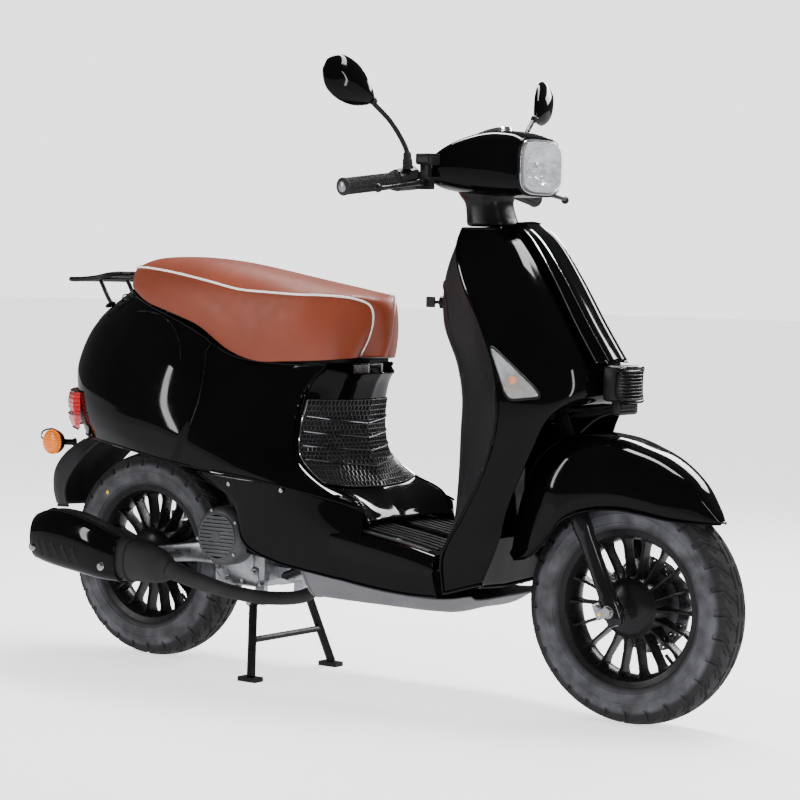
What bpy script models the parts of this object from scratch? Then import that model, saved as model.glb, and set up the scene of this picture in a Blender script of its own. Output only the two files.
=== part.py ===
"""A step-through moped scooter, modelled as the separate parts that it is assembled from.

Metres. +X is forwards, +Y is the rider's left and +Z is up. Shapes are given from the middle of
the wheelbase on the ground, and SCOOTER_X then moves the whole scooter along X, so that its
bounding box is centred on the origin. It stands on both tyres and on its centre stand.
"""

import math

import bmesh
import bpy
import numpy as np
from mathutils import Matrix, Vector

# Driving dimensions
SCOOTER_X = 0.0390
WHEELBASE = 1.25
TYRE_RADIUS = 0.231
TYRE_HALF_WIDTH = 0.049
RIM_RADIUS = 0.150
RAKE = math.radians(24.5)
GAP = 0.0004
WALL = 0.003

# Wheels
FRONT_X = WHEELBASE / 2
REAR_X = -WHEELBASE / 2
AXLE_Z = TYRE_RADIUS
HUB_RADIUS = 0.058
HUB_HALF_WIDTH = 0.045
SPOKES = 18
AXLE_RADIUS = 0.006
DISC_Y = 0.050
DISC_RADIUS = 0.095

# Front fork and steering
TRAIL_OFFSET = 0.015
FORK_HALF_SPAN = 0.088
STANCHION_RADIUS = 0.0145
SLIDER_RADIUS = 0.0195
SLIDER_TOP = 0.232
YOKE_LOW = 0.292
STEM_RADIUS = 0.0125
HEAD_TUBE_RADIUS = 0.027

# Frame
FRAME_TUBE_RADIUS = 0.0125
RAIL_Y = 0.105
PIVOT_X = -0.19
PIVOT_Z = 0.225
PIVOT_RADIUS = 0.006

# Handlebar controls
BAR_RADIUS = 0.011
GRIP_RADIUS = 0.0165
GRIP_INNER = Vector((0.165, 0.205, 1.060))
GRIP_OUTER = Vector((0.143, 0.340, 1.043))
BAR_BEND = Vector((0.195, 0.110, 1.074))
LEVER_PIVOT = Vector((0.213, 0.176, 1.056))
MIRROR_JOINT = Vector((0.172, 0.290, 1.212))

# Seat, stand, shock and kick lever joints
SEAT_HINGE = Vector((-0.030, 0.0, 0.680))
STAND_X = -0.27
STAND_Z = 0.165
STAND_FOOT_X = -0.235
SHOCK_TOP = Vector((-0.615, 0.118, 0.592))
SHOCK_FOOT = Vector((-0.660, 0.118, 0.312))
KICK_X = -0.43
KICK_Z = 0.262


# ---------------------------------------------------------------- scene and finishes


def clear_scene():
    """Remove every object, so that the script can run again in one session."""
    for old in list(bpy.data.objects):
        bpy.data.objects.remove(old, do_unlink=True)


def new_collection(name):
    made = bpy.data.collections.new(name)
    bpy.context.scene.collection.children.link(made)
    return made


def finish(name, colour, roughness, metallic=0.0):
    """A Principled material."""
    made = bpy.data.materials.new(name)
    made.use_nodes = True
    shader = made.node_tree.nodes["Principled BSDF"]
    shader.inputs["Base Color"].default_value = (*colour, 1.0)
    shader.inputs["Roughness"].default_value = roughness
    shader.inputs["Metallic"].default_value = metallic
    return made


clear_scene()
PARTS = new_collection("moped_scooter")
HELPERS = new_collection("cutters_and_joined_shapes")
GLOSS = finish("gloss_black_paint", (0.006, 0.006, 0.007), 0.12)
SATIN = finish("satin_black", (0.015, 0.015, 0.016), 0.4)
PLASTIC = finish("grey_black_plastic", (0.035, 0.036, 0.038), 0.55)
RUBBER = finish("rubber", (0.02, 0.02, 0.021), 0.75)
TYRE = finish("tyre_rubber", (0.045, 0.046, 0.05), 0.8)
LEATHER = finish("tan_leather", (0.42, 0.13, 0.045), 0.5)
CHROME = finish("chrome", (0.8, 0.8, 0.82), 0.08, 1.0)
ALLOY = finish("cast_alloy", (0.55, 0.56, 0.58), 0.35, 1.0)
SHROUD = finish("shroud_grey", (0.16, 0.165, 0.175), 0.45)
GLASS = finish("clear_lens", (0.85, 0.88, 0.9), 0.05)
RED = finish("red_lens", (0.55, 0.01, 0.015), 0.12)
AMBER = finish("amber_lens", (0.85, 0.25, 0.01), 0.15)


# ---------------------------------------------------------------- placing


def empty(name, location=(0, 0, 0), parent=None, turn=None):
    """An empty on a joint's axis, at a place given in the scooter's own frame."""
    made = bpy.data.objects.new(name, None)
    made.empty_display_size = 0.05
    PARTS.objects.link(made)
    wanted = Matrix.Translation(location) @ (turn or Matrix.Identity(4))
    if parent is None:
        made.matrix_basis = wanted
    else:
        made.parent = parent
        made.matrix_basis = home(parent).inverted() @ wanted
    return made


def home(pivot):
    """The empty's place in the scooter's own frame, which starts at the root empty."""
    if pivot.parent is None:
        return Matrix.Identity(4)
    return home(pivot.parent) @ pivot.matrix_basis


def hang(piece, pivot):
    """Parent a piece to the empty on its joint without moving it."""
    piece.parent = pivot
    piece.matrix_parent_inverse = home(pivot).inverted()
    return piece


def helper(piece, pivot):
    """Hide a cutter or a shape that is joined to another, and keep it with its part."""
    hang(piece, pivot)
    for owner in list(piece.users_collection):
        owner.objects.unlink(piece)
    HELPERS.objects.link(piece)
    piece.hide_render = True
    piece.display_type = "WIRE"


def along_y(x, y, z):
    """A frame at a point whose own Z axis is the scooter's +Y."""
    return Matrix.Translation((x, y, z)) @ Matrix.Rotation(-math.pi / 2, 4, "X")


def on_fork(height, y=0.0, forward=0.0):
    """A frame whose Z axis runs up the steering direction, at a height along it from the axle."""
    line = Vector((math.sin(-RAKE), 0, math.cos(RAKE)))
    across = Vector((math.cos(RAKE), 0, math.sin(RAKE)))
    point = Vector((FRONT_X, y, AXLE_Z)) + line * height + across * forward
    return Matrix.Translation(point) @ Matrix.Rotation(-RAKE, 4, "Y")


STEERING_FORWARD = -TRAIL_OFFSET * math.cos(RAKE)


def between(start, end):
    """A frame midway between two points whose Z axis runs from the first to the second."""
    start, end = Vector(start), Vector(end)
    turn = (end - start).to_track_quat("Z", "Y").to_matrix().to_4x4()
    return Matrix.Translation((start + end) / 2) @ turn


def other_side(point):
    return Vector((point[0], -point[1], point[2]))


# ---------------------------------------------------------------- shapes


def spline(points, count):
    """A Catmull-Rom curve through the points, read at evenly spaced parameters."""
    points = np.asarray(points, float)
    last = len(points) - 1
    steps = np.linspace(0, last, count)
    first = np.minimum(steps.astype(int), last - 1)
    part = (steps - first).reshape((-1,) + (1,) * (points.ndim - 1))
    ends = np.concatenate([2 * points[:1] - points[1:2], points, 2 * points[-1:] - points[-2:-1]])
    a, b, c, d = (ends[first + step] for step in range(4))
    cubic = 3 * b - 3 * c + d - a
    return 0.5 * (2 * b + (c - a) * part + (2 * a - 5 * b + 4 * c - d) * part**2 + cubic * part**3)


def add_mesh(name, shape, material, frame=None):
    """Make an object from a bmesh."""
    mesh = bpy.data.meshes.new(name)
    shape.to_mesh(mesh)
    shape.free()
    mesh.materials.append(material)
    mesh.shade_smooth()
    mesh.set_sharp_from_angle(angle=math.radians(35))
    made = bpy.data.objects.new(name, mesh)
    made.matrix_basis = frame or Matrix.Identity(4)
    PARTS.objects.link(made)
    return made


def surface(grid, closed_across=False):
    """A bmesh of quads over a grid of points; the last column may join the first."""
    shape = bmesh.new()
    rows = [[shape.verts.new(point) for point in row] for row in np.asarray(grid, float)]
    for low, high in zip(rows, rows[1:]):
        count = len(low) if closed_across else len(low) - 1
        for step in range(count):
            after = (step + 1) % len(low)
            shape.faces.new((low[step], low[after], high[after], high[step]))
    return shape, rows


def panel(name, rails, material, rows, columns, thickness=WALL, outward=1, mirrored=True):
    """A moulded shell. Its rails run along it, and smooth curves cross from rail to rail.

    The rails are given for the left half, the first or last of them on the middle plane.
    """
    lines = np.stack([spline(rail, rows) for rail in rails])
    shape, _ = surface(spline(lines, columns))
    made = add_mesh(name, shape, material)
    if mirrored:
        mirror = made.modifiers.new("other_half", "MIRROR")
        mirror.use_axis = (False, True, False)
        mirror.use_clip = True
        mirror.merge_threshold = 0.0001
    solidify = made.modifiers.new("wall", "SOLIDIFY")
    solidify.thickness = thickness
    solidify.offset = -outward
    return made


def loft(name, rings, material):
    """A closed solid skinned over rings of points, with flat ends."""
    shape, rows = surface(rings, closed_across=True)
    shape.faces.new(rows[0])
    shape.faces.new(rows[-1])
    bmesh.ops.recalc_face_normals(shape, faces=shape.faces)
    return add_mesh(name, shape, material)


def oval(x, y, z, half_y, half_z, power=2.0, count=16):
    """A superellipse ring across X: power 2 is an ellipse, and more is squarer."""
    turn = np.linspace(0, 2 * math.pi, count, endpoint=False) + math.pi / count
    across = np.sign(np.cos(turn)) * np.abs(np.cos(turn)) ** (2 / power)
    up = np.sign(np.sin(turn)) * np.abs(np.sin(turn)) ** (2 / power)
    return np.stack([np.full(count, float(x)), y + half_y * across, z + half_z * up], axis=1)


def oval_flat(x, z, half_x, half_y, power=3.0, count=20):
    """A level superellipse ring across Z."""
    ring = oval(0, 0, 0, half_y, half_x, power, count)
    return np.column_stack([ring[:, 2] + x, ring[:, 1], np.full(count, z)])


def turned(name, profile, material, frame, steps=24, closed=True):
    """A profile of (radius, height) points screwed round its frame's Z axis.

    The points run down the outer side. A closed profile makes a ring, an open one starts and
    ends on the axis.
    """
    mesh = bpy.data.meshes.new(name)
    edges = [(step, step + 1) for step in range(len(profile) - 1)]
    if closed:
        edges.append((len(profile) - 1, 0))
    mesh.from_pydata([(radius, 0, height) for radius, height in profile], edges, [])
    mesh.materials.append(material)
    made = bpy.data.objects.new(name, mesh)
    made.matrix_basis = frame
    PARTS.objects.link(made)
    screw = made.modifiers.new("turn", "SCREW")
    screw.steps = steps
    screw.render_steps = steps
    screw.use_merge_vertices = True
    screw.merge_threshold = 0.0001
    screw.use_smooth_shade = True
    return made


def cylinder(name, frame, radius, height, material, sides=16, top_radius=None):
    """A capped cylinder or cone centred in its frame, along its Z axis."""
    shape = bmesh.new()
    narrow = radius if top_radius is None else top_radius
    bmesh.ops.create_cone(
        shape, cap_ends=True, segments=sides, radius1=radius, radius2=narrow, depth=height
    )
    return add_mesh(name, shape, material, frame)


def rod(name, start, end, radius, material, sides=10):
    """A straight bar between two points."""
    length = (Vector(end) - Vector(start)).length
    return cylinder(name, between(start, end), radius, length, material, sides)


def block(name, low, high, material, frame=None, rounding=0.0):
    """A box between two corners, with its edges bevelled if a rounding is given."""
    low, high = Vector(low), Vector(high)
    shape = bmesh.new()
    size = Matrix.Diagonal((*(high - low), 1))
    bmesh.ops.create_cube(shape, size=1, matrix=Matrix.Translation((low + high) / 2) @ size)
    made = add_mesh(name, shape, material, frame)
    if rounding:
        bevel = made.modifiers.new("rounding", "BEVEL")
        bevel.width = rounding
        bevel.segments = 2
    return made


def ball(name, centre, radii, material, segments=12, rings=8):
    """An ellipsoid."""
    shape = bmesh.new()
    size = Matrix.Translation(centre) @ Matrix.Diagonal((*radii, 1))
    bmesh.ops.create_uvsphere(shape, u_segments=segments, v_segments=rings, radius=1, matrix=size)
    return add_mesh(name, shape, material)


def tube(name, points, radius, material, closed=False):
    """A round bar bent through the points, as a bevelled curve with filled caps."""
    curve = bpy.data.curves.new(name, "CURVE")
    curve.dimensions = "3D"
    curve.bevel_depth = radius
    curve.bevel_resolution = 2
    curve.use_fill_caps = True
    line = curve.splines.new("POLY")
    line.points.add(len(points) - 1)
    for node, point in zip(line.points, points):
        node.co = (*point, 1)
    line.use_cyclic_u = closed
    curve.materials.append(material)
    made = bpy.data.objects.new(name, curve)
    PARTS.objects.link(made)
    return made


def plate(name, outline, thickness, frame, material):
    """A flat outline, filled and given a thickness about its frame's XY plane."""
    curve = bpy.data.curves.new(name, "CURVE")
    curve.dimensions = "2D"
    curve.fill_mode = "BOTH"
    curve.extrude = thickness / 2
    line = curve.splines.new("POLY")
    line.points.add(len(outline) - 1)
    for node, point in zip(line.points, outline):
        node.co = (*point, 0, 1)
    line.use_cyclic_u = True
    curve.materials.append(material)
    made = bpy.data.objects.new(name, curve)
    made.matrix_basis = frame
    PARTS.objects.link(made)
    return made


def as_mesh(piece):
    """The evaluated piece as a welded mesh object in the same place, in place of the piece."""
    graph = bpy.context.evaluated_depsgraph_get()
    mesh = bpy.data.meshes.new_from_object(piece.evaluated_get(graph))
    shape = bmesh.new()
    shape.from_mesh(mesh)
    bmesh.ops.remove_doubles(shape, verts=shape.verts, dist=0.00001)
    bmesh.ops.recalc_face_normals(shape, faces=shape.faces)
    shape.to_mesh(mesh)
    shape.free()
    name, place = piece.name, piece.matrix_basis.copy()
    bpy.data.objects.remove(piece, do_unlink=True)
    made = bpy.data.objects.new(name, mesh)
    made.matrix_basis = place
    PARTS.objects.link(made)
    return made


def combine(piece, others, operation, pivot):
    """Join the others to the piece, or cut them from it, with live Booleans."""
    for other in others:
        if other.type == "CURVE":
            other = as_mesh(other)
        modifier = piece.modifiers.new(other.name, "BOOLEAN")
        modifier.operation = operation
        modifier.solver = "EXACT"
        modifier.object = other
        helper(other, pivot)
    return piece


def bend(points, count):
    """A smooth path of count points through a few."""
    return [Vector(point) for point in spline([tuple(point) for point in points], count)]


def slot_outline(start, end, start_radius, end_radius, steps=8):
    """A flat outline round two circles of different size, side by side."""
    start, end = Vector(start), Vector(end)
    run = end - start
    heading = math.atan2(run.y, run.x)
    lean = math.acos((start_radius - end_radius) / run.length)
    outline = []
    for centre, radius, first, last in (
        (start, start_radius, heading + lean, heading + 2 * math.pi - lean),
        (end, end_radius, heading - lean, heading + lean),
    ):
        for angle in np.linspace(first, last, steps):
            outline.append((centre.x + radius * math.cos(angle), centre.y + radius * math.sin(angle)))
    return outline


# ---------------------------------------------------------------- joints


ROOT = bpy.data.objects.new("scooter_origin", None)
PARTS.objects.link(ROOT)
ROOT.location = (SCOOTER_X, 0, 0)
STEERING = empty("steering_axis", on_fork(0.75, 0, STEERING_FORWARD).translation, ROOT,
                 Matrix.Rotation(-RAKE, 4, "Y"))
FORK = empty("fork_slide_axis", (FRONT_X, 0, AXLE_Z), STEERING, Matrix.Rotation(-RAKE, 4, "Y"))
FRONT_WHEEL = empty("front_wheel_axis", (FRONT_X, 0, AXLE_Z), FORK)
SWING = empty("engine_pivot_axis", (PIVOT_X, 0, PIVOT_Z), ROOT)
REAR_WHEEL = empty("rear_wheel_axis", (REAR_X, 0, AXLE_Z), SWING)
STAND = empty("stand_pivot_axis", (STAND_X, 0, STAND_Z), SWING)
KICK = empty("kick_lever_axis", (KICK_X, 0, KICK_Z), SWING)
SHOCK = empty("shock_pivot_axis", SHOCK_TOP, ROOT)
SHOCK_SLIDE = empty("shock_slide_axis", SHOCK_FOOT, SHOCK)
SEAT = empty("seat_hinge_axis", SEAT_HINGE, ROOT)
THROTTLE = empty("throttle_axis", other_side(GRIP_INNER), STEERING)
SIDES = {"right": -1, "left": 1}


# ---------------------------------------------------------------- wheels


def make_wheel(end, x, pivot):
    """A cast wheel: rim band, hub and thin spokes, with its tyre."""
    band = [(RIM_RADIUS - GAP, 0.036), (RIM_RADIUS - GAP, -0.036), (0.143, -0.036), (0.133, -0.012),
            (0.133, 0.012), (0.143, 0.036)]
    rim = turned(f"{end}_rim", band, SATIN, along_y(x, 0, AXLE_Z), steps=32)
    hub = [(0.030, HUB_HALF_WIDTH), (HUB_RADIUS, 0.028), (HUB_RADIUS, -0.028), (0.030, -HUB_HALF_WIDTH),
           (AXLE_RADIUS + 0.0014, -HUB_HALF_WIDTH), (AXLE_RADIUS + 0.0014, HUB_HALF_WIDTH)]
    joined = [turned(f"{end}_hub", hub, SATIN, along_y(x, 0, AXLE_Z), steps=18)]
    reach = Matrix.Translation((x, 0, AXLE_Z))
    for number in range(SPOKES):
        turn = Matrix.Rotation(2 * math.pi * (number + 0.5) / SPOKES, 4, "Y")
        joined.append(block(f"{end}_spoke_{number}", (-0.0035, -0.016, HUB_RADIUS - 0.008),
                            (0.0035, 0.016, 0.138), SATIN, reach @ turn))
    combine(rim, joined, "UNION", pivot)
    hang(rim, pivot)
    crown = [math.radians(angle) for angle in (0, 24, 48)]
    tread = [(TYRE_RADIUS - 0.030 * (1 - math.cos(turn)), 0.052 * math.sin(turn)) for turn in crown]
    half = tread + [(0.196, TYRE_HALF_WIDTH), (0.168, 0.045), (RIM_RADIUS, 0.034)]
    section = [(r, y) for r, y in reversed(half)] + [(r, -y) for r, y in half[1:]]
    tyre = turned(f"{end}_tyre", section, TYRE, along_y(x, 0, AXLE_Z), steps=32)
    hang(tyre, pivot)


def make_front_wheel():
    make_wheel("front", FRONT_X, FRONT_WHEEL)
    ring = [(DISC_RADIUS, DISC_Y + 0.002), (DISC_RADIUS, DISC_Y - 0.002), (0.024, DISC_Y - 0.002),
            (0.024, DISC_Y + 0.002)]
    disc = turned("brake_disc", ring, ALLOY, along_y(FRONT_X, 0, AXLE_Z), steps=30)
    hang(disc, FRONT_WHEEL)


def make_rear_wheel():
    make_wheel("rear", REAR_X, REAR_WHEEL)
    axle = rod("rear_axle", (REAR_X, -0.062, AXLE_Z), (REAR_X, 0.085, AXLE_Z), AXLE_RADIUS, ALLOY)
    hang(axle, REAR_WHEEL)


# ---------------------------------------------------------------- fork and fender


def make_fork():
    """Stem, yoke and stanchions in one piece, the sliders, the axle and the caliper."""
    stem = cylinder("steering_fork", on_fork(0.575, 0, STEERING_FORWARD), STEM_RADIUS, 0.55, SATIN, 14)
    yoke = block("yoke", (-0.022, -0.099, -0.012), (0.019, 0.099, 0.012), SATIN,
                 on_fork(YOKE_LOW + 0.012, 0, -0.004), rounding=0.006)
    legs = [cylinder(f"stanchion_{side}", on_fork(0.207, sign * FORK_HALF_SPAN), STANCHION_RADIUS,
                     0.194, CHROME, 14) for side, sign in SIDES.items()]
    combine(stem, [yoke, *legs], "UNION", STEERING)
    hang(stem, STEERING)
    for side, sign in SIDES.items():
        y = sign * FORK_HALF_SPAN
        slider = cylinder(f"fork_slider_{side}", on_fork(0.098, y), SLIDER_RADIUS, 2 * (SLIDER_TOP - 0.098),
                          SATIN, 18)
        bore = cylinder(f"slider_bore_{side}", on_fork(0.145, y), STANCHION_RADIUS + 0.0006, 0.21, SATIN, 18)
        hole = rod(f"axle_hole_{side}", (FRONT_X, y - 0.03, AXLE_Z), (FRONT_X, y + 0.03, AXLE_Z),
                   AXLE_RADIUS + GAP, SATIN)
        combine(slider, [bore, hole], "DIFFERENCE", FORK)
        hang(slider, FORK)
    axle = rod("front_axle", (FRONT_X, -0.112, AXLE_Z), (FRONT_X, 0.112, AXLE_Z), AXLE_RADIUS, ALLOY)
    nuts = [rod(f"axle_nut_{side}", (FRONT_X, sign * 0.1085, AXLE_Z), (FRONT_X, sign * 0.117, AXLE_Z),
                0.011, ALLOY, 6) for side, sign in SIDES.items()]
    combine(axle, nuts, "UNION", FORK)
    hang(axle, FORK)
    caliper = block("brake_caliper", (-0.024, -0.0135, -0.032), (0.024, 0.0160, 0.032), ALLOY,
                    on_fork(0.055, DISC_Y, -0.075), rounding=0.004)
    slot = block("disc_slot", (-0.05, -0.0032, -0.05), (0.05, 0.0032, 0.05), ALLOY,
                 on_fork(0.040, DISC_Y, -0.0455))
    combine(caliper, [slot], "DIFFERENCE", FORK)
    hang(caliper, FORK)


def make_fender():
    """The front fender: each cross-section drops from the ridge to the lower edge."""
    ridge = spline([(0.374, 0.330), (0.378, 0.395), (0.395, 0.465), (0.432, 0.528), (0.500, 0.568),
                    (0.583, 0.567), (0.647, 0.550), (0.706, 0.526), (0.762, 0.486), (0.799, 0.438),
                    (0.815, 0.412)], 13)
    edge = spline([(0.402, 0.100, 0.312), (0.446, 0.112, 0.324), (0.488, 0.117, 0.362),
                   (0.522, 0.121, 0.402), (0.570, 0.117, 0.423), (0.630, 0.104, 0.430),
                   (0.682, 0.088, 0.424), (0.724, 0.069, 0.415), (0.766, 0.046, 0.410),
                   (0.800, 0.024, 0.409), (0.813, 0.010, 0.409)], 13)
    turn = np.linspace(0, math.pi / 2, 7)[:, None]
    outward = np.sin(turn) ** 0.65
    drop = 1 - np.cos(turn) ** 0.50
    back = 1 - np.cos(turn)
    grid = np.stack([ridge[:, 0] + (edge[:, 0] - ridge[:, 0]) * back, edge[:, 1] * outward,
                     ridge[:, 1] + (edge[:, 2] - ridge[:, 1]) * drop], axis=2)
    shape, _ = surface(grid)
    fender = add_mesh("front_fender", shape, GLOSS)
    mirror = fender.modifiers.new("other_half", "MIRROR")
    mirror.use_axis = (False, True, False)
    mirror.use_clip = True
    mirror.merge_threshold = 0.0001
    wall = fender.modifiers.new("wall", "SOLIDIFY")
    wall.thickness = 0.0025
    wall.offset = -1
    hole = cylinder("stem_hole", on_fork(0.40, 0, STEERING_FORWARD), 0.021, 0.12, GLOSS, 16)
    combine(fender, [hole], "DIFFERENCE", STEERING)
    hang(fender, STEERING)


# ---------------------------------------------------------------- handlebar


def make_handlebar():
    path = [other_side(GRIP_OUTER), other_side(GRIP_INNER), other_side(BAR_BEND), (0.226, -0.03, 1.078)]
    path = [Vector(point) for point in path]
    path += [other_side(point) for point in reversed(path)]
    outward = (GRIP_OUTER - GRIP_INNER).normalized()
    path[0] = path[0] - other_side(outward) * 0.0035
    path[-1] = path[-1] - outward * 0.0035
    bar = as_mesh(tube("handlebar", path, BAR_RADIUS, SATIN))
    clamp = cylinder("stem_clamp", on_fork(0.885, 0, STEERING_FORWARD), 0.019, 0.085, SATIN, 16)
    combine(bar, [clamp], "UNION", STEERING)
    socket = cylinder("stem_socket", on_fork(0.80, 0, STEERING_FORWARD), STEM_RADIUS + 0.0006, 0.12, SATIN, 14)
    combine(bar, [socket], "DIFFERENCE", STEERING)
    hang(bar, STEERING)
    outer = GRIP_OUTER + outward * 0.006
    for side, sign in SIDES.items():
        inner_end = GRIP_INNER if sign > 0 else other_side(GRIP_INNER)
        outer_end = outer if sign > 0 else other_side(outer)
        frame = between(inner_end, outer_end)
        length = (outer - GRIP_INNER).length
        name = "throttle_grip" if side == "right" else "left_grip"
        sleeve = [(BAR_RADIUS + 0.0006, length / 2 - 0.008), (0.0001, length / 2 - 0.008),
                  (0.0001, length / 2), (GRIP_RADIUS + 0.002, length / 2),
                  (GRIP_RADIUS, length / 2 - 0.008), (GRIP_RADIUS, 0.006 - length / 2),
                  (GRIP_RADIUS + 0.004, 0.003 - length / 2), (GRIP_RADIUS + 0.004, -length / 2),
                  (BAR_RADIUS + 0.0006, -length / 2)]
        grip = turned(name, sleeve, RUBBER, frame, steps=16)
        hang(grip, THROTTLE if side == "right" else STEERING)


def make_switches():
    """A clamshell housing on each side, with the buttons that face the rider."""
    housings = {}
    for side, sign in SIDES.items():
        inner = GRIP_INNER.lerp(BAR_BEND, 0.49)
        outer = GRIP_INNER.lerp(BAR_BEND, 0.03)
        if side == "right":
            inner, outer = other_side(inner), other_side(outer)
        housing = cylinder(f"switch_housing_{side}", between(inner, outer), 0.024,
                           (outer - inner).length, PLASTIC, 16, top_radius=0.022)
        bore = cylinder(f"bar_hole_{side}", between(inner, outer), BAR_RADIUS + 0.0008, 0.12, PLASTIC, 12)
        combine(housing, [bore], "DIFFERENCE", STEERING)
        name = "start_button" if side == "right" else "indicator_switch"
        centre = Vector((0.1715, sign * 0.180, 1.0632))
        toward = Vector((-0.90, 0, 0.436))
        across = 0.0045
        pocket = rod(f"button_pocket_{side}", centre + toward * 0.0155, centre + toward * 0.04,
                     across + 0.0006, PLASTIC, 12)
        combine(housing, [pocket], "DIFFERENCE", STEERING)
        hang(housing, STEERING)
        housings[side] = housing
        button = rod(name, centre + toward * 0.0195, centre + toward * 0.0270, across, RED
                     if side == "right" else PLASTIC, 12)
        hang(button, STEERING)
    return housings


def make_levers(housings):
    """The perch on each housing, with the reservoir on the right, and the two brake levers."""
    for side, sign in SIDES.items():
        def place(x, y, z):
            return Vector((x, sign * y, z))

        perch = block(f"brake_perch_{side}", (0.196, min(sign * 0.158, sign * 0.1745), 1.044),
                     (0.230, max(sign * 0.158, sign * 0.1745), 1.068), SATIN)
        arm = [perch, block(f"perch_arm_{side}", (0.1935, min(sign * 0.160, sign * 0.172), 1.050),
                            (0.200, max(sign * 0.160, sign * 0.172), 1.064), SATIN)]
        if side == "right":
            arm.append(block("reservoir", (0.1985, -0.184, 1.0925), (0.236, -0.146, 1.113), SATIN,
                             rounding=0.005))
            arm.append(block("reservoir_base", (0.204, -0.173, 1.060), (0.224, -0.161, 1.096), SATIN))
        combine(housings[side], arm, "UNION", STEERING)
        path = bend([place(0.213, 0.182, 1.056), place(0.222, 0.212, 1.054), place(0.232, 0.260, 1.049),
                     place(0.232, 0.305, 1.044), place(0.224, 0.340, 1.040)], 9)
        lever = as_mesh(tube(f"brake_lever_{side}", path, 0.0055, SATIN))
        tip = ball(f"lever_ball_{side}", path[-1], (0.009, 0.009, 0.009), SATIN, 10, 6)
        boss = cylinder(f"lever_boss_{side}", Matrix.Translation(place(0.213, 0.184, 1.056)), 0.0085,
                        0.014, SATIN, 12)
        combine(lever, [tip, boss], "UNION", STEERING)
        pivot = empty(f"brake_lever_{side}_axis", LEVER_PIVOT if sign > 0 else other_side(LEVER_PIVOT),
                      STEERING)
        hang(lever, pivot)


def make_mirrors():
    """A bent stem on the perch, and a round-backed teardrop head that swivels on its top."""
    for side, sign in SIDES.items():
        def place(x, y, z):
            return Vector((x, sign * y, z))

        top = place(*MIRROR_JOINT)
        foot = place(0.186, 0.190, 1.092)
        path = bend([foot, place(0.186, 0.198, 1.125), place(0.181, 0.240, 1.172),
                     top - place(0.001, 0.006, 0.006)], 8)
        stem = as_mesh(tube(f"mirror_stem_{side}", path, 0.0052, SATIN))
        boot = rod(f"mirror_boot_{side}", foot - Vector((0, 0, 0.006)), foot + Vector((0, 0, 0.022)),
                   0.010, RUBBER, 12)
        combine(stem, [boot], "UNION", STEERING)
        hang(stem, STEERING)
        long_way = Vector((-0.035, sign * 0.096, 0.058)).normalized()
        facing = Vector((-0.96, -sign * 0.20, -0.05)).normalized()
        facing = (facing - long_way * facing.dot(long_way)).normalized()
        wide_way = facing.cross(long_way)
        rings = []
        count = 14
        for reach, half_width, depth in ((0.002, 0.006, 0.006), (0.012, 0.018, 0.011),
                                         (0.040, 0.036, 0.019), (0.075, 0.044, 0.023),
                                         (0.108, 0.038, 0.019), (0.130, 0.014, 0.007)):
            ring = []
            for turn in np.linspace(0, 2 * math.pi, count, endpoint=False):
                deep = depth * math.sin(turn) if math.sin(turn) > 0 else 0.30 * depth * math.sin(turn)
                ring.append(top + long_way * reach + wide_way * half_width * math.cos(turn)
                            - facing * deep)
            rings.append(ring)
        head = loft(f"mirror_{side}", rings, GLOSS)
        pivot = empty(f"mirror_{side}_axis", top, STEERING)
        hang(head, pivot)


def make_headset():
    """The cowl round the bars, hollow and open in front for the headlight."""
    outer, inner = [], []
    for x, half_y, low, high, power in (
        (0.372, 0.076, 1.036, 1.152, 4.5), (0.345, 0.080, 1.034, 1.163, 4.0),
        (0.300, 0.092, 1.034, 1.168, 3.5), (0.262, 0.112, 1.036, 1.162, 3.2),
        (0.230, 0.136, 1.040, 1.148, 3.0), (0.205, 0.140, 1.044, 1.130, 3.0),
        (0.190, 0.128, 1.050, 1.118, 2.6),
    ):
        middle, half = (low + high) / 2, (high - low) / 2
        outer.append(oval(x, 0, middle, half_y, half, power, 20))
        inner.append(oval(x + 0.004, 0, middle, half_y - WALL, half - WALL, power, 20))
    inner[0] = inner[0] + np.array([0.03, 0, 0])
    cover = loft("headset_cover", outer, GLOSS)
    hollow = loft("headset_hollow", inner, GLOSS)
    bar_way = block("bar_way", (0.10, -0.30, 1.040), (0.235, 0.30, 1.0895), GLOSS)
    column = cylinder("column_way", on_fork(0.86, 0, STEERING_FORWARD), 0.030, 0.12, GLOSS, 16)
    dial_way = cylinder("dial_way", Matrix.Translation((0.262, 0, 1.16)) @ Matrix.Rotation(-0.30, 4, "Y"),
                        0.0405, 0.05, GLOSS, 24)
    neck = loft("headset_neck", [oval_flat(0.266, 0.986, 0.046, 0.048), oval_flat(0.252, 1.0366, 0.044, 0.050)],
                GLOSS)
    combine(cover, [neck], "UNION", STEERING)
    combine(cover, [hollow, bar_way, column, dial_way], "DIFFERENCE", STEERING)
    hang(cover, STEERING)
    lens = []
    for x, grow in ((0.342, -0.020), (0.360, -0.001), (0.388, 0.0), (0.394, -0.006), (0.397, -0.022)):
        lens.append(oval(x, 0, 1.094, 0.0715 + grow, 0.0530 + grow, 4.0, 20))
    hang(loft("headlight", lens, GLASS), STEERING)
    dial = turned("speedometer", [(0, 0.010), (0.034, 0.009), (0.0398, 0.004), (0.0398, -0.014),
                                  (0.030, -0.022), (0, -0.022)], GLASS,
                  Matrix.Translation((0.262, 0, 1.16)) @ Matrix.Rotation(-0.30, 4, "Y"), 24, closed=False)
    hang(dial, STEERING)


# ---------------------------------------------------------------- frame


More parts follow.
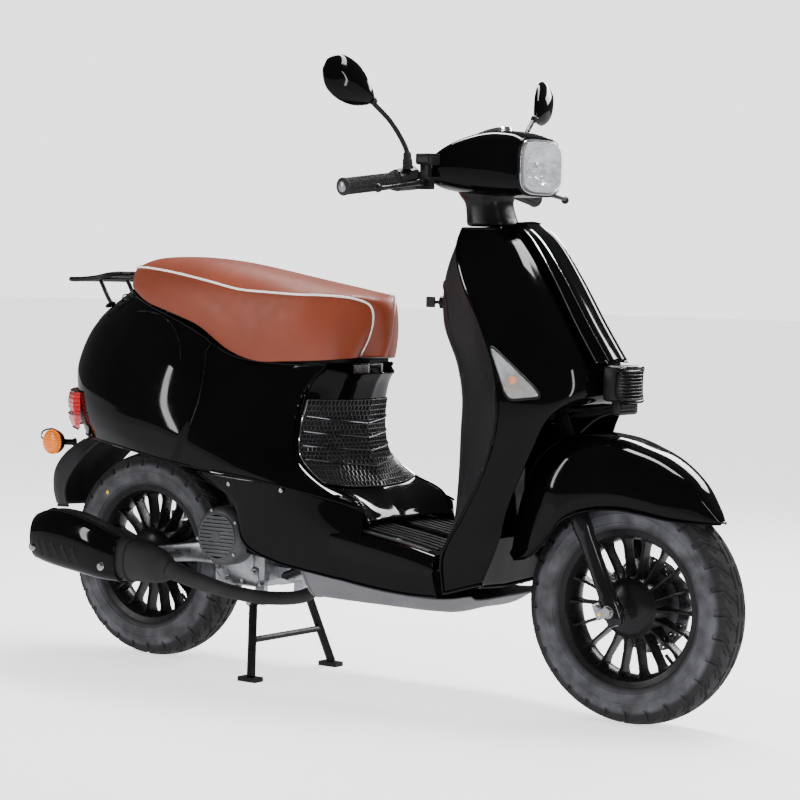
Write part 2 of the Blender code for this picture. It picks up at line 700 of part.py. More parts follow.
def make_frame():
    """The tube frame: head tube, down tube, floor rails, seat rails and engine hangers."""
    head = cylinder("main_frame", on_fork(0.705, 0, STEERING_FORWARD), HEAD_TUBE_RADIUS, 0.230, SATIN, 16)
    spine = bend([(0.352, 0, 0.790), (0.312, 0, 0.680), (0.290, 0, 0.560), (0.283, 0, 0.430),
                  (0.285, 0, 0.350), (0.272, 0, 0.303), (0.232, 0, 0.2835)], 9)
    joined = [tube("down_tube", spine, 0.0162, SATIN)]
    joined.append(tube("front_cross_tube", [(0.228, -0.084, 0.283), (0.228, 0.084, 0.283)], 0.0135, SATIN))
    for side, sign in SIDES.items():
        rail = [(0.238, 0.070, 0.283), (-0.070, 0.070, 0.283), (-0.104, 0.088, 0.315),
                (-0.140, RAIL_Y, 0.430), (-0.195, RAIL_Y, 0.545), (-0.300, RAIL_Y, 0.603),
                (-0.620, RAIL_Y, 0.636), (-0.735, 0.075, 0.648), (-0.776, 0.0, 0.652)]
        rail = [(x, sign * y, z) for x, y, z in rail]
        joined.append(tube(f"rail_{side}", rail, FRAME_TUBE_RADIUS, SATIN))
        joined.append(rod(f"engine_hanger_{side}", (-0.060, sign * 0.079, 0.283),
                          (PIVOT_X, sign * 0.084, PIVOT_Z), 0.0095, SATIN))
        joined.append(rod(f"shock_lug_{side}", (SHOCK_TOP.x, sign * 0.099, 0.634),
                          (SHOCK_TOP.x, sign * 0.099, SHOCK_TOP.z - 0.0063), 0.0087, SATIN, 14))
    joined.append(rod("middle_cross_tube", (-0.045, -0.073, 0.2824), (-0.045, 0.073, 0.2824), 0.0104, SATIN, 14))
    joined.append(rod("rear_cross_tube", (-0.390, -0.1065, 0.6127), (-0.390, 0.1065, 0.6127), 0.0083, SATIN, 14))
    joined.append(rod("engine_pivot_shaft", (PIVOT_X, -0.092, PIVOT_Z), (PIVOT_X, 0.092, PIVOT_Z),
                      PIVOT_RADIUS, SATIN))
    joined.append(rod("shock_pin", (SHOCK_TOP.x, 0.0985, SHOCK_TOP.z), (SHOCK_TOP.x, 0.132, SHOCK_TOP.z),
                      0.005, SATIN, 12))
    combine(head, joined, "UNION", ROOT)
    bore = cylinder("head_bore", on_fork(0.705, 0, STEERING_FORWARD), STEM_RADIUS + 0.0045, 0.30, SATIN, 16)
    combine(head, [bore], "DIFFERENCE", ROOT)
    hang(head, ROOT)


# ---------------------------------------------------------------- front bodywork


def make_legshield():
    edge = [(0.262, 0.104, 0.968), (0.267, 0.129, 0.924), (0.303, 0.158, 0.860), (0.364, 0.182, 0.775),
            (0.405, 0.193, 0.695), (0.416, 0.196, 0.630), (0.408, 0.194, 0.560), (0.374, 0.187, 0.475),
            (0.326, 0.180, 0.395), (0.276, 0.172, 0.315), (0.270, 0.156, 0.238)]
    shoulder = [(0.318, 0.078, 0.969), (0.352, 0.094, 0.930), (0.398, 0.110, 0.862),
                (0.448, 0.124, 0.775), (0.486, 0.134, 0.695), (0.503, 0.139, 0.630),
                (0.482, 0.142, 0.572), (0.447, 0.148, 0.490), (0.417, 0.152, 0.420),
                (0.398, 0.154, 0.350), (0.352, 0.142, 0.262)]
    flank = [(0.338, 0.042, 0.975), (0.379, 0.052, 0.937), (0.430, 0.062, 0.866), (0.485, 0.072, 0.778),
             (0.530, 0.079, 0.700), (0.534, 0.085, 0.632), (0.440, 0.124, 0.588), (0.362, 0.130, 0.500),
             (0.346, 0.134, 0.420), (0.342, 0.134, 0.350), (0.322, 0.110, 0.250)]
    middle = [(0.348, 0, 0.980), (0.395, 0, 0.940), (0.450, 0, 0.868), (0.507, 0, 0.780),
              (0.548, 0, 0.702), (0.544, 0, 0.634), (0.430, 0, 0.588), (0.352, 0, 0.500),
              (0.341, 0, 0.420), (0.337, 0, 0.350), (0.318, 0, 0.244)]
    outer = panel("legshield_outer", [edge, shoulder, flank, middle], GLOSS, 16, 8)
    hole = cylinder("stem_way", on_fork(0.42, 0, STEERING_FORWARD), 0.026, 0.16, GLOSS, 16)
    pockets = [indicator_body(f"indicator_pocket_{side}", sign, -0.020, 0.050, 0.0010)
               for side, sign in SIDES.items()]
    combine(outer, [hole, *pockets], "DIFFERENCE", ROOT)
    hang(outer, ROOT)
    inset = [(x - 0.002, y - 0.006, z) for x, y, z in edge[:-1]]
    inset[0] = (0.258, 0.096, 0.966)
    recess = [(0.246, 0.078, 0.964), (0.245, 0.092, 0.924), (0.272, 0.112, 0.860),
              (0.310, 0.128, 0.775), (0.338, 0.136, 0.695), (0.342, 0.140, 0.630),
              (0.333, 0.140, 0.560), (0.312, 0.138, 0.475), (0.288, 0.136, 0.395), (0.262, 0.134, 0.322)]
    knee = [(0.226, 0.045, 0.962), (0.206, 0.052, 0.924), (0.192, 0.062, 0.860), (0.198, 0.068, 0.775),
            (0.236, 0.074, 0.695), (0.252, 0.078, 0.630), (0.252, 0.080, 0.560), (0.250, 0.080, 0.475),
            (0.246, 0.080, 0.395), (0.240, 0.080, 0.326)]
    front = [(0.222, 0, 0.962), (0.199, 0, 0.924), (0.178, 0, 0.860), (0.177, 0, 0.785),
             (0.214, 0, 0.700), (0.232, 0, 0.630), (0.237, 0, 0.560), (0.237, 0, 0.475),
             (0.236, 0, 0.395), (0.233, 0, 0.328)]
    inner = panel("legshield_inner", [front, knee, recess, inset], PLASTIC, 13, 7, outward=-1)
    notches = [indicator_body(f"indicator_notch_{side}", sign, -0.020, 0.050, 0.0010)
               for side, sign in SIDES.items()]
    combine(inner, notches, "DIFFERENCE", ROOT)
    hang(inner, ROOT)


def make_front_cover():
    """The raised ridge down the middle of the legshield, with the horn grille at its foot."""
    line = [(0.360, 0, 0.984), (0.410, 0, 0.944), (0.465, 0, 0.871), (0.523, 0, 0.782), (0.572, 0, 0.712)]
    crest = [(x, 0.030, z - 0.002) for x, _, z in line]
    edge = [(0.350, 0.040, 0.981), (0.394, 0.046, 0.944), (0.447, 0.051, 0.872), (0.503, 0.055, 0.783),
            (0.553, 0.057, 0.709)]
    cover = panel("front_centre_cover", [line, crest, edge], GLOSS, 7, 5)
    grille = block("horn_grille_box", (0.566, -0.050, 0.630), (0.618, 0.050, 0.700), SATIN, rounding=0.006)
    neck = block("horn_grille_neck", (0.562, -0.040, 0.690), (0.590, 0.040, 0.712), SATIN)
    horn = block("horn_box", (0.578, -0.040, 0.606), (0.598, 0.040, 0.640), SATIN)
    combine(cover, [grille, neck, horn], "UNION", ROOT)
    hang(cover, ROOT)


def indicator_body(name, sign, inside, outside, grow):
    """A triangular prism between two distances from the lamp's plane, grown at its edges."""
    corners = [Vector((0.377, sign * 0.176, 0.745)), Vector((0.428, sign * 0.178, 0.632)),
               Vector((0.490, sign * 0.142, 0.640))]
    centre = sum(corners, Vector()) / 3
    normal = (corners[1] - corners[0]).cross(corners[2] - corners[0]).normalized()
    normal *= math.copysign(1, normal.y * sign)
    corners = [corner + (corner - centre).normalized() * grow * 2 for corner in corners]
    return loft(name, [[corner + normal * reach for corner in corners] for reach in (inside, outside)],
                GLASS)


def make_front_indicators():
    """A tall triangular lamp let into each side of the legshield."""
    for side, sign in SIDES.items():
        hang(indicator_body(f"front_indicator_{side}", sign, -0.002, 0.0195, 0.0), ROOT)


def make_floor():
    """The floor with its sills in one moulding, and the belly pan under it."""
    stations = [0.255, 0.180, 0.090, 0.000, -0.080, -0.160, -0.236]
    top = [0.3150, 0.3300, 0.3440, 0.3580, 0.3700, 0.3780, 0.3800]
    low = [0.2290, 0.2280, 0.2340, 0.2450, 0.2580, 0.2680, 0.2780]
    middle = [(x, 0, z) for x, z in zip(stations, top)]
    board = [(x, 0.125, z) for x, z in zip(stations, top)]
    shoulder = [(x, 0.166, z - 0.006) for x, z in zip(stations, top)]
    flank = [(x, 0.176, z - 0.035) for x, z in zip(stations, top)]
    foot = [(x, 0.158, z) for x, z in zip(stations, low)]
    floor = panel("floorboard", [middle, board, shoulder, flank, foot], GLOSS, 7, 9)
    tunnel = block("tunnel_way", (-0.30, -0.150, 0.15), (-0.062, 0.150, 0.50), GLOSS)
    combine(floor, [tunnel], "DIFFERENCE", ROOT)
    hang(floor, ROOT)
    stations = [-0.098, 0.000, 0.100, 0.200, 0.270, 0.318]
    keel = [(x, 0, z) for x, z in zip(stations, [0.193, 0.191, 0.190, 0.190, 0.196, 0.222])]
    bottom = [(x, 0.100, z) for x, z in zip(stations, [0.194, 0.192, 0.191, 0.191, 0.197, 0.223])]
    rim = [(x, y, z) for x, y, z in zip(stations, [0.148, 0.149, 0.150, 0.150, 0.146, 0.128],
                                        [0.252, 0.240, 0.228, 0.223, 0.224, 0.232])]
    belly = panel("belly_pan", [keel, bottom, rim], PLASTIC, 6, 5, outward=-1)
    hang(belly, ROOT)


# ---------------------------------------------------------------- rear bodywork


def make_rear_body():
    """Side cowls, the vented cover in front of them, the tail lamp and the mudguard."""
    rails = [
        [(-0.064, 0.116, 0.682), (-0.112, 0.126, 0.630), (-0.124, 0.145, 0.560), (-0.108, 0.160, 0.480),
         (-0.020, 0.170, 0.424), (0.075, 0.158, 0.392)],
        [(-0.190, 0.124, 0.680), (-0.200, 0.150, 0.636), (-0.205, 0.178, 0.562), (-0.190, 0.192, 0.492),
         (-0.130, 0.194, 0.448), (-0.050, 0.188, 0.418)],
        [(-0.315, 0.128, 0.694), (-0.318, 0.165, 0.645), (-0.318, 0.197, 0.566), (-0.305, 0.208, 0.508),
         (-0.268, 0.208, 0.468), (-0.205, 0.202, 0.441)],
        [(-0.430, 0.126, 0.748), (-0.442, 0.172, 0.686), (-0.448, 0.203, 0.602), (-0.444, 0.212, 0.542),
         (-0.422, 0.211, 0.498), (-0.375, 0.208, 0.458)],
        [(-0.560, 0.106, 0.790), (-0.582, 0.158, 0.718), (-0.594, 0.191, 0.630), (-0.592, 0.199, 0.566),
         (-0.578, 0.199, 0.520), (-0.545, 0.197, 0.482)],
        [(-0.640, 0.076, 0.815), (-0.686, 0.124, 0.744), (-0.708, 0.152, 0.652), (-0.712, 0.158, 0.592),
         (-0.706, 0.156, 0.540), (-0.690, 0.152, 0.496)],
        [(-0.686, 0.040, 0.823), (-0.756, 0.070, 0.755), (-0.798, 0.082, 0.664), (-0.794, 0.084, 0.592),
         (-0.786, 0.083, 0.540), (-0.776, 0.080, 0.500)],
        [(-0.701, 0.0030, 0.825), (-0.786, 0.0030, 0.760), (-0.846, 0.0030, 0.668),
         (-0.836, 0.0030, 0.592), (-0.828, 0.0030, 0.540), (-0.818, 0.0030, 0.500)],
    ]
    for side, sign in SIDES.items():
        turned_rails = [[(x, sign * y, z) for x, y, z in rail] for rail in rails]
        cowl = panel(f"side_cowl_{side}", turned_rails, GLOSS, 8, 15, outward=sign, mirrored=False)
        hang(cowl, ROOT)
    front = [(-0.008, 0, 0.664), (-0.026, 0, 0.635), (-0.042, 0, 0.580), (-0.044, 0, 0.530),
             (-0.030, 0, 0.485), (-0.004, 0, 0.428), (0.034, 0, 0.388), (0.052, 0, 0.366)]
    wing = [(-0.030, 0.070, 0.663), (-0.048, 0.078, 0.635), (-0.064, 0.086, 0.580),
            (-0.068, 0.092, 0.530), (-0.056, 0.096, 0.485), (-0.016, 0.096, 0.432),
            (0.036, 0.094, 0.392), (0.054, 0.090, 0.366)]
    side = [(-0.066, 0.112, 0.672), (-0.104, 0.124, 0.636), (-0.116, 0.138, 0.580),
            (-0.118, 0.149, 0.530), (-0.106, 0.157, 0.485), (-0.040, 0.164, 0.440),
            (0.040, 0.160, 0.410), (0.078, 0.150, 0.366)]
    cover = panel("seat_front_cover", [front, wing, side], GLOSS, 11, 6)
    hang(cover, ROOT)

    lamp_rings = []
    for z, reach in ((0.514, -0.006), (0.540, 0.006), (0.572, 0.008), (0.594, 0.000)):
        outline = spline([(-0.732, 0.166 + reach * 0.5), (-0.813 - reach, 0.096), (-0.864 - reach, 0.0),
                          (-0.813 - reach, -0.096), (-0.732, -0.166 - reach * 0.5)], 13)
        inner = spline([(-0.726, 0.159), (-0.805, 0.091), (-0.851, 0.0), (-0.805, -0.091),
                        (-0.726, -0.159)], 13)[::-1]
        ring = np.concatenate([outline, inner])
        lamp_rings.append(np.column_stack([ring, np.full(len(ring), z)]))
    hang(loft("tail_light", lamp_rings, RED), ROOT)

    middle = [(-0.545, 0, 0.535), (-0.640, 0, 0.545), (-0.730, 0, 0.528), (-0.806, 0, 0.492),
              (-0.878, 0, 0.462), (-0.925, 0, 0.420), (-0.930, 0, 0.365), (-0.918, 0, 0.322)]
    shoulder = [(-0.545, 0.060, 0.530), (-0.640, 0.060, 0.540), (-0.728, 0.060, 0.522),
                (-0.800, 0.058, 0.484), (-0.864, 0.055, 0.446), (-0.902, 0.052, 0.404),
                (-0.908, 0.050, 0.358), (-0.898, 0.048, 0.322)]
    rim = [(-0.545, 0.080, 0.500), (-0.635, 0.080, 0.510), (-0.715, 0.080, 0.494), (-0.775, 0.078, 0.460),
           (-0.820, 0.074, 0.420), (-0.850, 0.070, 0.382), (-0.858, 0.066, 0.350), (-0.852, 0.062, 0.324)]
    guard = panel("rear_mudguard", [middle, shoulder, rim], PLASTIC, 10, 5)
    hang(guard, ROOT)
    for side, sign in SIDES.items():
        foot = Vector((-0.800, sign * 0.094, 0.476))
        tip = Vector((-0.824, sign * 0.140, 0.478))
        way = (tip - foot).normalized()
        stalk = rod(f"rear_indicator_{side}", foot, tip - way * 0.010, 0.007, SATIN)
        lens = cylinder(f"rear_indicator_lens_{side}", between(tip - Vector((0, sign * 0.012, 0)),
                                                              tip + Vector((0, sign * 0.016, 0))),
                        0.028, 0.028, AMBER, 18, top_radius=0.025)
        combine(stalk, [lens], "UNION", ROOT)
        hang(stalk, ROOT)


def make_rack():
    """A hoop of bent bar over the tail, with cross bars and two feet."""
    corner = 0.035
    rear_x, side_y, front_x = -0.850, 0.085, -0.702
    hoop = []
    for turn in np.linspace(0, math.pi / 2, 4):
        hoop.append((rear_x + corner * (1 - math.cos(turn)), side_y - corner * (1 - math.sin(turn)), 0.846))
    half = hoop + [(-0.760, side_y, 0.850), (-0.720, side_y - 0.006, 0.858), (front_x, 0.060, 0.861)]
    path = [(x, -y, z) for x, y, z in reversed(half)] + half
    rack = as_mesh(tube("rear_rack", path, 0.0055, SATIN))
    joined = [rod(f"rack_cross_bar_{number}", (x, -side_y, z), (x, side_y, z), 0.0042, SATIN, 8)
              for number, (x, z) in enumerate(((-0.800, 0.847), (-0.750, 0.8505)))]
    joined.append(rod("rack_front_bar", (front_x, -0.062, 0.861), (front_x, 0.062, 0.861), 0.0052, SATIN, 8))
    for side, sign in SIDES.items():
        y = sign * 0.045
        joined.append(rod(f"rack_stringer_{side}", (rear_x + 0.001, y, 0.846), (front_x, y, 0.861), 0.0042,
                          SATIN, 8))
        joined.append(rod(f"rack_foot_{side}", (-0.776, y, 0.849), (-0.742, y, 0.794), 0.005, SATIN, 8))
    combine(rack, joined, "UNION", ROOT)
    hang(rack, ROOT)


# ---------------------------------------------------------------- seat and what it covers


SEAT_STATIONS = [-0.684, -0.655, -0.600, -0.520, -0.400, -0.310, -0.270, -0.160, -0.060, -0.008, 0.016]
SEAT_LOW = [0.842, 0.834, 0.816, 0.789, 0.756, 0.708, 0.692, 0.690, 0.694, 0.699, 0.708]
SEAT_TOP = [0.868, 0.886, 0.899, 0.902, 0.894, 0.880, 0.873, 0.853, 0.836, 0.828, 0.806]
SEAT_HALF_WIDTH = [0.050, 0.082, 0.106, 0.128, 0.142, 0.143, 0.142, 0.132, 0.114, 0.080, 0.046]


def make_seat():
    """The cushion as a plain crowned solid, and the pan that carries it."""
    rings = []
    stations = zip(SEAT_STATIONS, SEAT_LOW, SEAT_TOP, SEAT_HALF_WIDTH)
    for x, low, top, half in stations:
        height = top - low
        profile = [(0.93, 0.0), (1.0, 0.22), (0.98, 0.52), (0.86, 0.78), (0.58, 0.94), (0.25, 1.0)]
        right = [(x, -half * across, low + height * up) for across, up in profile]
        left = [(x, half * across, low + height * up) for across, up in reversed(profile)]
        rings.append(right + left)
    hang(loft("seat_cushion", rings, LEATHER), SEAT)
    base_rings = []
    for x, low, half in list(zip(SEAT_STATIONS, SEAT_LOW, SEAT_HALF_WIDTH))[1:-2]:
        inner = max(min(half * 0.93 - 0.012, 0.108), 0.030)
        floor, roof = low - 0.0085, low - 0.0012
        base_rings.append([(x, -inner, floor), (x, -inner, roof), (x, inner, roof), (x, inner, floor)])
    base = loft("seat_base", base_rings, PLASTIC)
    lug = block("seat_hinge_lug", (-0.066, -0.020, 0.6860), (-0.026, 0.020, 0.6915), PLASTIC)
    web = block("seat_hinge_web", (-0.034, -0.020, 0.6810), (-0.026, 0.020, 0.6880), PLASTIC)
    barrel = rod("seat_hinge_barrel", (SEAT_HINGE.x, -0.020, SEAT_HINGE.z), (SEAT_HINGE.x, 0.020, SEAT_HINGE.z),
                 0.0058, PLASTIC, 14)
    combine(base, [lug, web, barrel], "UNION", SEAT)
    bore = rod("seat_hinge_bore", (SEAT_HINGE.x, -0.04, SEAT_HINGE.z), (SEAT_HINGE.x, 0.04, SEAT_HINGE.z),
               0.0033, PLASTIC, 14)
    combine(base, [bore], "DIFFERENCE", SEAT)
    hang(base, SEAT)


def make_under_seat():
    """The storage bucket, the fuel tank and the seat's hinge bracket."""
    outer, inner = [], []
    for z, grow in ((0.474, -0.012), (0.490, 0.0), (0.6725, 0.006)):
        ring = oval(z, 0, 0, 0.078 + grow, 0.135 + grow, 5.0, 20)
        outer.append(np.column_stack([ring[:, 2] - 0.226, ring[:, 1], np.full(len(ring), z)]))
        ring = oval(z, 0, 0, 0.0755 + grow, 0.1325 + grow, 5.0, 20)
        inner.append(np.column_stack([ring[:, 2] - 0.226, ring[:, 1], np.full(len(ring), z + 0.003)]))
    bucket = loft("storage_bucket", outer, PLASTIC)
    combine(bucket, [loft("bucket_hollow", inner, PLASTIC)], "DIFFERENCE", ROOT)
    hang(bucket, ROOT)
    tank = block("fuel_tank", (-0.640, -0.086, 0.572), (-0.402, 0.086, 0.722), SATIN, rounding=0.018)
    cap = rod("fuel_cap", (-0.520, 0, 0.715), (-0.520, 0, 0.748), 0.026, SATIN, 16)
    combine(tank, [cap], "UNION", ROOT)
    hang(tank, ROOT)
    pin = rod("seat_hinge", (SEAT_HINGE.x, -0.030, SEAT_HINGE.z), (SEAT_HINGE.x, 0.030, SEAT_HINGE.z), 0.0028,
              ALLOY, 12)
    ears = [block(f"hinge_ear_{side}", (SEAT_HINGE.x - 0.034, min(sign * 0.0206, sign * 0.0260), 0.660),
                  (SEAT_HINGE.x + 0.005, max(sign * 0.0206, sign * 0.0260), 0.6845), ALLOY)
            for side, sign in SIDES.items()]
    foot = block("hinge_foot", (SEAT_HINGE.x - 0.034, -0.024, 0.660), (SEAT_HINGE.x - 0.014, 0.024, 0.664),
                 ALLOY)
    combine(pin, [*ears, foot], "UNION", ROOT)
    hang(pin, ROOT)


def make_ignition():
    """The lock on the inner shield with its key, and the bag hook above it."""
    face = Vector((0.1765, -0.028, 0.818))
    lock = rod("ignition_lock", face, face - Vector((0.014, 0.004, 0)), 0.013, CHROME, 18)
    slot_frame = between(face - Vector((0.006, 0.002, 0)), face - Vector((0.016, 0.0046, 0)))
    slot = cylinder("key_way", slot_frame, 0.0042, 0.02, CHROME, 12)
    combine(lock, [slot], "DIFFERENCE", ROOT)
    hang(lock, ROOT)
    start = face - Vector((0.0065, 0.0019, 0))
    end = face - Vector((0.026, 0.0076, 0))
    key = rod("ignition_key", start, end, 0.0035, ALLOY, 10)
    bow = block("key_bow", (-0.002, -0.011, -0.011), (0.002, 0.011, 0.011), PLASTIC,
                Matrix.Translation(end - Vector((0.009, 0.0026, 0))) @ Matrix.Rotation(math.pi / 2, 4, "Z"),
                rounding=0.0015)
    combine(key, [bow], "UNION", ROOT)
    pivot = empty("ignition_key_axis", face, ROOT)
    hang(key, pivot)
    hook = tube("bag_hook", bend([(0.1745, 0.0, 0.866), (0.160, 0.0, 0.866), (0.150, 0.0, 0.858),
                                  (0.150, 0.0, 0.846), (0.156, 0.0, 0.840)], 9), 0.0045, CHROME)
    hang(hook, ROOT)


# ---------------------------------------------------------------- engine unit


def make_engine():
    """The swinging engine unit with its belt case, cylinder, pivot lugs and shock lug."""
    case = block("engine_case", (-0.372, -0.100, 0.196), (-0.235, 0.108, 0.352), ALLOY, rounding=0.016)
    outline = slot_outline((-0.320, 0.268), (REAR_X, AXLE_Z + 0.004), 0.088, 0.062, 9)
    # The outline's second coordinate is a height, so its frame turns Y up and Z to the right side.
    upright = Matrix.Translation((0, 0.093, 0)) @ Matrix.Rotation(math.pi / 2, 4, "X")
    belt_case = plate("belt_case", outline, 0.062, upright, ALLOY)
    head = block("cylinder", (-0.245, -0.058, 0.262), (-0.158, 0.058, 0.352), ALLOY, rounding=0.006)
    lug = rod("pivot_barrel", (PIVOT_X, -0.068, PIVOT_Z), (PIVOT_X, 0.068, PIVOT_Z), 0.014, ALLOY, 16)
    web = block("pivot_web", (-0.245, -0.050, PIVOT_Z - 0.012), (PIVOT_X + 0.004, 0.050, PIVOT_Z + 0.012), ALLOY)
    strut = block("head_strut", (-0.240, -0.030, PIVOT_Z), (PIVOT_X - 0.008, 0.030, 0.275), ALLOY)
    shock_web = block("shock_web", (-0.676, 0.096, 0.270), (-0.644, 0.104, 0.3175), ALLOY)
    shock_pin = rod("shock_foot_pin", (SHOCK_FOOT.x, 0.100, SHOCK_FOOT.z), (SHOCK_FOOT.x, 0.130, SHOCK_FOOT.z),
                    0.005, ALLOY)
    stand_lugs = [block(f"stand_lug_{side}", (STAND_X - 0.012, min(sign * 0.060, sign * 0.074), STAND_Z - 0.011),
                        (STAND_X + 0.012, max(sign * 0.060, sign * 0.074), 0.205), ALLOY)
                  for side, sign in SIDES.items()]
    combine(case, [belt_case, head, lug, web, strut, shock_web, shock_pin, *stand_lugs], "UNION", SWING)
    ways = [rod("pivot_bore", (PIVOT_X, -0.12, PIVOT_Z), (PIVOT_X, 0.12, PIVOT_Z), PIVOT_RADIUS + 0.0006, ALLOY),
            rod("axle_bore", (REAR_X, 0.03, AXLE_Z), (REAR_X, 0.088, AXLE_Z), AXLE_RADIUS + 0.0014, ALLOY),
            rod("kick_bore", (KICK_X, 0.112, KICK_Z), (KICK_X, 0.15, KICK_Z), 0.0086, ALLOY),
            rod("stand_bore", (STAND_X, -0.10, STAND_Z), (STAND_X, 0.10, STAND_Z), 0.0056, ALLOY)]
    combine(case, ways, "DIFFERENCE", SWING)
    hang(case, SWING)
    fan = turned("fan_cover", [(0, 0.165), (0.046, 0.165), (0.050, 0.161), (0.060, 0.158), (0.064, 0.140),
                               (0.064, 0.1012), (0, 0.1012)], SHROUD,
                 Matrix.Translation((-0.320, 0, 0.305)) @ Matrix.Rotation(math.pi / 2, 4, "X"), 24,
                 closed=False)
    hang(fan, SWING)


def muffler_rings(grow, first=0, last=None):
    """Sections of the muffler from its tail to its front, grown outwards by a distance."""
    sections = [(-0.800, -0.212, 0.272, 0.016, 0.022), (-0.780, -0.212, 0.274, 0.034, 0.048),
                (-0.730, -0.212, 0.277, 0.042, 0.062), (-0.660, -0.212, 0.270, 0.043, 0.064),
                (-0.590, -0.212, 0.256, 0.041, 0.058), (-0.530, -0.206, 0.243, 0.037, 0.047),
                (-0.470, -0.190, 0.234, 0.034, 0.040), (-0.430, -0.176, 0.226, 0.020, 0.022)]
    return [oval(x, y, z, half_y + grow, half_z + grow, 2.3, 16)
            for x, y, z, half_y, half_z in sections[first:last]]


def make_exhaust():
    muffler = loft("exhaust", muffler_rings(0.0), SATIN)
    path = bend([(-0.440, -0.180, 0.227), (-0.420, -0.166, 0.218), (-0.380, -0.148, 0.202),
                 (-0.300, -0.130, 0.185), (-0.220, -0.112, 0.178), (-0.160, -0.066, 0.182),
                 (-0.142, -0.034, 0.206), (-0.146, -0.022, 0.240)], 12)
    pipe = tube("exhaust_pipe", path, 0.0135, SATIN)
    port = rod("exhaust_port", (-0.147, -0.021, 0.232), (-0.162, -0.018, 0.2605), 0.0115, SATIN)
    combine(muffler, [pipe, port], "UNION", SWING)
    hang(muffler, SWING)
    rings = np.array(muffler_rings(0.004, 1, -2))
    outer_half = np.roll(rings, -3, axis=1)[:, 1:9]
    shape, _ = surface(outer_half)
    shield = add_mesh("heat_shield", shape, GLOSS)
    wall = shield.modifiers.new("wall", "SOLIDIFY")
    wall.thickness = 0.0025
    wall.offset = 1
    hang(shield, SWING)


def make_shock():
    """One spring leg: the upper half turns on the frame, the lower half slides in it."""
    line = (SHOCK_FOOT - SHOCK_TOP).normalized()
    eye_top = cylinder("shock_body", along_y(SHOCK_TOP.x, 0.120, SHOCK_TOP.z), 0.013, 0.016, SATIN, 16)
    can = rod("shock_can", SHOCK_TOP + line * 0.008 + Vector((0, 0.002, 0)),
              SHOCK_TOP + line * 0.150 + Vector((0, 0.002, 0)), 0.023, SATIN, 16)
    combine(eye_top, [can], "UNION", SHOCK)
    ways = [rod("shock_eye_hole", (SHOCK_TOP.x, 0.08, SHOCK_TOP.z), (SHOCK_TOP.x, 0.16, SHOCK_TOP.z), 0.0058,
                SATIN),
            rod("shock_can_bore", SHOCK_TOP + line * 0.062 + Vector((0, 0.002, 0)),
                SHOCK_TOP + line * 0.160 + Vector((0, 0.002, 0)), 0.0192, SATIN, 16)]
    combine(eye_top, ways, "DIFFERENCE", SHOCK)
    hang(eye_top, SHOCK)
    rod_piece = rod("shock_rod", SHOCK_TOP + line * 0.118 + Vector((0, 0.002, 0)),
                    SHOCK_FOOT - line * 0.010 + Vector((0, 0.002, 0)), 0.0185, ALLOY, 16)
    eye = cylinder("shock_foot_eye", along_y(SHOCK_FOOT.x, 0.1175, SHOCK_FOOT.z), 0.0165, 0.017, ALLOY, 16)
    combine(rod_piece, [eye], "UNION", SHOCK_SLIDE)
    hole = rod("shock_foot_hole", (SHOCK_FOOT.x, 0.08, SHOCK_FOOT.z), (SHOCK_FOOT.x, 0.16, SHOCK_FOOT.z),
               0.0095, ALLOY)
    combine(rod_piece, [hole], "DIFFERENCE", SHOCK_SLIDE)
    hang(rod_piece, SHOCK_SLIDE)


def make_stand():
    """The centre stand: a pivot bar, two splayed legs with a brace, and flat feet."""
    bar = rod("centre_stand", (STAND_X, -0.104, STAND_Z), (STAND_X, 0.104, STAND_Z), 0.0050, SATIN, 12)
    joined = []
    for side, sign in SIDES.items():
        top = Vector((STAND_X, sign * 0.094, STAND_Z))
        foot = Vector((STAND_FOOT_X, sign * 0.140, 0.010))
        joined.append(rod(f"stand_leg_{side}", top, foot, 0.0095, SATIN, 10))
        joined.append(block(f"stand_foot_{side}", (STAND_FOOT_X - 0.026, sign * 0.140 - 0.014, 0.0),
                            (STAND_FOOT_X + 0.022, sign * 0.140 + 0.014, 0.010), SATIN))
        joined.append(rod(f"stand_collar_{side}", (STAND_X, sign * 0.082, STAND_Z),
                          (STAND_X, sign * 0.106, STAND_Z), 0.0115, SATIN))
    share = 0.52
    brace = Vector((STAND_X + (STAND_FOOT_X - STAND_X) * share, 0.094 + 0.046 * share,
                    STAND_Z + (0.010 - STAND_Z) * share))
    joined.append(rod("stand_brace", other_side(brace), brace, 0.007, SATIN, 10))
    combine(bar, joined, "UNION", STAND)
    hang(bar, STAND)


def make_kick_lever():
    """The kick starter on the belt case, folded back along it."""
    shaft = rod("kick_lever", (KICK_X, 0.114, KICK_Z), (KICK_X, 0.146, KICK_Z), 0.0080, ALLOY, 12)
    arm = tube("kick_arm", [(KICK_X, 0.141, KICK_Z), (-0.500, 0.147, 0.244), (-0.575, 0.150, 0.236)], 0.0070,
               ALLOY)
    pedal = rod("kick_pedal", (-0.575, 0.146, 0.236), (-0.575, 0.186, 0.236), 0.0085, RUBBER, 12)
    combine(shaft, [arm, pedal], "UNION", KICK)
    hang(shaft, KICK)


make_front_wheel()
make_rear_wheel()
make_fork()
make_fender()
make_handlebar()
make_levers(make_switches())
make_mirrors()
make_headset()
make_frame()
make_legshield()
make_front_cover()
make_front_indicators()
make_floor()
make_rear_body()
make_rack()
make_seat()
make_under_seat()
make_ignition()
make_engine()
make_exhaust()
make_shock()
make_stand()
make_kick_lever()
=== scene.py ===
"""The looks of a step-through moped scooter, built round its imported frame.

Metres. +X is forwards, +Y is the rider's left and +Z is up. Shapes are given from the middle of
the wheelbase on the ground, and ORIGIN_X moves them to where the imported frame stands.
"""

import logging
import math
from dataclasses import dataclass
from enum import Enum
from typing import Callable, Optional, Sequence

import bmesh
import bpy
import numpy as np
from mathutils import Matrix, Vector


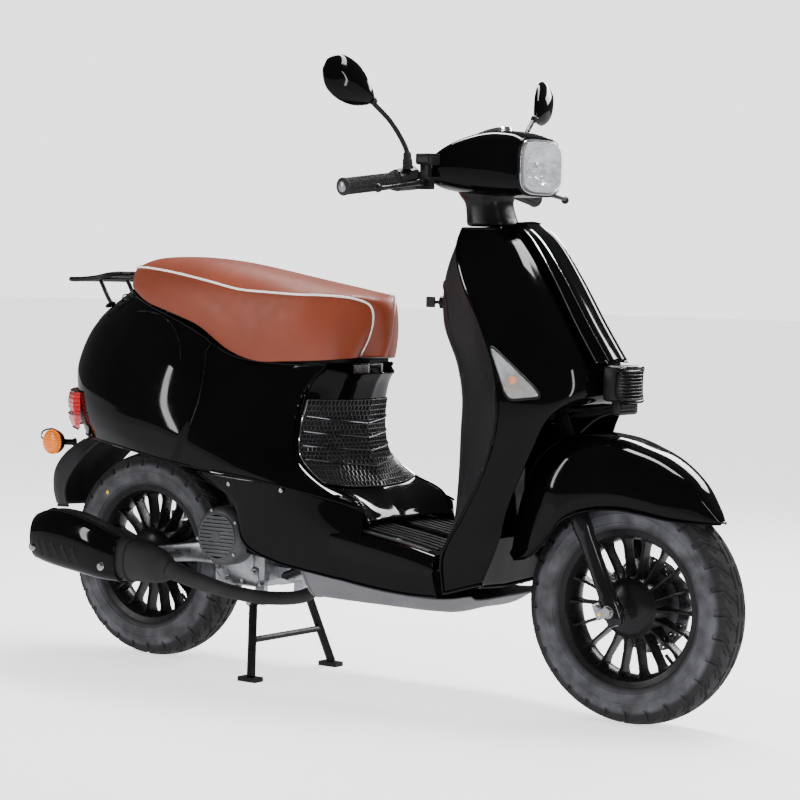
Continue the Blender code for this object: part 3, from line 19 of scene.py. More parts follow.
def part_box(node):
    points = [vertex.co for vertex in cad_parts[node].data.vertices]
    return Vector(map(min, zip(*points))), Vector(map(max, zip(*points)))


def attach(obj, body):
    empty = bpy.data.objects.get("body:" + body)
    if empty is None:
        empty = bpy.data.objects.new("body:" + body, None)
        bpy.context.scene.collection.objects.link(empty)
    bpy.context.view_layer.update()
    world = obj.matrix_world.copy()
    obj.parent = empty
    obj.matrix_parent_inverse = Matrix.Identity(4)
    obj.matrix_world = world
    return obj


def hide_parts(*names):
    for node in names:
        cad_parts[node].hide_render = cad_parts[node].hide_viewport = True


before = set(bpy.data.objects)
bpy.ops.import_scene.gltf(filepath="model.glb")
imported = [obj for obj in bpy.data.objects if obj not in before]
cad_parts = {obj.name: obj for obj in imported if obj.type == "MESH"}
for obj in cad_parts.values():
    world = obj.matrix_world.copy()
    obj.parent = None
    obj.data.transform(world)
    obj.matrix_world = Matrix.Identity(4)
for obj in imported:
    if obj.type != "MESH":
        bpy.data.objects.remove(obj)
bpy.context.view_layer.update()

Array = np.ndarray
Point = tuple[float, float, float]
LOG = logging.getLogger("scooter")


def middle_of(node: str) -> Array:
    """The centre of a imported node's box."""
    low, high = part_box(node)
    return (np.array(low) + np.array(high)) / 2


ORIGIN_X = float(middle_of("front_tyre")[0] + middle_of("rear_tyre")[0]) / 2
FRONT_AXLE = middle_of("front_tyre") - (ORIGIN_X, 0, 0)
REAR_AXLE = middle_of("rear_tyre") - (ORIGIN_X, 0, 0)
TYRE_RADIUS = float(FRONT_AXLE[2])
RAKE = math.radians(24.5)
STEM_BACK = -0.015 * math.cos(RAKE)
SIDES = {"right": -1, "left": 1}


# ---------------------------------------------------------------- curves and grids


def through(points: Sequence, count: int) -> Array:
    """A Catmull-Rom curve through the points, or through whole rows of points.

    Args:
        points: The points, or rows of them, that the curve passes through.
        count: How many places the curve is read at, evenly spaced in its parameter.

    Returns:
        The places on the curve: each is a cubic of the four nearest given points.
    """
    points = np.asarray(points, float)
    last = len(points) - 1
    steps = np.linspace(0, last, count)
    first = np.minimum(steps.astype(int), last - 1)
    part = (steps - first).reshape((-1,) + (1,) * (points.ndim - 1))
    ends = np.concatenate([2 * points[:1] - points[1:2], points, 2 * points[-1:] - points[-2:-1]])
    a, b, c, d = (ends[first + step] for step in range(4))
    cubic = 3 * b - 3 * c + d - a
    return 0.5 * (2 * b + (c - a) * part + (2 * a - 5 * b + 4 * c - d) * part**2 + cubic * part**3)


def evenly(curve: Array, count: int) -> Array:
    """The same line read at places spaced evenly along its length.

    Args:
        curve: Points along the line.
        count: How many places to read.

    Returns:
        The points at those places.
    """
    run = np.concatenate([[0], np.cumsum(np.linalg.norm(np.diff(curve, axis=0), axis=1))])
    wanted = np.linspace(0, run[-1], count)
    return np.stack([np.interp(wanted, run, curve[:, axis]) for axis in range(3)], axis=1)


def smooth_path(points: Sequence, count: int) -> Array:
    """A curve through the points with its places spaced evenly along it."""
    return evenly(through(points, count * 4), count)


def net(rails: Sequence, rows: int, columns: int) -> Array:
    """A smooth surface over rails: each rail is a curve, and curves cross from rail to rail.

    Returns:
        A grid of points, columns across the rails by rows along them.
    """
    lines = np.stack([through(rail, rows) for rail in rails])
    return through(lines, columns)


def other_side(points: Array) -> Array:
    """The points mirrored in the middle plane."""
    return np.asarray(points, float) * (1, -1, 1)


def both_halves(grid: Array) -> Array:
    """A grid whose last row lies on the middle plane, continued with its mirror image."""
    return np.concatenate([grid, other_side(grid)[-2::-1]])


def superellipse(half_a: float, half_b: float, power: float, count: int) -> Array:
    """A closed outline |a|^p + |b|^p = 1, scaled: power 2 is an ellipse and more is squarer.

    Args:
        half_a: Half the first size.
        half_b: Half the second size.
        power: How square it is.
        count: How many points.

    Returns:
        The points, in order round the outline.
    """
    turn = np.linspace(0, 2 * math.pi, count, endpoint=False)
    a = np.sign(np.cos(turn)) * np.abs(np.cos(turn)) ** (2 / power)
    b = np.sign(np.sin(turn)) * np.abs(np.sin(turn)) ** (2 / power)
    return np.stack([half_a * a, half_b * b], axis=1)


def turning(axis: Sequence[float], angle: Array) -> Array:
    """Rotation matrices about an axis: Rodrigues' formula for each of the angles.

    Args:
        axis: The axis to turn about.
        angle: The angles, in radians.

    Returns:
        One 3 x 3 matrix for each angle.
    """
    x, y, z = np.asarray(axis, float) / np.linalg.norm(axis)
    cross = np.array([[0, -z, y], [z, 0, -x], [-y, x, 0]])
    angle = np.atleast_1d(angle)[:, None, None]
    return np.eye(3) + np.sin(angle) * cross + (1 - np.cos(angle)) * (cross @ cross)


def lathe(profile: Sequence, centre: Sequence[float], axis: Sequence[float], steps: int) -> Array:
    """A profile of (radius, height) points turned about an axis.

    Args:
        profile: The (radius, height) points.
        centre: Where height zero lies on the axis.
        axis: The way that heights run.
        steps: How many places round the axis.

    Returns:
        A grid, steps round by points along the profile, that joins up with its first row.
    """
    along = np.asarray(axis, float) / np.linalg.norm(axis)
    side = np.cross(along, (0, 0, 1) if abs(along[2]) < 0.9 else (1, 0, 0))
    side /= np.linalg.norm(side)
    profile = np.asarray(profile, float)
    line = profile[:, :1] * side + profile[:, 1:] * along
    turns = turning(along, np.linspace(0, 2 * math.pi, steps, endpoint=False))
    return np.einsum("nij,kj->nki", turns, line) + np.asarray(centre, float)


def carried(path: Array, outline: Array, up: Sequence[float] = (0, 0, 1), scale: Optional[Array] = None,
            closed: bool = False) -> Array:
    """An outline of (across, up) points carried along a path.

    The across direction is the path's heading crossed with the up direction, so the outline
    keeps its own up as the path turns.

    Args:
        path: The points of the path.
        outline: The (across, up) points.
        up: The outline's up direction.
        scale: The outline's size at each place on the path.
        closed: The path's end meets its start.

    Returns:
        A grid, one row of the outline for each place on the path.
    """
    ahead = np.gradient(path, axis=0)
    if closed:
        ahead = np.roll(path, -1, axis=0) - np.roll(path, 1, axis=0)
    ahead /= np.linalg.norm(ahead, axis=1)[:, None]
    across = np.cross(ahead, np.broadcast_to(np.asarray(up, float), ahead.shape))
    across /= np.maximum(np.linalg.norm(across, axis=1), 1e-9)[:, None]
    above = np.cross(across, ahead)
    sizes = np.ones((len(path), 1, 1)) if scale is None else np.asarray(scale, float).reshape(-1, 1, 1)
    spread = outline[None, :, :1] * across[:, None] + outline[None, :, 1:] * above[:, None]
    return path[:, None] + sizes * spread


def round_bar(path: Array, radius: float, sides: int = 12, up: Sequence[float] = (0, 0, 1),
              closed: bool = False) -> Array:
    """A round outline carried along a path."""
    return carried(path, superellipse(radius, radius, 2, sides), up, closed=closed)


def rounded_box(low: Sequence[float], high: Sequence[float], rounding: float, steps: int = 24) -> Array:
    """A box with rounded edges: superellipse sections that shrink towards the top and bottom.

    Args:
        low: The corner with the lowest coordinates.
        high: The opposite corner.
        rounding: The radius of its edges.
        steps: How many points a ring has.

    Returns:
        A grid of rings from the bottom up, to be closed at both ends.
    """
    low, high = np.asarray(low, float), np.asarray(high, float)
    half, centre = (high - low) / 2, (high + low) / 2
    turn = np.linspace(-math.pi / 2, math.pi / 2, 9)
    rise = np.sign(turn) * (half[2] - rounding) + rounding * np.sin(turn)
    shrink = rounding * (1 - np.cos(turn))
    rings = [np.column_stack([superellipse(half[0] - s, half[1] - s, 7, steps), np.full(steps, z)])
             for s, z in zip(shrink, rise)]
    return np.array(rings) + centre


def fork_frame(height: float, y: float = 0.0, forward: float = 0.0) -> tuple[Array, Array]:
    """A point at a height up the steering direction from the front axle, and that direction.

    Args:
        height: How far up the steering direction.
        y: How far to the left.
        forward: How far forward, square to that direction.

    Returns:
        The point and the direction.
    """
    up = np.array([-math.sin(RAKE), 0, math.cos(RAKE)])
    across = np.array([math.cos(RAKE), 0, math.sin(RAKE)])
    return np.array([FRONT_AXLE[0], y, FRONT_AXLE[2]]) + up * height + across * forward, up


# ---------------------------------------------------------------- meshes


class Shape:
    """Points and the faces between them, gathered from grids."""

    def __init__(self) -> None:
        """Start with nothing."""
        self.points: list[Array] = []
        self.faces: list[list[int]] = []
        self.count = 0

    def grid(self, grid: Array, wrap_rows: bool = False, wrap_columns: bool = False,
             caps: bool = False, keep: Optional[Array] = None) -> "Shape":
        """Add a grid of points as quads.

        Args:
            grid: Rows by columns of points.
            wrap_rows: The last row joins the first.
            wrap_columns: The last column joins the first.
            caps: Close the first and the last row with fans to their middles.
            keep: A mask of the quads that are kept.

        Returns:
            The shape itself.
        """
        rows, columns = grid.shape[:2]
        index = np.arange(rows * columns).reshape(rows, columns) + self.count
        across = np.roll(index, -1, axis=1)
        if not wrap_columns:
            index, across = index[:, :-1], across[:, :-1]
        low, low_across = index, across
        high, high_across = np.roll(index, -1, axis=0), np.roll(across, -1, axis=0)
        if not wrap_rows:
            low, low_across, high, high_across = (part[:-1] for part in (low, low_across, high, high_across))
        quads = np.stack([low, low_across, high_across, high], axis=-1)
        quads = quads[keep] if keep is not None else quads.reshape(-1, 4)
        self.faces += quads.reshape(-1, 4).tolist()
        self.points.append(grid.reshape(-1, 3))
        self.count += rows * columns
        if caps:
            for ring, start in ((grid[0], self.count - rows * columns), (grid[-1], self.count - columns)):
                self.fan(ring, start)
        return self

    def fan(self, ring: Array, start: int) -> None:
        """Close a ring of points, already added from a start index, with a fan to its middle.

        Args:
            ring: The ring's points.
            start: The index of its first point.
        """
        rim = np.arange(len(ring)) + start
        hub = np.full(len(ring), self.count)
        self.faces += np.stack([rim, np.roll(rim, -1), hub], axis=1).tolist()
        self.points.append(ring.mean(axis=0, keepdims=True))
        self.count += 1

    def bar(self, path: Array, radius: float, sides: int = 12, closed: bool = False,
            up: Sequence[float] = (0, 0, 1)) -> "Shape":
        """Add a round bar along a path, with closed ends."""
        return self.grid(round_bar(path, radius, sides, up, closed), wrap_rows=closed, wrap_columns=True,
                         caps=not closed)

    def rod(self, start: Sequence[float], end: Sequence[float], radius: float, sides: int = 16) -> "Shape":
        """Add a straight round bar between two points, with small bevels at its ends.

        Args:
            start: The middle of one end.
            end: The middle of the other.
            radius: Its radius.
            sides: How many points go round it.

        Returns:
            The shape itself.
        """
        start, end = np.asarray(start, float), np.asarray(end, float)
        length = float(np.linalg.norm(end - start))
        edge = min(radius * 0.2, length * 0.2, 0.0015)
        profile = [(radius - edge, 0), (radius, edge), (radius, length - edge), (radius - edge, length)]
        return self.turned(profile, start, end - start, sides)

    def turned(self, profile: Sequence, centre: Sequence[float], axis: Sequence[float], steps: int = 48,
               ring: bool = False) -> "Shape":
        """Add a turned profile: closed at both ends on the axis, or as a ring whose profile closes.

        Args:
            profile: The (radius, height) points.
            centre: Where height zero lies on the axis.
            axis: The way that heights run.
            steps: How many places round the axis.
            ring: The profile closes on itself, off the axis.

        Returns:
            The shape itself.
        """
        grid = lathe(profile, centre, axis, steps)
        if ring:
            return self.grid(grid, wrap_rows=True, wrap_columns=True)
        return self.grid(np.swapaxes(grid, 0, 1), wrap_columns=True, caps=True)

    def block(self, low: Sequence[float], high: Sequence[float], rounding: float = 0.003,
              steps: int = 28) -> "Shape":
        """Add a box with rounded edges."""
        return self.grid(rounded_box(low, high, rounding, steps), wrap_columns=True, caps=True)

    def tilted_block(self, centre: Sequence[float], half: Sequence[float], turn: Array,
                     rounding: float = 0.002) -> "Shape":
        """Add a rounded box about a centre, turned by a rotation matrix.

        Args:
            centre: Its middle.
            half: Half its three sizes.
            turn: The rotation matrix.
            rounding: The radius of its edges.

        Returns:
            The shape itself.
        """
        half = np.asarray(half, float)
        grid = rounded_box(-half, half, rounding)
        return self.grid(grid @ turn.T + np.asarray(centre, float), wrap_columns=True, caps=True)


@dataclass
class Look:
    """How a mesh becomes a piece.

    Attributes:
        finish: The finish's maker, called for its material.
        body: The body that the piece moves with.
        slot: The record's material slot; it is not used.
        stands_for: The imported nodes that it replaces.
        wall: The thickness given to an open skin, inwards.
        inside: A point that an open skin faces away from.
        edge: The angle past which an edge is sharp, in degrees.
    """

    finish: Callable[[], bpy.types.Material]
    body: str
    slot: str
    stands_for: tuple[str, ...] = ()
    wall: float = 0.0
    inside: Optional[Point] = None
    edge: float = 38.0


def pierce(work: bmesh.types.BMesh, outline: Array, way: Array) -> None:
    """Cut a straight-sided hole through a skin.

    Faces near the outline are split along each plane that holds one of its sides and the
    direction, and the faces that then lie inside every plane are removed.

    Args:
        work: The skin's mesh.
        outline: The hole's corners, in order.
        way: The direction that the hole runs in.
    """
    outline = outline + (ORIGIN_X, 0, 0)
    centre = outline.mean(axis=0)
    reach = float(np.linalg.norm(outline - centre, axis=1).max())

    def near() -> list[bmesh.types.BMFace]:
        """The faces round the outline, within its own radius along the direction.

        Returns:
            Those faces.
        """
        places = np.array([face.calc_center_median() for face in work.faces]) - centre
        along = places @ way
        off = np.linalg.norm(places - along[:, None] * way, axis=1)
        return [face for face,
                chosen in zip(work.faces, (np.abs(along) < 0.06) & (off < reach + 0.012)) if chosen]

    planes = []
    for start, end in zip(outline, np.roll(outline, -1, axis=0)):
        side = np.cross(end - start, way)
        length = float(np.linalg.norm(side))
        if length > 1e-9:
            side = side / length
            planes.append((start, side if side @ (centre - start) < 0 else -side))
    for start, side in planes:
        faces = near()
        edges = {edge for face in faces for edge in face.edges}
        points = {point for face in faces for point in face.verts}
        bmesh.ops.bisect_plane(work, geom=[*faces, *edges, *points], plane_co=start, plane_no=side, dist=1e-6)
    gone = [face for face in near()
            if all((np.array(face.calc_center_median()) - start) @ side < 0 for start, side in planes)]
    bmesh.ops.delete(work, geom=gone, context="FACES")


def dress(node: str, finish: Callable[[], bpy.types.Material]) -> None:
    """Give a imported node, which stays as it is, its finish.

    Args:
        node: The node's name.
        finish: What makes its material.
    """
    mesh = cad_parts[node].data
    mesh.materials.clear()
    mesh.materials.append(finish())


def make_piece(name: str, shape: Shape, look: Look, cuts: Sequence = ()) -> bpy.types.Object:
    """Turn a shape into a finished piece that rides on its body.

    Doubled points are merged. The faces of a closed shape are turned outwards, and those of an
    open one away from the point inside it, before it gets its wall.

    Args:
        name: The piece's name.
        shape: Its points and faces.
        look: Its finish, body and wall.
        cuts: The (outline, direction) of each hole in it.

    Returns:
        The piece's object.
    """
    mesh = bpy.data.meshes.new(name)
    points = np.concatenate(shape.points) + (ORIGIN_X, 0, 0)
    mesh.from_pydata(points.tolist(), [], shape.faces)
    work = bmesh.new()
    work.from_mesh(mesh)
    bmesh.ops.remove_doubles(work, verts=work.verts, dist=1e-6)
    bmesh.ops.dissolve_degenerate(work, edges=work.edges, dist=1e-7)
    if look.inside is None:
        bmesh.ops.recalc_face_normals(work, faces=work.faces)
    for outline, way in cuts:
        pierce(work, outline, way)
    work.to_mesh(mesh)
    work.free()
    if look.inside is not None:
        normals = np.empty(len(mesh.polygons) * 3)
        centres = np.empty(len(mesh.polygons) * 3)
        mesh.polygons.foreach_get("normal", normals)
        mesh.polygons.foreach_get("center", centres)
        away = centres.reshape(-1, 3) - (np.array(look.inside) + (ORIGIN_X, 0, 0))
        if (normals.reshape(-1, 3) * away).sum() < 0:
            mesh.flip_normals()
    mesh.materials.append(look.finish())
    mesh.shade_smooth()
    mesh.set_sharp_from_angle(angle=math.radians(look.edge))
    made = bpy.data.objects.new(name, mesh)
    bpy.context.scene.collection.objects.link(made)
    if look.wall:
        wall = made.modifiers.new("wall", "SOLIDIFY")
        wall.thickness = look.wall
        wall.offset = -1
        wall.use_even_offset = False
    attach(made, look.body)
    if look.stands_for:
        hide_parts(*look.stands_for)
    LOG.info("%s: %d faces on %s", name, len(mesh.polygons), look.body)
    return made


# ---------------------------------------------------------------- finishes


class Grain(Enum):
    """The fine relief of a finish."""

    SMOOTH = "smooth"
    SPECKLE = "speckle"
    PEBBLE = "pebble"
    SCRATCH = "scratch"


class Wiring:
    """A material's node tree, with short ways to add and join nodes."""

    def __init__(self, name: str) -> None:
        """Make the material and find its shader."""
        self.material = bpy.data.materials.new(name)
        self.material.use_nodes = True
        self.tree = self.material.node_tree
        self.shader = self.tree.nodes["Principled BSDF"]
        self.places: Optional[bpy.types.NodeSocket] = None

    def node(self, kind: str, inputs: Optional[dict] = None, **settings: object) -> bpy.types.Node:
        """Add a node, set its properties and join or set its inputs.

        Args:
            kind: The node's type, without its prefix.
            inputs: What goes to its sockets.
            settings: Properties to set on it.

        Returns:
            The new node.
        """
        made = self.tree.nodes.new("ShaderNode" + kind)
        for key, value in settings.items():
            setattr(made, key, value)
        for key, value in (inputs or {}).items():
            if isinstance(value, bpy.types.NodeSocket):
                self.tree.links.new(value, made.inputs[key])
            else:
                made.inputs[key].default_value = value
        return made

    def object_places(self) -> bpy.types.NodeSocket:
        """The object's own coordinates, in metres."""
        if self.places is None:
            self.places = self.node("TexCoord").outputs["Object"]
        return self.places

    def noise(self, scale: float, detail: float = 3.0, stretch: Point = (1, 1, 1)) -> bpy.types.NodeSocket:
        """Cloudy noise, which a stretch below one draws out along an axis.

        Args:
            scale: How fine the clouds are.
            detail: How many octaves they have.
            stretch: A factor for each axis.

        Returns:
            The noise's value, as a socket.
        """
        places = self.object_places()
        if stretch != (1, 1, 1):
            places = self.node("Mapping", {"Vector": places, "Scale": stretch}).outputs["Vector"]
        return self.node("TexNoise", {"Vector": places, "Scale": scale, "Detail": detail}).outputs["Fac"]

    def blend_colours(self, factor: bpy.types.NodeSocket, low: Sequence[float], high: Sequence[float],
                      start: float = 0.3, end: float = 0.7) -> bpy.types.NodeSocket:
        """A colour that runs from low to high as the factor goes from start to end.

        Args:
            factor: What chooses between them.
            low: The colour up to the start.
            high: The colour from the end on.
            start: Where the change begins.
            end: Where it is complete.

        Returns:
            The colour.
        """
        ramp = self.node("ValToRGB", {"Fac": factor})
        ramp.color_ramp.elements[0].position = start
        ramp.color_ramp.elements[0].color = (*low, 1)
        ramp.color_ramp.elements[1].position = end
        ramp.color_ramp.elements[1].color = (*high, 1)
        return ramp.outputs["Color"]

    def spread(self, factor: bpy.types.NodeSocket, low: float, high: float, start: float = 0.3,
               end: float = 0.7) -> bpy.types.NodeSocket:
        """A number that runs from low to high as the factor goes from start to end."""
        return self.node("MapRange", {"Value": factor, "From Min": start, "From Max": end, "To Min": low,
                                      "To Max": high}).outputs["Result"]

    def sum(self, operation: str, a: object, b: object) -> bpy.types.NodeSocket:
        """One of the Math node's sums."""
        return self.node("Math", {0: a, 1: b}, operation=operation).outputs["Value"]

    def relief(self, height: bpy.types.NodeSocket, strength: float, distance: float) -> None:
        """Send a height to the shader's normal."""
        bump = self.node("Bump", {"Height": height, "Strength": strength, "Distance": distance})
        self.join(bump.outputs["Normal"], "Normal")

    def join(self, source: bpy.types.NodeSocket, name: str) -> None:
        """Join a socket to one of the shader's."""
        self.tree.links.new(source, self.shader.inputs[name])

    def set(self, **values: object) -> None:
        """Set the shader's own sockets: underscores in a name stand for spaces."""
        for name, value in values.items():
            self.shader.inputs[name.replace("_", " ")].default_value = value


@dataclass(frozen=True)
class Finish:
    """A finish with gentle variation in colour and roughness, and a fine relief.

    Attributes:
        name: The material's name.
        dark: The colour in its darker places.
        light: The colour in its lighter places.
        roughness: The roughness where it is smoothest and where it is dullest.
        metallic: 1 for bare metal.
        coat: The weight of a clear top layer.
        grain: The kind of relief.
        grain_size: How many grains go into a metre.
        grain_depth: The relief's strength.
        cloud_size: How many clouds of colour go into a metre.
        sheen: The weight of a soft edge sheen.
        specular: How strongly it mirrors, 0.5 being a common plastic.
    """

    name: str
    dark: Point
    light: Point
    roughness: tuple[float, float]
    metallic: float = 0.0
    coat: float = 0.0
    grain: Grain = Grain.SMOOTH
    grain_size: float = 900.0
    grain_depth: float = 0.1
    cloud_size: float = 9.0
    sheen: float = 0.0
    specular: float = 0.5

    def __call__(self) -> bpy.types.Material:
        """The material, made once.

        Returns:
            The material.
        """
        found = bpy.data.materials.get(self.name)
        if found:
            return found
        wiring = Wiring(self.name)
        cloud = wiring.noise(self.cloud_size, 4)
        wiring.join(wiring.blend_colours(cloud, self.dark, self.light), "Base Color")
        smear = wiring.noise(self.cloud_size * 5, 5)
        wiring.join(wiring.spread(smear, *self.roughness), "Roughness")
        wiring.set(Metallic=self.metallic, Coat_Weight=self.coat, Coat_Roughness=0.03,
                   Sheen_Weight=self.sheen, Sheen_Roughness=0.4, Specular_IOR_Level=self.specular)
        if self.grain is Grain.SPECKLE:
            wiring.relief(wiring.noise(self.grain_size, 2), self.grain_depth, 0.0006)
        elif self.grain is Grain.PEBBLE:
            cells = wiring.node("TexVoronoi", {"Vector": wiring.object_places(), "Scale": self.grain_size})
            wiring.relief(cells.outputs["Distance"], self.grain_depth, 0.0008)
        elif self.grain is Grain.SCRATCH:
            wiring.relief(wiring.noise(self.grain_size, 3, (0.06, 1, 1)), self.grain_depth, 0.0004)
        return wiring.material


PAINT = Finish("gloss_black_paint", (0.0010, 0.0010, 0.0012), (0.0018, 0.0018, 0.0021), (0.04, 0.075),
               specular=0.22, grain=Grain.SPECKLE, grain_size=260, grain_depth=0.006)
SATIN = Finish("satin_black_paint", (0.004, 0.004, 0.0045), (0.008, 0.008, 0.0085), (0.24, 0.36),
               specular=0.28,
               grain=Grain.SPECKLE, grain_size=700, grain_depth=0.12)
HOT_PAINT = Finish("heatproof_black_paint", (0.012, 0.012, 0.0125), (0.022, 0.0215, 0.0215), (0.45, 0.6),
                   specular=0.3,
                   grain=Grain.SPECKLE, grain_size=1100, grain_depth=0.25, cloud_size=14)
PLASTIC = Finish("moulded_grey_plastic", (0.010, 0.010, 0.011), (0.015, 0.015, 0.0165), (0.38, 0.5),
                 specular=0.3,
                 grain=Grain.PEBBLE, grain_size=1500, grain_depth=0.16)
DARK_PLASTIC = Finish("moulded_black_plastic", (0.005, 0.005, 0.0055), (0.008, 0.008, 0.009), (0.3, 0.42),
                      specular=0.3,
                      grain=Grain.PEBBLE, grain_size=1700, grain_depth=0.12)
BELLY = Finish("grey_plastic_underside", (0.085, 0.085, 0.092), (0.11, 0.11, 0.12), (0.5, 0.62),
               grain=Grain.PEBBLE, grain_size=1400, grain_depth=0.15)
RUBBER = Finish("grip_rubber", (0.010, 0.010, 0.0105), (0.017, 0.017, 0.0175), (0.6, 0.78),
                grain=Grain.SPECKLE,
                grain_size=1500, grain_depth=0.3, sheen=0.05, specular=0.25)
PIPING = Finish("white_vinyl_piping", (0.78, 0.76, 0.73), (0.88, 0.87, 0.85), (0.32, 0.45),
                grain=Grain.SPECKLE, grain_size=900, grain_depth=0.08, sheen=0.1)
CHROME = Finish("bright_chrome", (0.76, 0.77, 0.79), (0.84, 0.85, 0.87), (0.03, 0.09), metallic=1.0)
TRIM = Finish("polished_trim", (0.60, 0.61, 0.64), (0.74, 0.75, 0.78), (0.10, 0.18), metallic=1.0)
ALLOY = Finish("cast_alloy_metal", (0.42, 0.43, 0.45), (0.66, 0.67, 0.70), (0.26, 0.46), metallic=1.0,
               grain=Grain.SPECKLE, grain_size=520, grain_depth=0.35, cloud_size=22)
DULL_ALLOY = Finish("dull_cast_metal", (0.16, 0.165, 0.175), (0.26, 0.265, 0.28), (0.38, 0.56), metallic=0.85,
                    grain=Grain.SPECKLE, grain_size=600, grain_depth=0.3, cloud_size=18)
STEEL = Finish("ground_steel", (0.42, 0.42, 0.44), (0.58, 0.58, 0.60), (0.16, 0.28), metallic=1.0,
               grain=Grain.SCRATCH, grain_size=2200, grain_depth=0.2)
ZINC = Finish("zinc_fasteners", (0.5, 0.5, 0.49), (0.66, 0.65, 0.62), (0.22, 0.4), metallic=1.0,
              cloud_size=60)
SHROUD = Finish("shroud_paint", (0.050, 0.051, 0.055), (0.080, 0.081, 0.086), (0.32, 0.46), metallic=0.35,
                grain=Grain.SPECKLE, grain_size=1300, grain_depth=0.12)
WHEEL_PAINT = Finish("black_wheel_paint", (0.006, 0.006, 0.0065), (0.011, 0.011, 0.012), (0.22, 0.34),
                     specular=0.3,
                     grain=Grain.SPECKLE, grain_size=800, grain_depth=0.1)
MESH = Finish("vent_mesh_plastic", (0.020, 0.020, 0.021), (0.040, 0.040, 0.042), (0.14, 0.24), cloud_size=30)
SLIDER_PAINT = Finish("slider_enamel", (0.004, 0.004, 0.0045), (0.008, 0.008, 0.009), (0.10, 0.18),
                      specular=0.4)
# Painted shade: a near-black finish for strips, sheets and discs that stand in for shade in gaps, slots and
# hollows.
PAINTED_SHADE = Finish("painted_shade_black", (0.004, 0.004, 0.004), (0.007, 0.007, 0.007), (0.7, 0.85))
YELLOW = Finish("yellow_mark", (0.75, 0.42, 0.02), (0.85, 0.52, 0.04), (0.5, 0.6), cloud_size=80)
RED_CAP = Finish("red_plastic_cap", (0.45, 0.012, 0.012), (0.55, 0.02, 0.02), (0.25, 0.35), coat=0.3)


def leather() -> bpy.types.Material:
    """Tan vinyl leather: pebbled grain over soft creases, with painted shade making it warmer and darker down
    in the pores.

    Returns:
        The material.
    """
    found = bpy.data.materials.get("tan_leather_cover")
    if found:
        return found
    wiring = Wiring("tan_leather_cover")
    places = wiring.object_places()
    cloud = wiring.noise(6.5, 3)
    pores = wiring.node("TexVoronoi", {"Vector": places, "Scale": 620.0}).outputs["Distance"]
    base = wiring.blend_colours(cloud, (0.170, 0.029, 0.010), (0.225, 0.040, 0.014), 0.25, 0.75)
    # Painted shade: towards the middles of the pore cells, where the relief dips, the colour mixes up to a
    # quarter of the way to a dark brown.
    dark = wiring.node("Mix",
                       {"Factor": wiring.spread(pores, 0.75, 1.0, 0.05, 0.5), 6: (0.115, 0.022, 0.010, 1),
                        7: base}, data_type="RGBA").outputs[2]
    wiring.join(dark, "Base Color")
    wiring.join(wiring.spread(wiring.noise(38, 4), 0.36, 0.48), "Roughness")
    wiring.set(Sheen_Weight=0.03, Sheen_Roughness=0.45, Specular_IOR_Level=0.38)
    wiring.shader.inputs["Sheen Tint"].default_value = (1.0, 0.86, 0.78, 1)
    creases = wiring.noise(95, 5)
    grain = wiring.sum("MULTIPLY_ADD", pores, 0.55)
    grain.node.inputs[2].default_value = 0.0
    wiring.relief(wiring.sum("ADD", grain, creases), 0.16, 0.0009)
    return wiring.material


def tyre_rubber() -> bpy.types.Material:
    """Grey rubber, dusty on the side walls and darker where the tread meets the road.

    The distance from the wheel's axle, which runs along Y, sets how far the dust reaches: it is
    worked out for both wheels, from the nearer of the two axles.

    Returns:
        The material.
    """
    found = bpy.data.materials.get("dusty_tyre_rubber")
    if found:
        return found
    wiring = Wiring("dusty_tyre_rubber")
    split = wiring.node("SeparateXYZ", {"Vector": wiring.object_places()}).outputs
    ahead = wiring.sum("ABSOLUTE", wiring.sum("SUBTRACT", split["X"], ORIGIN_X), 0.0)
    run = wiring.sum("SUBTRACT", ahead, float(FRONT_AXLE[0]))
    rise = wiring.sum("SUBTRACT", split["Z"], TYRE_RADIUS)
    reach = wiring.sum("SQRT", wiring.sum("ADD", wiring.sum("MULTIPLY", run, run),
                                          wiring.sum("MULTIPLY", rise, rise)), 0.0)
    outer, inner = wiring.spread(reach, 1.0, 0.0, 0.201, 0.209), wiring.spread(reach, 0.0, 1.0, 0.156, 0.168)
    wall = wiring.sum("MULTIPLY", outer, inner)
    patches = wiring.noise(30, 6)
    dust = wiring.sum("MULTIPLY", wall, wiring.spread(patches, 0.25, 1.0, 0.35, 0.68))
    wiring.join(wiring.blend_colours(dust, (0.011, 0.011, 0.012), (0.080, 0.080, 0.094), 0.0, 1.0),
                "Base Color")
    wiring.join(wiring.spread(patches, 0.52, 0.72), "Roughness")
    wiring.relief(wiring.noise(700, 4), 0.22, 0.0006)
    return wiring.material


def lens(name: str, colour: Sequence[float], roughness: float = 0.02, alpha: float = 0.25,
         ribs: float = 0.0) -> Callable[[], bpy.types.Material]:
    """A transparent moulded lens: a tinted clear plastic, with optional moulded flutes.

    Args:
        name: The material's name.
        colour: The tint.
        roughness: How dull its surface is.
        alpha: How much of the colour stays when it is seen through.
        ribs: How many flutes go into a metre, or 0 for a plain lens.
    """
    def make() -> bpy.types.Material:
        """The material, made once.

        Returns:
            The material.
        """
        found = bpy.data.materials.get(name)
        if found:
            return found
        wiring = Wiring(name)
        tint = wiring.blend_colours(wiring.noise(40, 2), [c * 0.92 for c in colour], colour)
        wiring.join(tint, "Base Color")
        wiring.set(Roughness=roughness, Alpha=alpha, Coat_Weight=0.5, IOR=1.49)
        if ribs:
            wave = wiring.node("TexWave", {"Vector": wiring.object_places(), "Scale": ribs / 6.283})
            wave.bands_direction = "Z"
            wiring.relief(wave.outputs["Fac"], 0.5, 0.002)
        wiring.material.surface_render_method = "BLENDED"
        return wiring.material
    return make


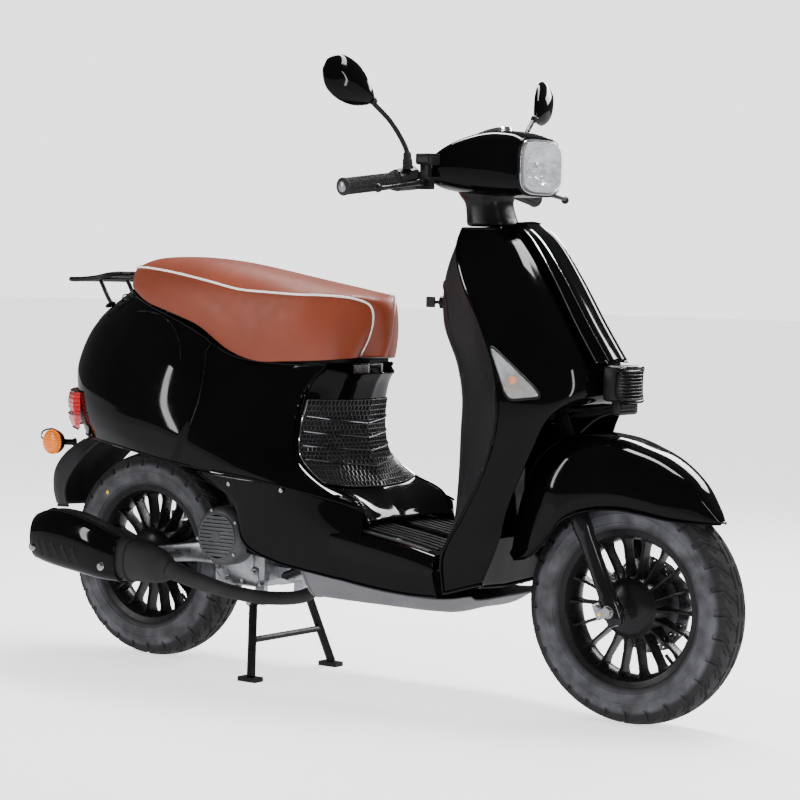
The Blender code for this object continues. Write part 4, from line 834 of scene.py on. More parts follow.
CLEAR = lens("clear_lamp_lens", (0.93, 0.95, 0.97), 0.02, 0.08)
RED_LENS = lens("red_lamp_lens", (0.62, 0.002, 0.006), 0.06, 0.92, ribs=210)
RED_CLEAR = lens("pale_red_lamp_lens", (0.80, 0.08, 0.09), 0.06, 0.75, ribs=210)
AMBER_LENS = lens("amber_lamp_lens", (0.82, 0.19, 0.004), 0.07, 0.97, ribs=330)


def reflector() -> bpy.types.Material:
    """A bright reflector bowl broken into crossed flutes.

    Returns:
        The material.
    """
    found = bpy.data.materials.get("fluted_reflector")
    if found:
        return found
    wiring = Wiring("fluted_reflector")
    cloud = wiring.noise(30, 3)
    wiring.join(wiring.blend_colours(cloud, (0.50, 0.51, 0.54), (0.90, 0.91, 0.93)), "Base Color")
    cells = wiring.node("TexVoronoi", {"Vector": wiring.object_places(), "Scale": 62.0}, distance="CHEBYCHEV")
    wiring.relief(cells.outputs["Distance"], 0.6, 0.006)
    wiring.join(wiring.spread(wiring.noise(90, 3), 0.06, 0.16), "Roughness")
    wiring.set(Metallic=0.7)
    return wiring.material


def mirror_glass() -> bpy.types.Material:
    """Silvered glass with the faintest haze.

    Returns:
        The material.
    """
    found = bpy.data.materials.get("silvered_glass")
    if found:
        return found
    wiring = Wiring("silvered_glass")
    wiring.join(wiring.blend_colours(wiring.noise(12, 2), (0.86, 0.88, 0.90), (0.9, 0.92, 0.93)),
                "Base Color")
    wiring.join(wiring.spread(wiring.noise(50, 4), 0.01, 0.035), "Roughness")
    wiring.set(Metallic=1.0)
    return wiring.material


# ---------------------------------------------------------------- the studio


@dataclass(frozen=True)
class Studio:
    """A pale floor, soft lights and the camera."""

    azimuth: float = math.radians(36.06)
    elevation: float = math.radians(3.09)
    roll: float = math.radians(1.19)
    lens_mm: float = 109.4
    place: Point = (3.040, -4.119, 0.885)
    room_seen: float = 2.4
    room_light: float = 0.9
    room_mirrored: float = 0.10

    def camera(self) -> None:
        """Look along the azimuth and elevation, rolled a little, from the camera's place."""
        cos_a, sin_a = math.cos(self.azimuth), math.sin(self.azimuth)
        cos_e, sin_e = math.cos(self.elevation), math.sin(self.elevation)
        back = Vector((sin_a * cos_e, -cos_a * cos_e, sin_e))
        right = Vector((cos_a, sin_a, 0))
        up = back.cross(right)
        across = right * math.cos(self.roll) + up * math.sin(self.roll)
        above = up * math.cos(self.roll) - right * math.sin(self.roll)
        settings = bpy.data.cameras.new("camera")
        settings.lens = self.lens_mm
        settings.sensor_width = 36.0
        made = bpy.data.objects.new("camera", settings)
        made.matrix_world = Matrix((across, above, back)).transposed().to_4x4()
        made.location = Vector(self.place) + Vector((ORIGIN_X, 0, 0))
        bpy.context.scene.collection.objects.link(made)
        bpy.context.scene.camera = made

    def light(self, name: str, place: Point, target: Point, size: tuple[float, float], power: float) -> None:
        """A rectangular soft light that faces a target.

        Args:
            name: Its name.
            place: Where it stands.
            target: The point that it faces.
            size: Its width and height.
            power: Its power in watts.
        """
        lamp = bpy.data.lights.new(name, "AREA")
        lamp.shape = "RECTANGLE"
        lamp.size, lamp.size_y = size
        lamp.energy = power
        made = bpy.data.objects.new(name, lamp)
        made.location = place
        made.rotation_euler = (Vector(target) - Vector(place)).to_track_quat("-Z", "Y").to_euler()
        bpy.context.scene.collection.objects.link(made)

    def floor(self) -> None:
        """A wide pale floor, painted dark grey where it is seen in reflections."""
        corners = np.array([[(-40.0, -40.0, 0.0), (-40.0, 40.0, 0.0)],
                            [(40.0, -40.0, 0.0), (40.0, 40.0, 0.0)]])
        shape = Shape().grid(corners)
        mesh = bpy.data.meshes.new("floor")
        mesh.from_pydata(np.concatenate(shape.points).tolist(), [], shape.faces)
        wiring = Wiring("pale_floor")
        shade = wiring.blend_colours(wiring.noise(0.6, 2), (0.86, 0.86, 0.865), (0.88, 0.88, 0.885))
        # Painted shade: where the floor is seen in a reflection it turns dark grey, so the bodywork mirrors
        # little of it.
        mirrored = wiring.node("LightPath").outputs["Is Glossy Ray"]
        shade = wiring.node("Mix", {"Factor": mirrored, 6: shade, 7: (0.26, 0.26, 0.27, 1)},
                            data_type="RGBA").outputs[2]
        wiring.join(shade, "Base Color")
        wiring.join(shade, "Emission Color")
        wiring.set(Roughness=0.8, Specular_IOR_Level=0.1, Emission_Strength=1.5)
        mesh.materials.append(wiring.material)
        mesh.validate()
        made = bpy.data.objects.new("floor", mesh)
        bpy.context.scene.collection.objects.link(made)

    def world(self) -> None:
        """A pale room: white where it is seen, softer where it lights, and dim where it is mirrored."""
        world = bpy.data.worlds.new("room")
        world.use_nodes = True
        nodes, links = world.node_tree.nodes, world.node_tree.links
        room = nodes["Background"]
        room.inputs["Color"].default_value = (1, 1, 1, 1)
        path = nodes.new("ShaderNodeLightPath")
        last = None
        for kind, strength in (("Is Diffuse Ray", self.room_light), ("Is Camera Ray", self.room_seen)):
            choice = nodes.new("ShaderNodeMix")
            choice.inputs[2].default_value = self.room_mirrored
            choice.inputs[3].default_value = strength
            links.new(path.outputs[kind], choice.inputs[0])
            if last is not None:
                links.new(last.outputs[0], choice.inputs[2])
            last = choice
        links.new(last.outputs[0], room.inputs["Strength"])
        bpy.context.scene.world = world

    def build(self) -> None:
        """Set the stage: broad dim lights for shape, and narrow bright ones for crisp highlights."""
        self.camera()
        self.floor()
        self.world()
        self.light("overhead", (0.2, 0.9, 3.1), (0, 0, 0.5), (3.4, 0.5), 160)
        self.light("near_side", (-2.6, -3.2, 1.9), (-0.2, 0, 0.5), (0.26, 2.4), 40)
        self.light("front", (4.0, -0.4, 1.6), (0.4, 0, 0.7), (0.22, 2.2), 34)
        self.light("far_side", (0.2, 3.4, 2.3), (0, 0, 0.7), (2.8, 0.4), 70)


def stem_hole() -> tuple[Array, Array]:
    """The round opening that the steering stem turns in: its outline and its direction."""
    centre, up = fork_frame(0.42, 0, STEM_BACK)
    return lathe([(0.027, 0)], centre, up, 20)[:, 0], up


def border(grid: Array) -> Array:
    """The closed line round the edge of a grid."""
    return np.concatenate([grid[:-1, 0], grid[-1, :-1], grid[:0:-1, -1], grid[0, :0:-1]])


def traced(grid: Array, places: Sequence) -> Array:
    """Points on a grid at fractions (across, along) of its rows and columns, read bilinearly.

    Args:
        grid: Rows by columns of points.
        places: The fractions, across and along.

    Returns:
        One point for each place.
    """
    places = np.asarray(places, float) * (np.array(grid.shape[:2]) - 1)
    first = np.minimum(places.astype(int), np.array(grid.shape[:2]) - 2)
    across, along = (places - first).T[:, :, None]
    row, column = first.T
    near = grid[row, column] * (1 - along) + grid[row, column + 1] * along
    far = grid[row + 1, column] * (1 - along) + grid[row + 1, column + 1] * along
    return near * (1 - across) + far * across


def skin(name: str, grid: Array, look: Look, bead: float = 0.0026, cuts: Sequence = (),
         keep: Optional[Array] = None) -> bpy.types.Object:
    """A moulded skin with a rolled edge: the grid as a wall, and a bead along its border.

    Args:
        name: The piece's name.
        grid: Rows by columns of points.
        look: Its finish, body and wall.
        bead: The bead's radius.
        cuts: The (outline, direction) of each hole in it.
        keep: Which quads to keep.

    Returns:
        The wall's object.
    """
    shape = Shape().grid(grid, keep=keep)
    made = make_piece(name, shape, look, cuts)
    edge = border(grid)
    gap = np.linalg.norm(edge - np.roll(edge, 1, axis=0), axis=1) > 1e-5
    hem = Shape().bar(edge[gap], bead, 8, closed=True, up=(0.3, 0.2, 0.93))
    make_piece(f"{name}_rolled_edge", hem, Look(look.finish, look.body, look.slot))
    return made


# ---------------------------------------------------------------- front bodywork


@dataclass
class LegShield:
    """The front apron: the outer shell with its ridge, grille and lamps, and the inner shield.

    Attributes:
        edge: The rail along the apron's side edge, from the top down.
        shoulder: The rail a third of the way in.
        flank: The rail near the middle.
        middle: The rail on the middle plane.
        lamp_corners: The triangular lamp's corners on the left side.
    """

    edge: tuple = ((0.262, 0.104, 0.968), (0.267, 0.129, 0.924), (0.303, 0.158, 0.860), (0.364, 0.182, 0.775),
                   (0.405, 0.193, 0.695), (0.416, 0.196, 0.630), (0.408, 0.194, 0.560), (0.374, 0.187, 0.475),
                   (0.326, 0.180, 0.395), (0.276, 0.172, 0.315), (0.270, 0.156, 0.238))
    shoulder: tuple = ((0.318, 0.078, 0.969), (0.352, 0.094, 0.930), (0.398, 0.110, 0.862),
                       (0.448, 0.124, 0.775), (0.486, 0.134, 0.695), (0.503, 0.139, 0.630),
                       (0.482, 0.142, 0.572), (0.447, 0.148, 0.490), (0.417, 0.152, 0.420),
                       (0.398, 0.154, 0.350), (0.352, 0.142, 0.262))
    flank: tuple = ((0.338, 0.042, 0.975), (0.379, 0.052, 0.937), (0.430, 0.062, 0.866),
                    (0.485, 0.072, 0.778),
                    (0.530, 0.079, 0.700), (0.534, 0.085, 0.632), (0.440, 0.124, 0.588),
                    (0.362, 0.130, 0.500),
                    (0.346, 0.134, 0.420), (0.342, 0.134, 0.350), (0.322, 0.110, 0.250))
    middle: tuple = ((0.348, 0, 0.980), (0.395, 0, 0.940), (0.450, 0, 0.868), (0.507, 0, 0.780),
                     (0.548, 0, 0.702), (0.544, 0, 0.634), (0.430, 0, 0.588), (0.352, 0, 0.500),
                     (0.341, 0, 0.420), (0.337, 0, 0.350), (0.318, 0, 0.244))
    lamp_corners: tuple = ((0.377, 0.176, 0.745), (0.428, 0.178, 0.632), (0.490, 0.142, 0.640))

    def lamp_outline(self, sign: int, grow: float = 0.0, rounding: float = 0.22, count: int = 12) -> Array:
        """The lamp's triangle with rounded corners: a quadratic curve turns each corner.

        Args:
            sign: +1 on the left, -1 on the right.
            grow: Half of how far each corner moves outwards.
            rounding: The share of a side that each corner takes.
            count: How many points turn a corner.

        Returns:
            The outline's points.
        """
        corners = np.array(self.lamp_corners) * (1, sign, 1)
        middle = corners.mean(axis=0)
        corners = corners + (corners - middle) / np.linalg.norm(corners - middle, axis=1)[:, None] * grow * 2
        part = np.linspace(0, 1, count)[:, None]
        rows = []
        for before, corner, after in zip(np.roll(corners, 1, axis=0), corners, np.roll(corners, -1, axis=0)):
            start, end = corner + (before - corner) * rounding, corner + (after - corner) * rounding
            rows.append((1 - part) ** 2 * start + 2 * part * (1 - part) * corner + part**2 * end)
        return np.concatenate(rows)

    def lamp_way(self, sign: int) -> Array:
        """The direction that the lamp faces.

        Args:
            sign: +1 on the left, -1 on the right.

        Returns:
            The unit direction, outwards.
        """
        a, b, c = np.array(self.lamp_corners) * (1, sign, 1)
        way = np.cross(b - a, c - a)
        way /= np.linalg.norm(way)
        return way * math.copysign(1, way[1] * sign)

    def outer(self) -> None:
        """The glossy outer shell, open for the stem and for the two lamps."""
        grid = both_halves(net((self.edge, self.shoulder, self.flank, self.middle), 110, 34))
        cuts = [stem_hole()] + [(self.lamp_outline(sign, 0.001, count=5), self.lamp_way(sign))
                                for sign in SIDES.values()]
        skin("legshield_shell", grid, Look(PAINT, "chassis", "gloss_black", ("legshield_outer",), 0.003,
                                           (0.25, 0, 0.62)), 0.003, cuts)

    def ridge(self) -> None:
        """The raised spine down the middle, edged by two pairs of bright beads."""
        line = np.array([(0.360, 0, 0.984), (0.410, 0, 0.944), (0.465, 0, 0.871), (0.523, 0, 0.782),
                         (0.572, 0, 0.712)])
        crest = line + (0, 0.030, -0.002)
        edge = [(0.350, 0.040, 0.981), (0.394, 0.046, 0.944), (0.447, 0.051, 0.872), (0.503, 0.055, 0.783),
                (0.553, 0.057, 0.709)]
        grid = both_halves(net((edge, crest, line), 44, 12))
        skin("front_ridge", grid, Look(PAINT, "chassis", "gloss_black", ("front_centre_cover",), 0.003,
                                       (0.25, 0, 0.75)), 0.002)
        beads = Shape()
        for sign in SIDES.values():
            for share, rise in ((0.0, 0.0016), (0.42, 0.0012)):
                row = traced(grid, [(share / 2, part) for part in np.linspace(0.10, 0.99, 40)])
                beads.bar(row * (1, -sign, 1) + (rise, 0, rise * 0.6), 0.0014, 8)
        make_piece("ridge_beads", beads, Look(TRIM, "chassis", "chrome_trim"))

    def grille(self) -> None:
        """The slatted grille at the ridge's foot, with the horn under it."""
        box = Shape().block((0.560, -0.046, 0.634), (0.604, 0.046, 0.704), 0.008)
        box.block((0.578, -0.039, 0.607), (0.597, 0.039, 0.640), 0.006)
        make_piece("grille_housing", box, Look(DARK_PLASTIC, "chassis", "satin_black"))
        frame_path = np.column_stack([np.full(48, 0.611), superellipse(0.0475, 0.0335, 5, 48)])
        frame_path[:, 0] -= 160 * frame_path[:, 1] ** 4 * 18
        rim = Shape().bar(frame_path + (0, 0, 0.667), 0.0034, 10, closed=True, up=(1, 0, 0))
        make_piece("grille_rim", rim, Look(PAINT, "chassis", "gloss_black"))
        slats = Shape()
        blade = superellipse(0.0040, 0.0013, 2, 10)
        across = np.linspace(-0.0455, 0.0455, 25)
        for height in np.linspace(0.641, 0.694, 9):
            path = np.column_stack([0.6085 - 2880 * across**4, across, np.full(25, height)])
            slats.grid(carried(path, blade, (0.35, 0, 1)), wrap_columns=True, caps=True)
        make_piece("grille_slats", slats, Look(SATIN, "chassis", "satin_black"))
        horn = Shape()
        for height in (0.613, 0.620, 0.627):
            horn.rod((0.598, -0.030, height), (0.598, 0.030, height), 0.0014, 8)
        make_piece("horn_louvres", horn, Look(SATIN, "chassis", "satin_black"))

    def lamps(self) -> None:
        """A triangular lamp let into each side: surround, faceted reflector, bulb and domed lens."""
        for side, sign in SIDES.items():
            outline, way = self.lamp_outline(sign), self.lamp_way(sign)
            middle = outline.mean(axis=0)

            def ring(scale: float, reach: float) -> Array:
                """The outline scaled about its middle and pushed along the lamp's direction."""
                return middle + (outline - middle) * scale + way * reach

            lens_rings = [ring(0.985, 0.006), ring(0.985, 0.0125), ring(0.955, 0.0155)]
            lens_rings += [ring(scale, 0.0155 + 0.004 * math.sqrt(1 - scale**2)) for scale in (0.8, 0.55,
                                                                                               0.25)]
            dome = Shape().grid(np.array(lens_rings), wrap_columns=True)
            dome.fan(lens_rings[-1], dome.count - len(outline))
            make_piece(f"front_lamp_lens_{side}", dome, Look(
                CLEAR, "chassis", "clear_lens", (f"front_indicator_{side}",), 0.0012,
                                                             tuple(middle - way * 0.03)))
            bowl_rings = [ring(0.97, 0.0085), ring(0.86, 0.000), ring(0.60, -0.008), ring(0.30, -0.013)]
            bowl = Shape().grid(np.array(bowl_rings), wrap_columns=True)
            bowl.fan(bowl_rings[-1], bowl.count - len(outline))
            make_piece(f"front_lamp_reflector_{side}", bowl, Look(
                reflector, "chassis", "chrome_trim", wall=0.001, inside=tuple(middle - way * 0.06)))
            bulb = Shape().turned([(0.004, -0.013), (0.004, -0.004), (0.0075, 0.001), (0.0085, 0.005),
                                   (0.006, 0.0095), (0.002, 0.0115)], middle, way, 20)
            make_piece(f"front_lamp_bulb_{side}", bulb, Look(AMBER_LENS, "chassis", "amber_lens"))
            rim = Shape().bar(ring(1.015, 0.0105), 0.0030, 10, closed=True, up=way)
            skirt = Shape().grid(np.array([ring(1.015, 0.0105), ring(1.01, -0.014)]), wrap_columns=True)
            make_piece(f"front_lamp_surround_{side}", rim, Look(DARK_PLASTIC, "chassis", "satin_black"))
            make_piece(f"front_lamp_skirt_{side}", skirt, Look(
                DARK_PLASTIC, "chassis", "satin_black", wall=0.001, inside=tuple(middle)))

    def inner(self) -> None:
        """The rider's side of the shield, with a glovebox lid let into it, its gap drawn as a dark line of
        painted shade.
        """
        inset = [(0.258, 0.096, 0.966)] + [(x - 0.002, y - 0.006, z) for x, y, z in self.edge[1:-1]]
        recess = [(0.246, 0.078, 0.964), (0.245, 0.092, 0.924), (0.272, 0.112, 0.860),
                  (0.310, 0.128, 0.775), (0.338, 0.136, 0.695), (0.342, 0.140, 0.630),
                  (0.333, 0.140, 0.560), (0.312, 0.138, 0.475), (0.288, 0.136, 0.395), (0.262, 0.134, 0.322)]
        knee = [(0.226, 0.045, 0.962), (0.206, 0.052, 0.924), (0.192, 0.062, 0.860), (0.198, 0.068, 0.775),
                (0.236, 0.074, 0.695), (0.252, 0.078, 0.630), (0.252, 0.080, 0.560), (0.250, 0.080, 0.475),
                (0.246, 0.080, 0.395), (0.240, 0.080, 0.326)]
        front = [(0.222, 0, 0.962), (0.199, 0, 0.924), (0.178, 0, 0.860), (0.177, 0, 0.785),
                 (0.214, 0, 0.700), (0.232, 0, 0.630), (0.237, 0, 0.560), (0.237, 0, 0.475),
                 (0.236, 0, 0.395), (0.233, 0, 0.328)]
        grid = both_halves(net((inset, recess, knee, front), 84, 24))
        cuts = [(self.lamp_outline(sign, 0.001, count=5), self.lamp_way(sign)) for sign in SIDES.values()]
        skin("inner_shield", grid, Look(PLASTIC, "chassis", "grey_plastic", ("legshield_inner",), 0.003,
                                        (0.42, 0, 0.62)), 0.0026, cuts)
        corners = superellipse(0.21, 0.13, 5, 72) + (0.5, 0.36)
        # Painted shade: a near-black bar round the lid stands in for the shaded gap between the lid and the
        # shield.
        seam = Shape().bar(traced(grid, corners), 0.0012, 6, closed=True, up=(1, 0, 0))
        latch = Shape().turned([(0.010, 0), (0.010, 0.005), (0.008, 0.0075), (0.002, 0.008)],
                               traced(grid, [(0.5, 0.47)])[0], (-1, 0, -0.35), 28)
        make_piece("glovebox_seam_shade", seam, Look(PAINTED_SHADE, "chassis", "satin_black"))
        make_piece("glovebox_latch", latch, Look(CHROME, "chassis", "chrome_trim"))

    def build(self) -> None:
        """Build every piece of the apron."""
        self.outer()
        self.ridge()
        self.grille()
        self.lamps()
        self.inner()


@dataclass
class Floor:
    """The floor with its sills and foot ribs, and the pan under it.

    Attributes:
        stations: Where the cross-sections are, from the front back.
        top: The floor's height at each.
        low: The sill's lower edge at each.
        ribs: How far from the middle the foot ribs are.
    """

    stations: tuple = (0.255, 0.180, 0.090, 0.000, -0.080, -0.160, -0.236)
    top: tuple = (0.3150, 0.3300, 0.3440, 0.3580, 0.3700, 0.3780, 0.3800)
    low: tuple = (0.2290, 0.2280, 0.2340, 0.2450, 0.2580, 0.2680, 0.2780)
    ribs: tuple = (-0.120, -0.098, -0.076, -0.054, -0.032, 0.032, 0.054, 0.076, 0.098, 0.120)

    def rail(self, y: float, heights: Sequence[float], drop: float = 0.0) -> list[Point]:
        """A rail at a distance from the middle."""
        return [(x, y, z - drop) for x, z in zip(self.stations, heights)]

    def board(self) -> None:
        """The glossy floor moulding, open behind where the engine's tunnel starts."""
        rails = (self.rail(0.158, self.low), self.rail(0.176, self.top, 0.035),
                 self.rail(0.166, self.top, 0.006), self.rail(0.125, self.top), self.rail(0, self.top))
        grid = both_halves(net(rails, 90, 40))
        centres = (grid[1:, 1:] + grid[:-1, :-1]) / 2
        keep = (centres[..., 0] > -0.062) | (np.abs(centres[..., 1]) > 0.150)
        skin("floor_moulding", grid, Look(PAINT, "chassis", "gloss_black", ("floorboard",), 0.003,
                                          (0.05, 0, 0.2)), 0.0024, keep=keep)
        ribs = Shape()
        rib = superellipse(0.0042, 0.0028, 2.6, 12)
        for y in self.ribs:
            path = through(self.rail(y, self.top), 60)[3:38]
            ribs.grid(carried(path, rib), wrap_columns=True, caps=True)
        make_piece("floor_ribs", ribs, Look(RUBBER, "chassis", "rubber"))
        strip = Shape()
        for sign in SIDES.values():
            path = through(self.rail(sign * 0.150, self.top, 0.0006), 60)[3:38]
            strip.grid(carried(path, superellipse(0.0085, 0.0020, 3, 14)), wrap_columns=True, caps=True)
        make_piece("floor_side_strips", strip, Look(PLASTIC, "chassis", "grey_plastic"))

    def pan(self) -> None:
        """The grey belly pan."""
        stations = [-0.098, 0.000, 0.100, 0.200, 0.270, 0.318]
        keel = [(x, 0, z) for x, z in zip(stations, [0.193, 0.191, 0.190, 0.190, 0.196, 0.222])]
        bottom = [(x, 0.100, z) for x, z in zip(stations, [0.194, 0.192, 0.191, 0.191, 0.197, 0.223])]
        rim = [(x, y, z) for x, y, z in zip(stations, [0.148, 0.149, 0.150, 0.150, 0.146, 0.128],
                                            [0.252, 0.240, 0.228, 0.223, 0.224, 0.232])]
        skin("belly_moulding", both_halves(net((rim, bottom, keel), 60, 26)), Look(
            BELLY, "chassis", "grey_plastic", ("belly_pan",), 0.003, (0.1, 0, 0.35)), 0.0024)

    def build(self) -> None:
        """Build the floor and the pan."""
        self.board()
        self.pan()


# ---------------------------------------------------------------- steering head


@dataclass
class Headset:
    """The cowl round the bars with the headlight, the dial and their inside parts.

    Attributes:
        sections: Each cross-section's place, half width, lowest and highest point, and squareness.
        dial: The dial's centre.
        dial_tilt: How far the dial leans back, in radians.
    """

    sections: tuple = ((0.372, 0.076, 1.036, 1.152, 4.5), (0.345, 0.080, 1.034, 1.163, 4.0),
                       (0.300, 0.092, 1.034, 1.168, 3.5), (0.262, 0.112, 1.036, 1.162, 3.2),
                       (0.230, 0.136, 1.040, 1.148, 3.0), (0.205, 0.140, 1.044, 1.130, 3.0),
                       (0.190, 0.128, 1.050, 1.118, 2.6))
    dial: Point = (0.262, 0.0, 1.160)
    dial_tilt: float = -0.30

    def ring(self, x: float, half_y: float, low: float, high: float, power: float) -> Array:
        """One cross-section."""
        outline = superellipse(half_y, (high - low) / 2, power, 96)
        return np.column_stack([np.full(96, x), outline[:, 0], outline[:, 1] + (high + low) / 2])

    def dial_way(self) -> Array:
        """The direction that the dial faces."""
        return np.array([math.sin(self.dial_tilt), 0, math.cos(self.dial_tilt)])

    def cowl(self) -> None:
        """The glossy shell, open at the front for the lamp, with an opening for the dial."""
        grid = through(np.array([self.ring(*section) for section in self.sections]), 56)
        cuts = [(lathe([(0.0405, 0)], self.dial, self.dial_way(), 32)[:, 0], self.dial_way())]
        shape = Shape().grid(grid, wrap_columns=True)
        shape.fan(grid[-1], shape.count - 96)
        make_piece("headset_cowl", shape, Look(PAINT, "steering", "gloss_black", ("headset_cover",), 0.0028,
                                               (0.28, 0, 1.09), 60), cuts)
        lip = Shape().bar(self.ring(0.3735, 0.0755, 1.0365, 1.1515, 4.5), 0.0024, 10, closed=True,
                          up=(1, 0, 0))
        lip.bar(traced(grid, [(share, 0.07) for share in np.linspace(0.08, 0.92, 30)]), 0.0012, 8)
        make_piece("headset_lip", lip, Look(PAINT, "steering", "gloss_black"))
        neck = [np.column_stack([outline[:, 0] + x, outline[:, 1], np.full(64, z)])
                for x, z, outline in ((x, z, superellipse(half_x, half_y, 3, 64)) for x, z, half_x,
                                      half_y in (
(0.267, 0.974, 0.043, 0.045), (0.266, 0.979, 0.047, 0.049), (0.262, 0.995, 0.045, 0.047),
(0.256, 1.020, 0.043, 0.047), (0.252, 1.034, 0.048, 0.054), (0.251, 1.044, 0.052, 0.060)))]
        make_piece("steering_neck", Shape().grid(through(np.array(neck), 24), wrap_columns=True, caps=True),
                   Look(
SATIN, "steering", "satin_black"))

    def lamp(self) -> None:
        """Bezel, reflector, bulb and the clear glass."""
        def front(x: float, grow: float, power: float = 4.0) -> Array:
            """An outline of the glass, grown or shrunk."""
            return self.ring(x, 0.0715 + grow, 1.041 - grow, 1.147 + grow, power)

        glass = [front(0.366, 0.0), front(0.386, 0.0), front(0.3905, -0.003)]
        glass += [front(0.3905 + 0.0065 * math.sin(turn), -0.003 - 0.066 * (1 - math.cos(turn)))
                  for turn in np.linspace(0.35, 1.5, 7)]
        glass_shape = Shape().grid(np.array(glass), wrap_columns=True)
        glass_shape.fan(glass[-1], glass_shape.count - 96)
        make_piece("headlight_glass", glass_shape,
                   Look(CLEAR, "steering", "clear_lens", ("headlight",), 0.0016,
                        (0.33, 0, 1.094)))
        bowl = [front(0.384, -0.003), front(0.372, -0.007), front(0.352, -0.017, 3.2),
                front(0.338, -0.032, 2.4),
                front(0.332, -0.050, 2.0)]
        bowl_grid = through(np.array(bowl), 26)
        bowl_shape = Shape().grid(bowl_grid, wrap_columns=True)
        bowl_shape.fan(bowl_grid[-1], bowl_shape.count - 96)
        make_piece("headlight_reflector", bowl_shape, Look(reflector, "steering", "chrome_trim", wall=0.001,
                                                           inside=(0.30, 0, 1.094)))
        bulb = Shape().turned([(0.018, 0.0), (0.018, 0.004), (0.010, 0.007), (0.010, 0.020), (0.0115, 0.024),
                               (0.010, 0.032), (0.004, 0.035)], (0.334, 0, 1.094), (1, 0, 0), 32)
        make_piece("headlight_bulb", bulb, Look(CHROME, "steering", "chrome_trim"))
        bezel = Shape().bar(front(0.3765, 0.0012), 0.0018, 10, closed=True, up=(1, 0, 0))
        make_piece("headlight_bezel", bezel, Look(TRIM, "steering", "chrome_trim"))

    def instrument(self) -> None:
        """The dial: case, white-marked face, needle and glass."""
        way, centre = self.dial_way(), np.array(self.dial)
        case = Shape().turned([(0.0398, -0.014), (0.0398, 0.0035), (0.0385, 0.0058), (0.0362, 0.0058),
                               (0.0350, 0.003), (0.0350, -0.010)], centre, way, 64, ring=True)
        make_piece("dial_case", case, Look(TRIM, "steering", "chrome_trim"))
        face = Shape().turned([(0.0352, -0.010), (0.0352, -0.0015), (0.0005, -0.0012)], centre, way, 64)
        make_piece("dial_face", face, Look(DARK_PLASTIC, "steering", "satin_black", ("speedometer",)))
        marks = Shape()
        side = np.cross(way, (0, 1, 0))
        for turn in np.linspace(-2.2, 2.2, 23):
            out = turning(way, turn)[0] @ -side
            marks.rod(centre + out * 0.027, centre + out * 0.0325, 0.0006, 6)
        needle = turning(way, -2.2)[0] @ -side
        marks.rod(centre + way * 0.001 - needle * 0.004, centre + way * 0.001 + needle * 0.026, 0.0009, 6)
        make_piece("dial_marks", marks, Look(PIPING, "steering", "satin_black"))
        glass = Shape().turned([(0.0349, 0.0028), (0.0349, 0.0042), (0.026, 0.0062), (0.012, 0.0076),
                                (0.001, 0.0080)], centre, way, 48)
        make_piece("dial_glass", glass, Look(CLEAR, "steering", "clear_lens"))

    def build(self) -> None:
        """Build the cowl and what it holds."""
        self.cowl()
        self.lamp()
        self.instrument()


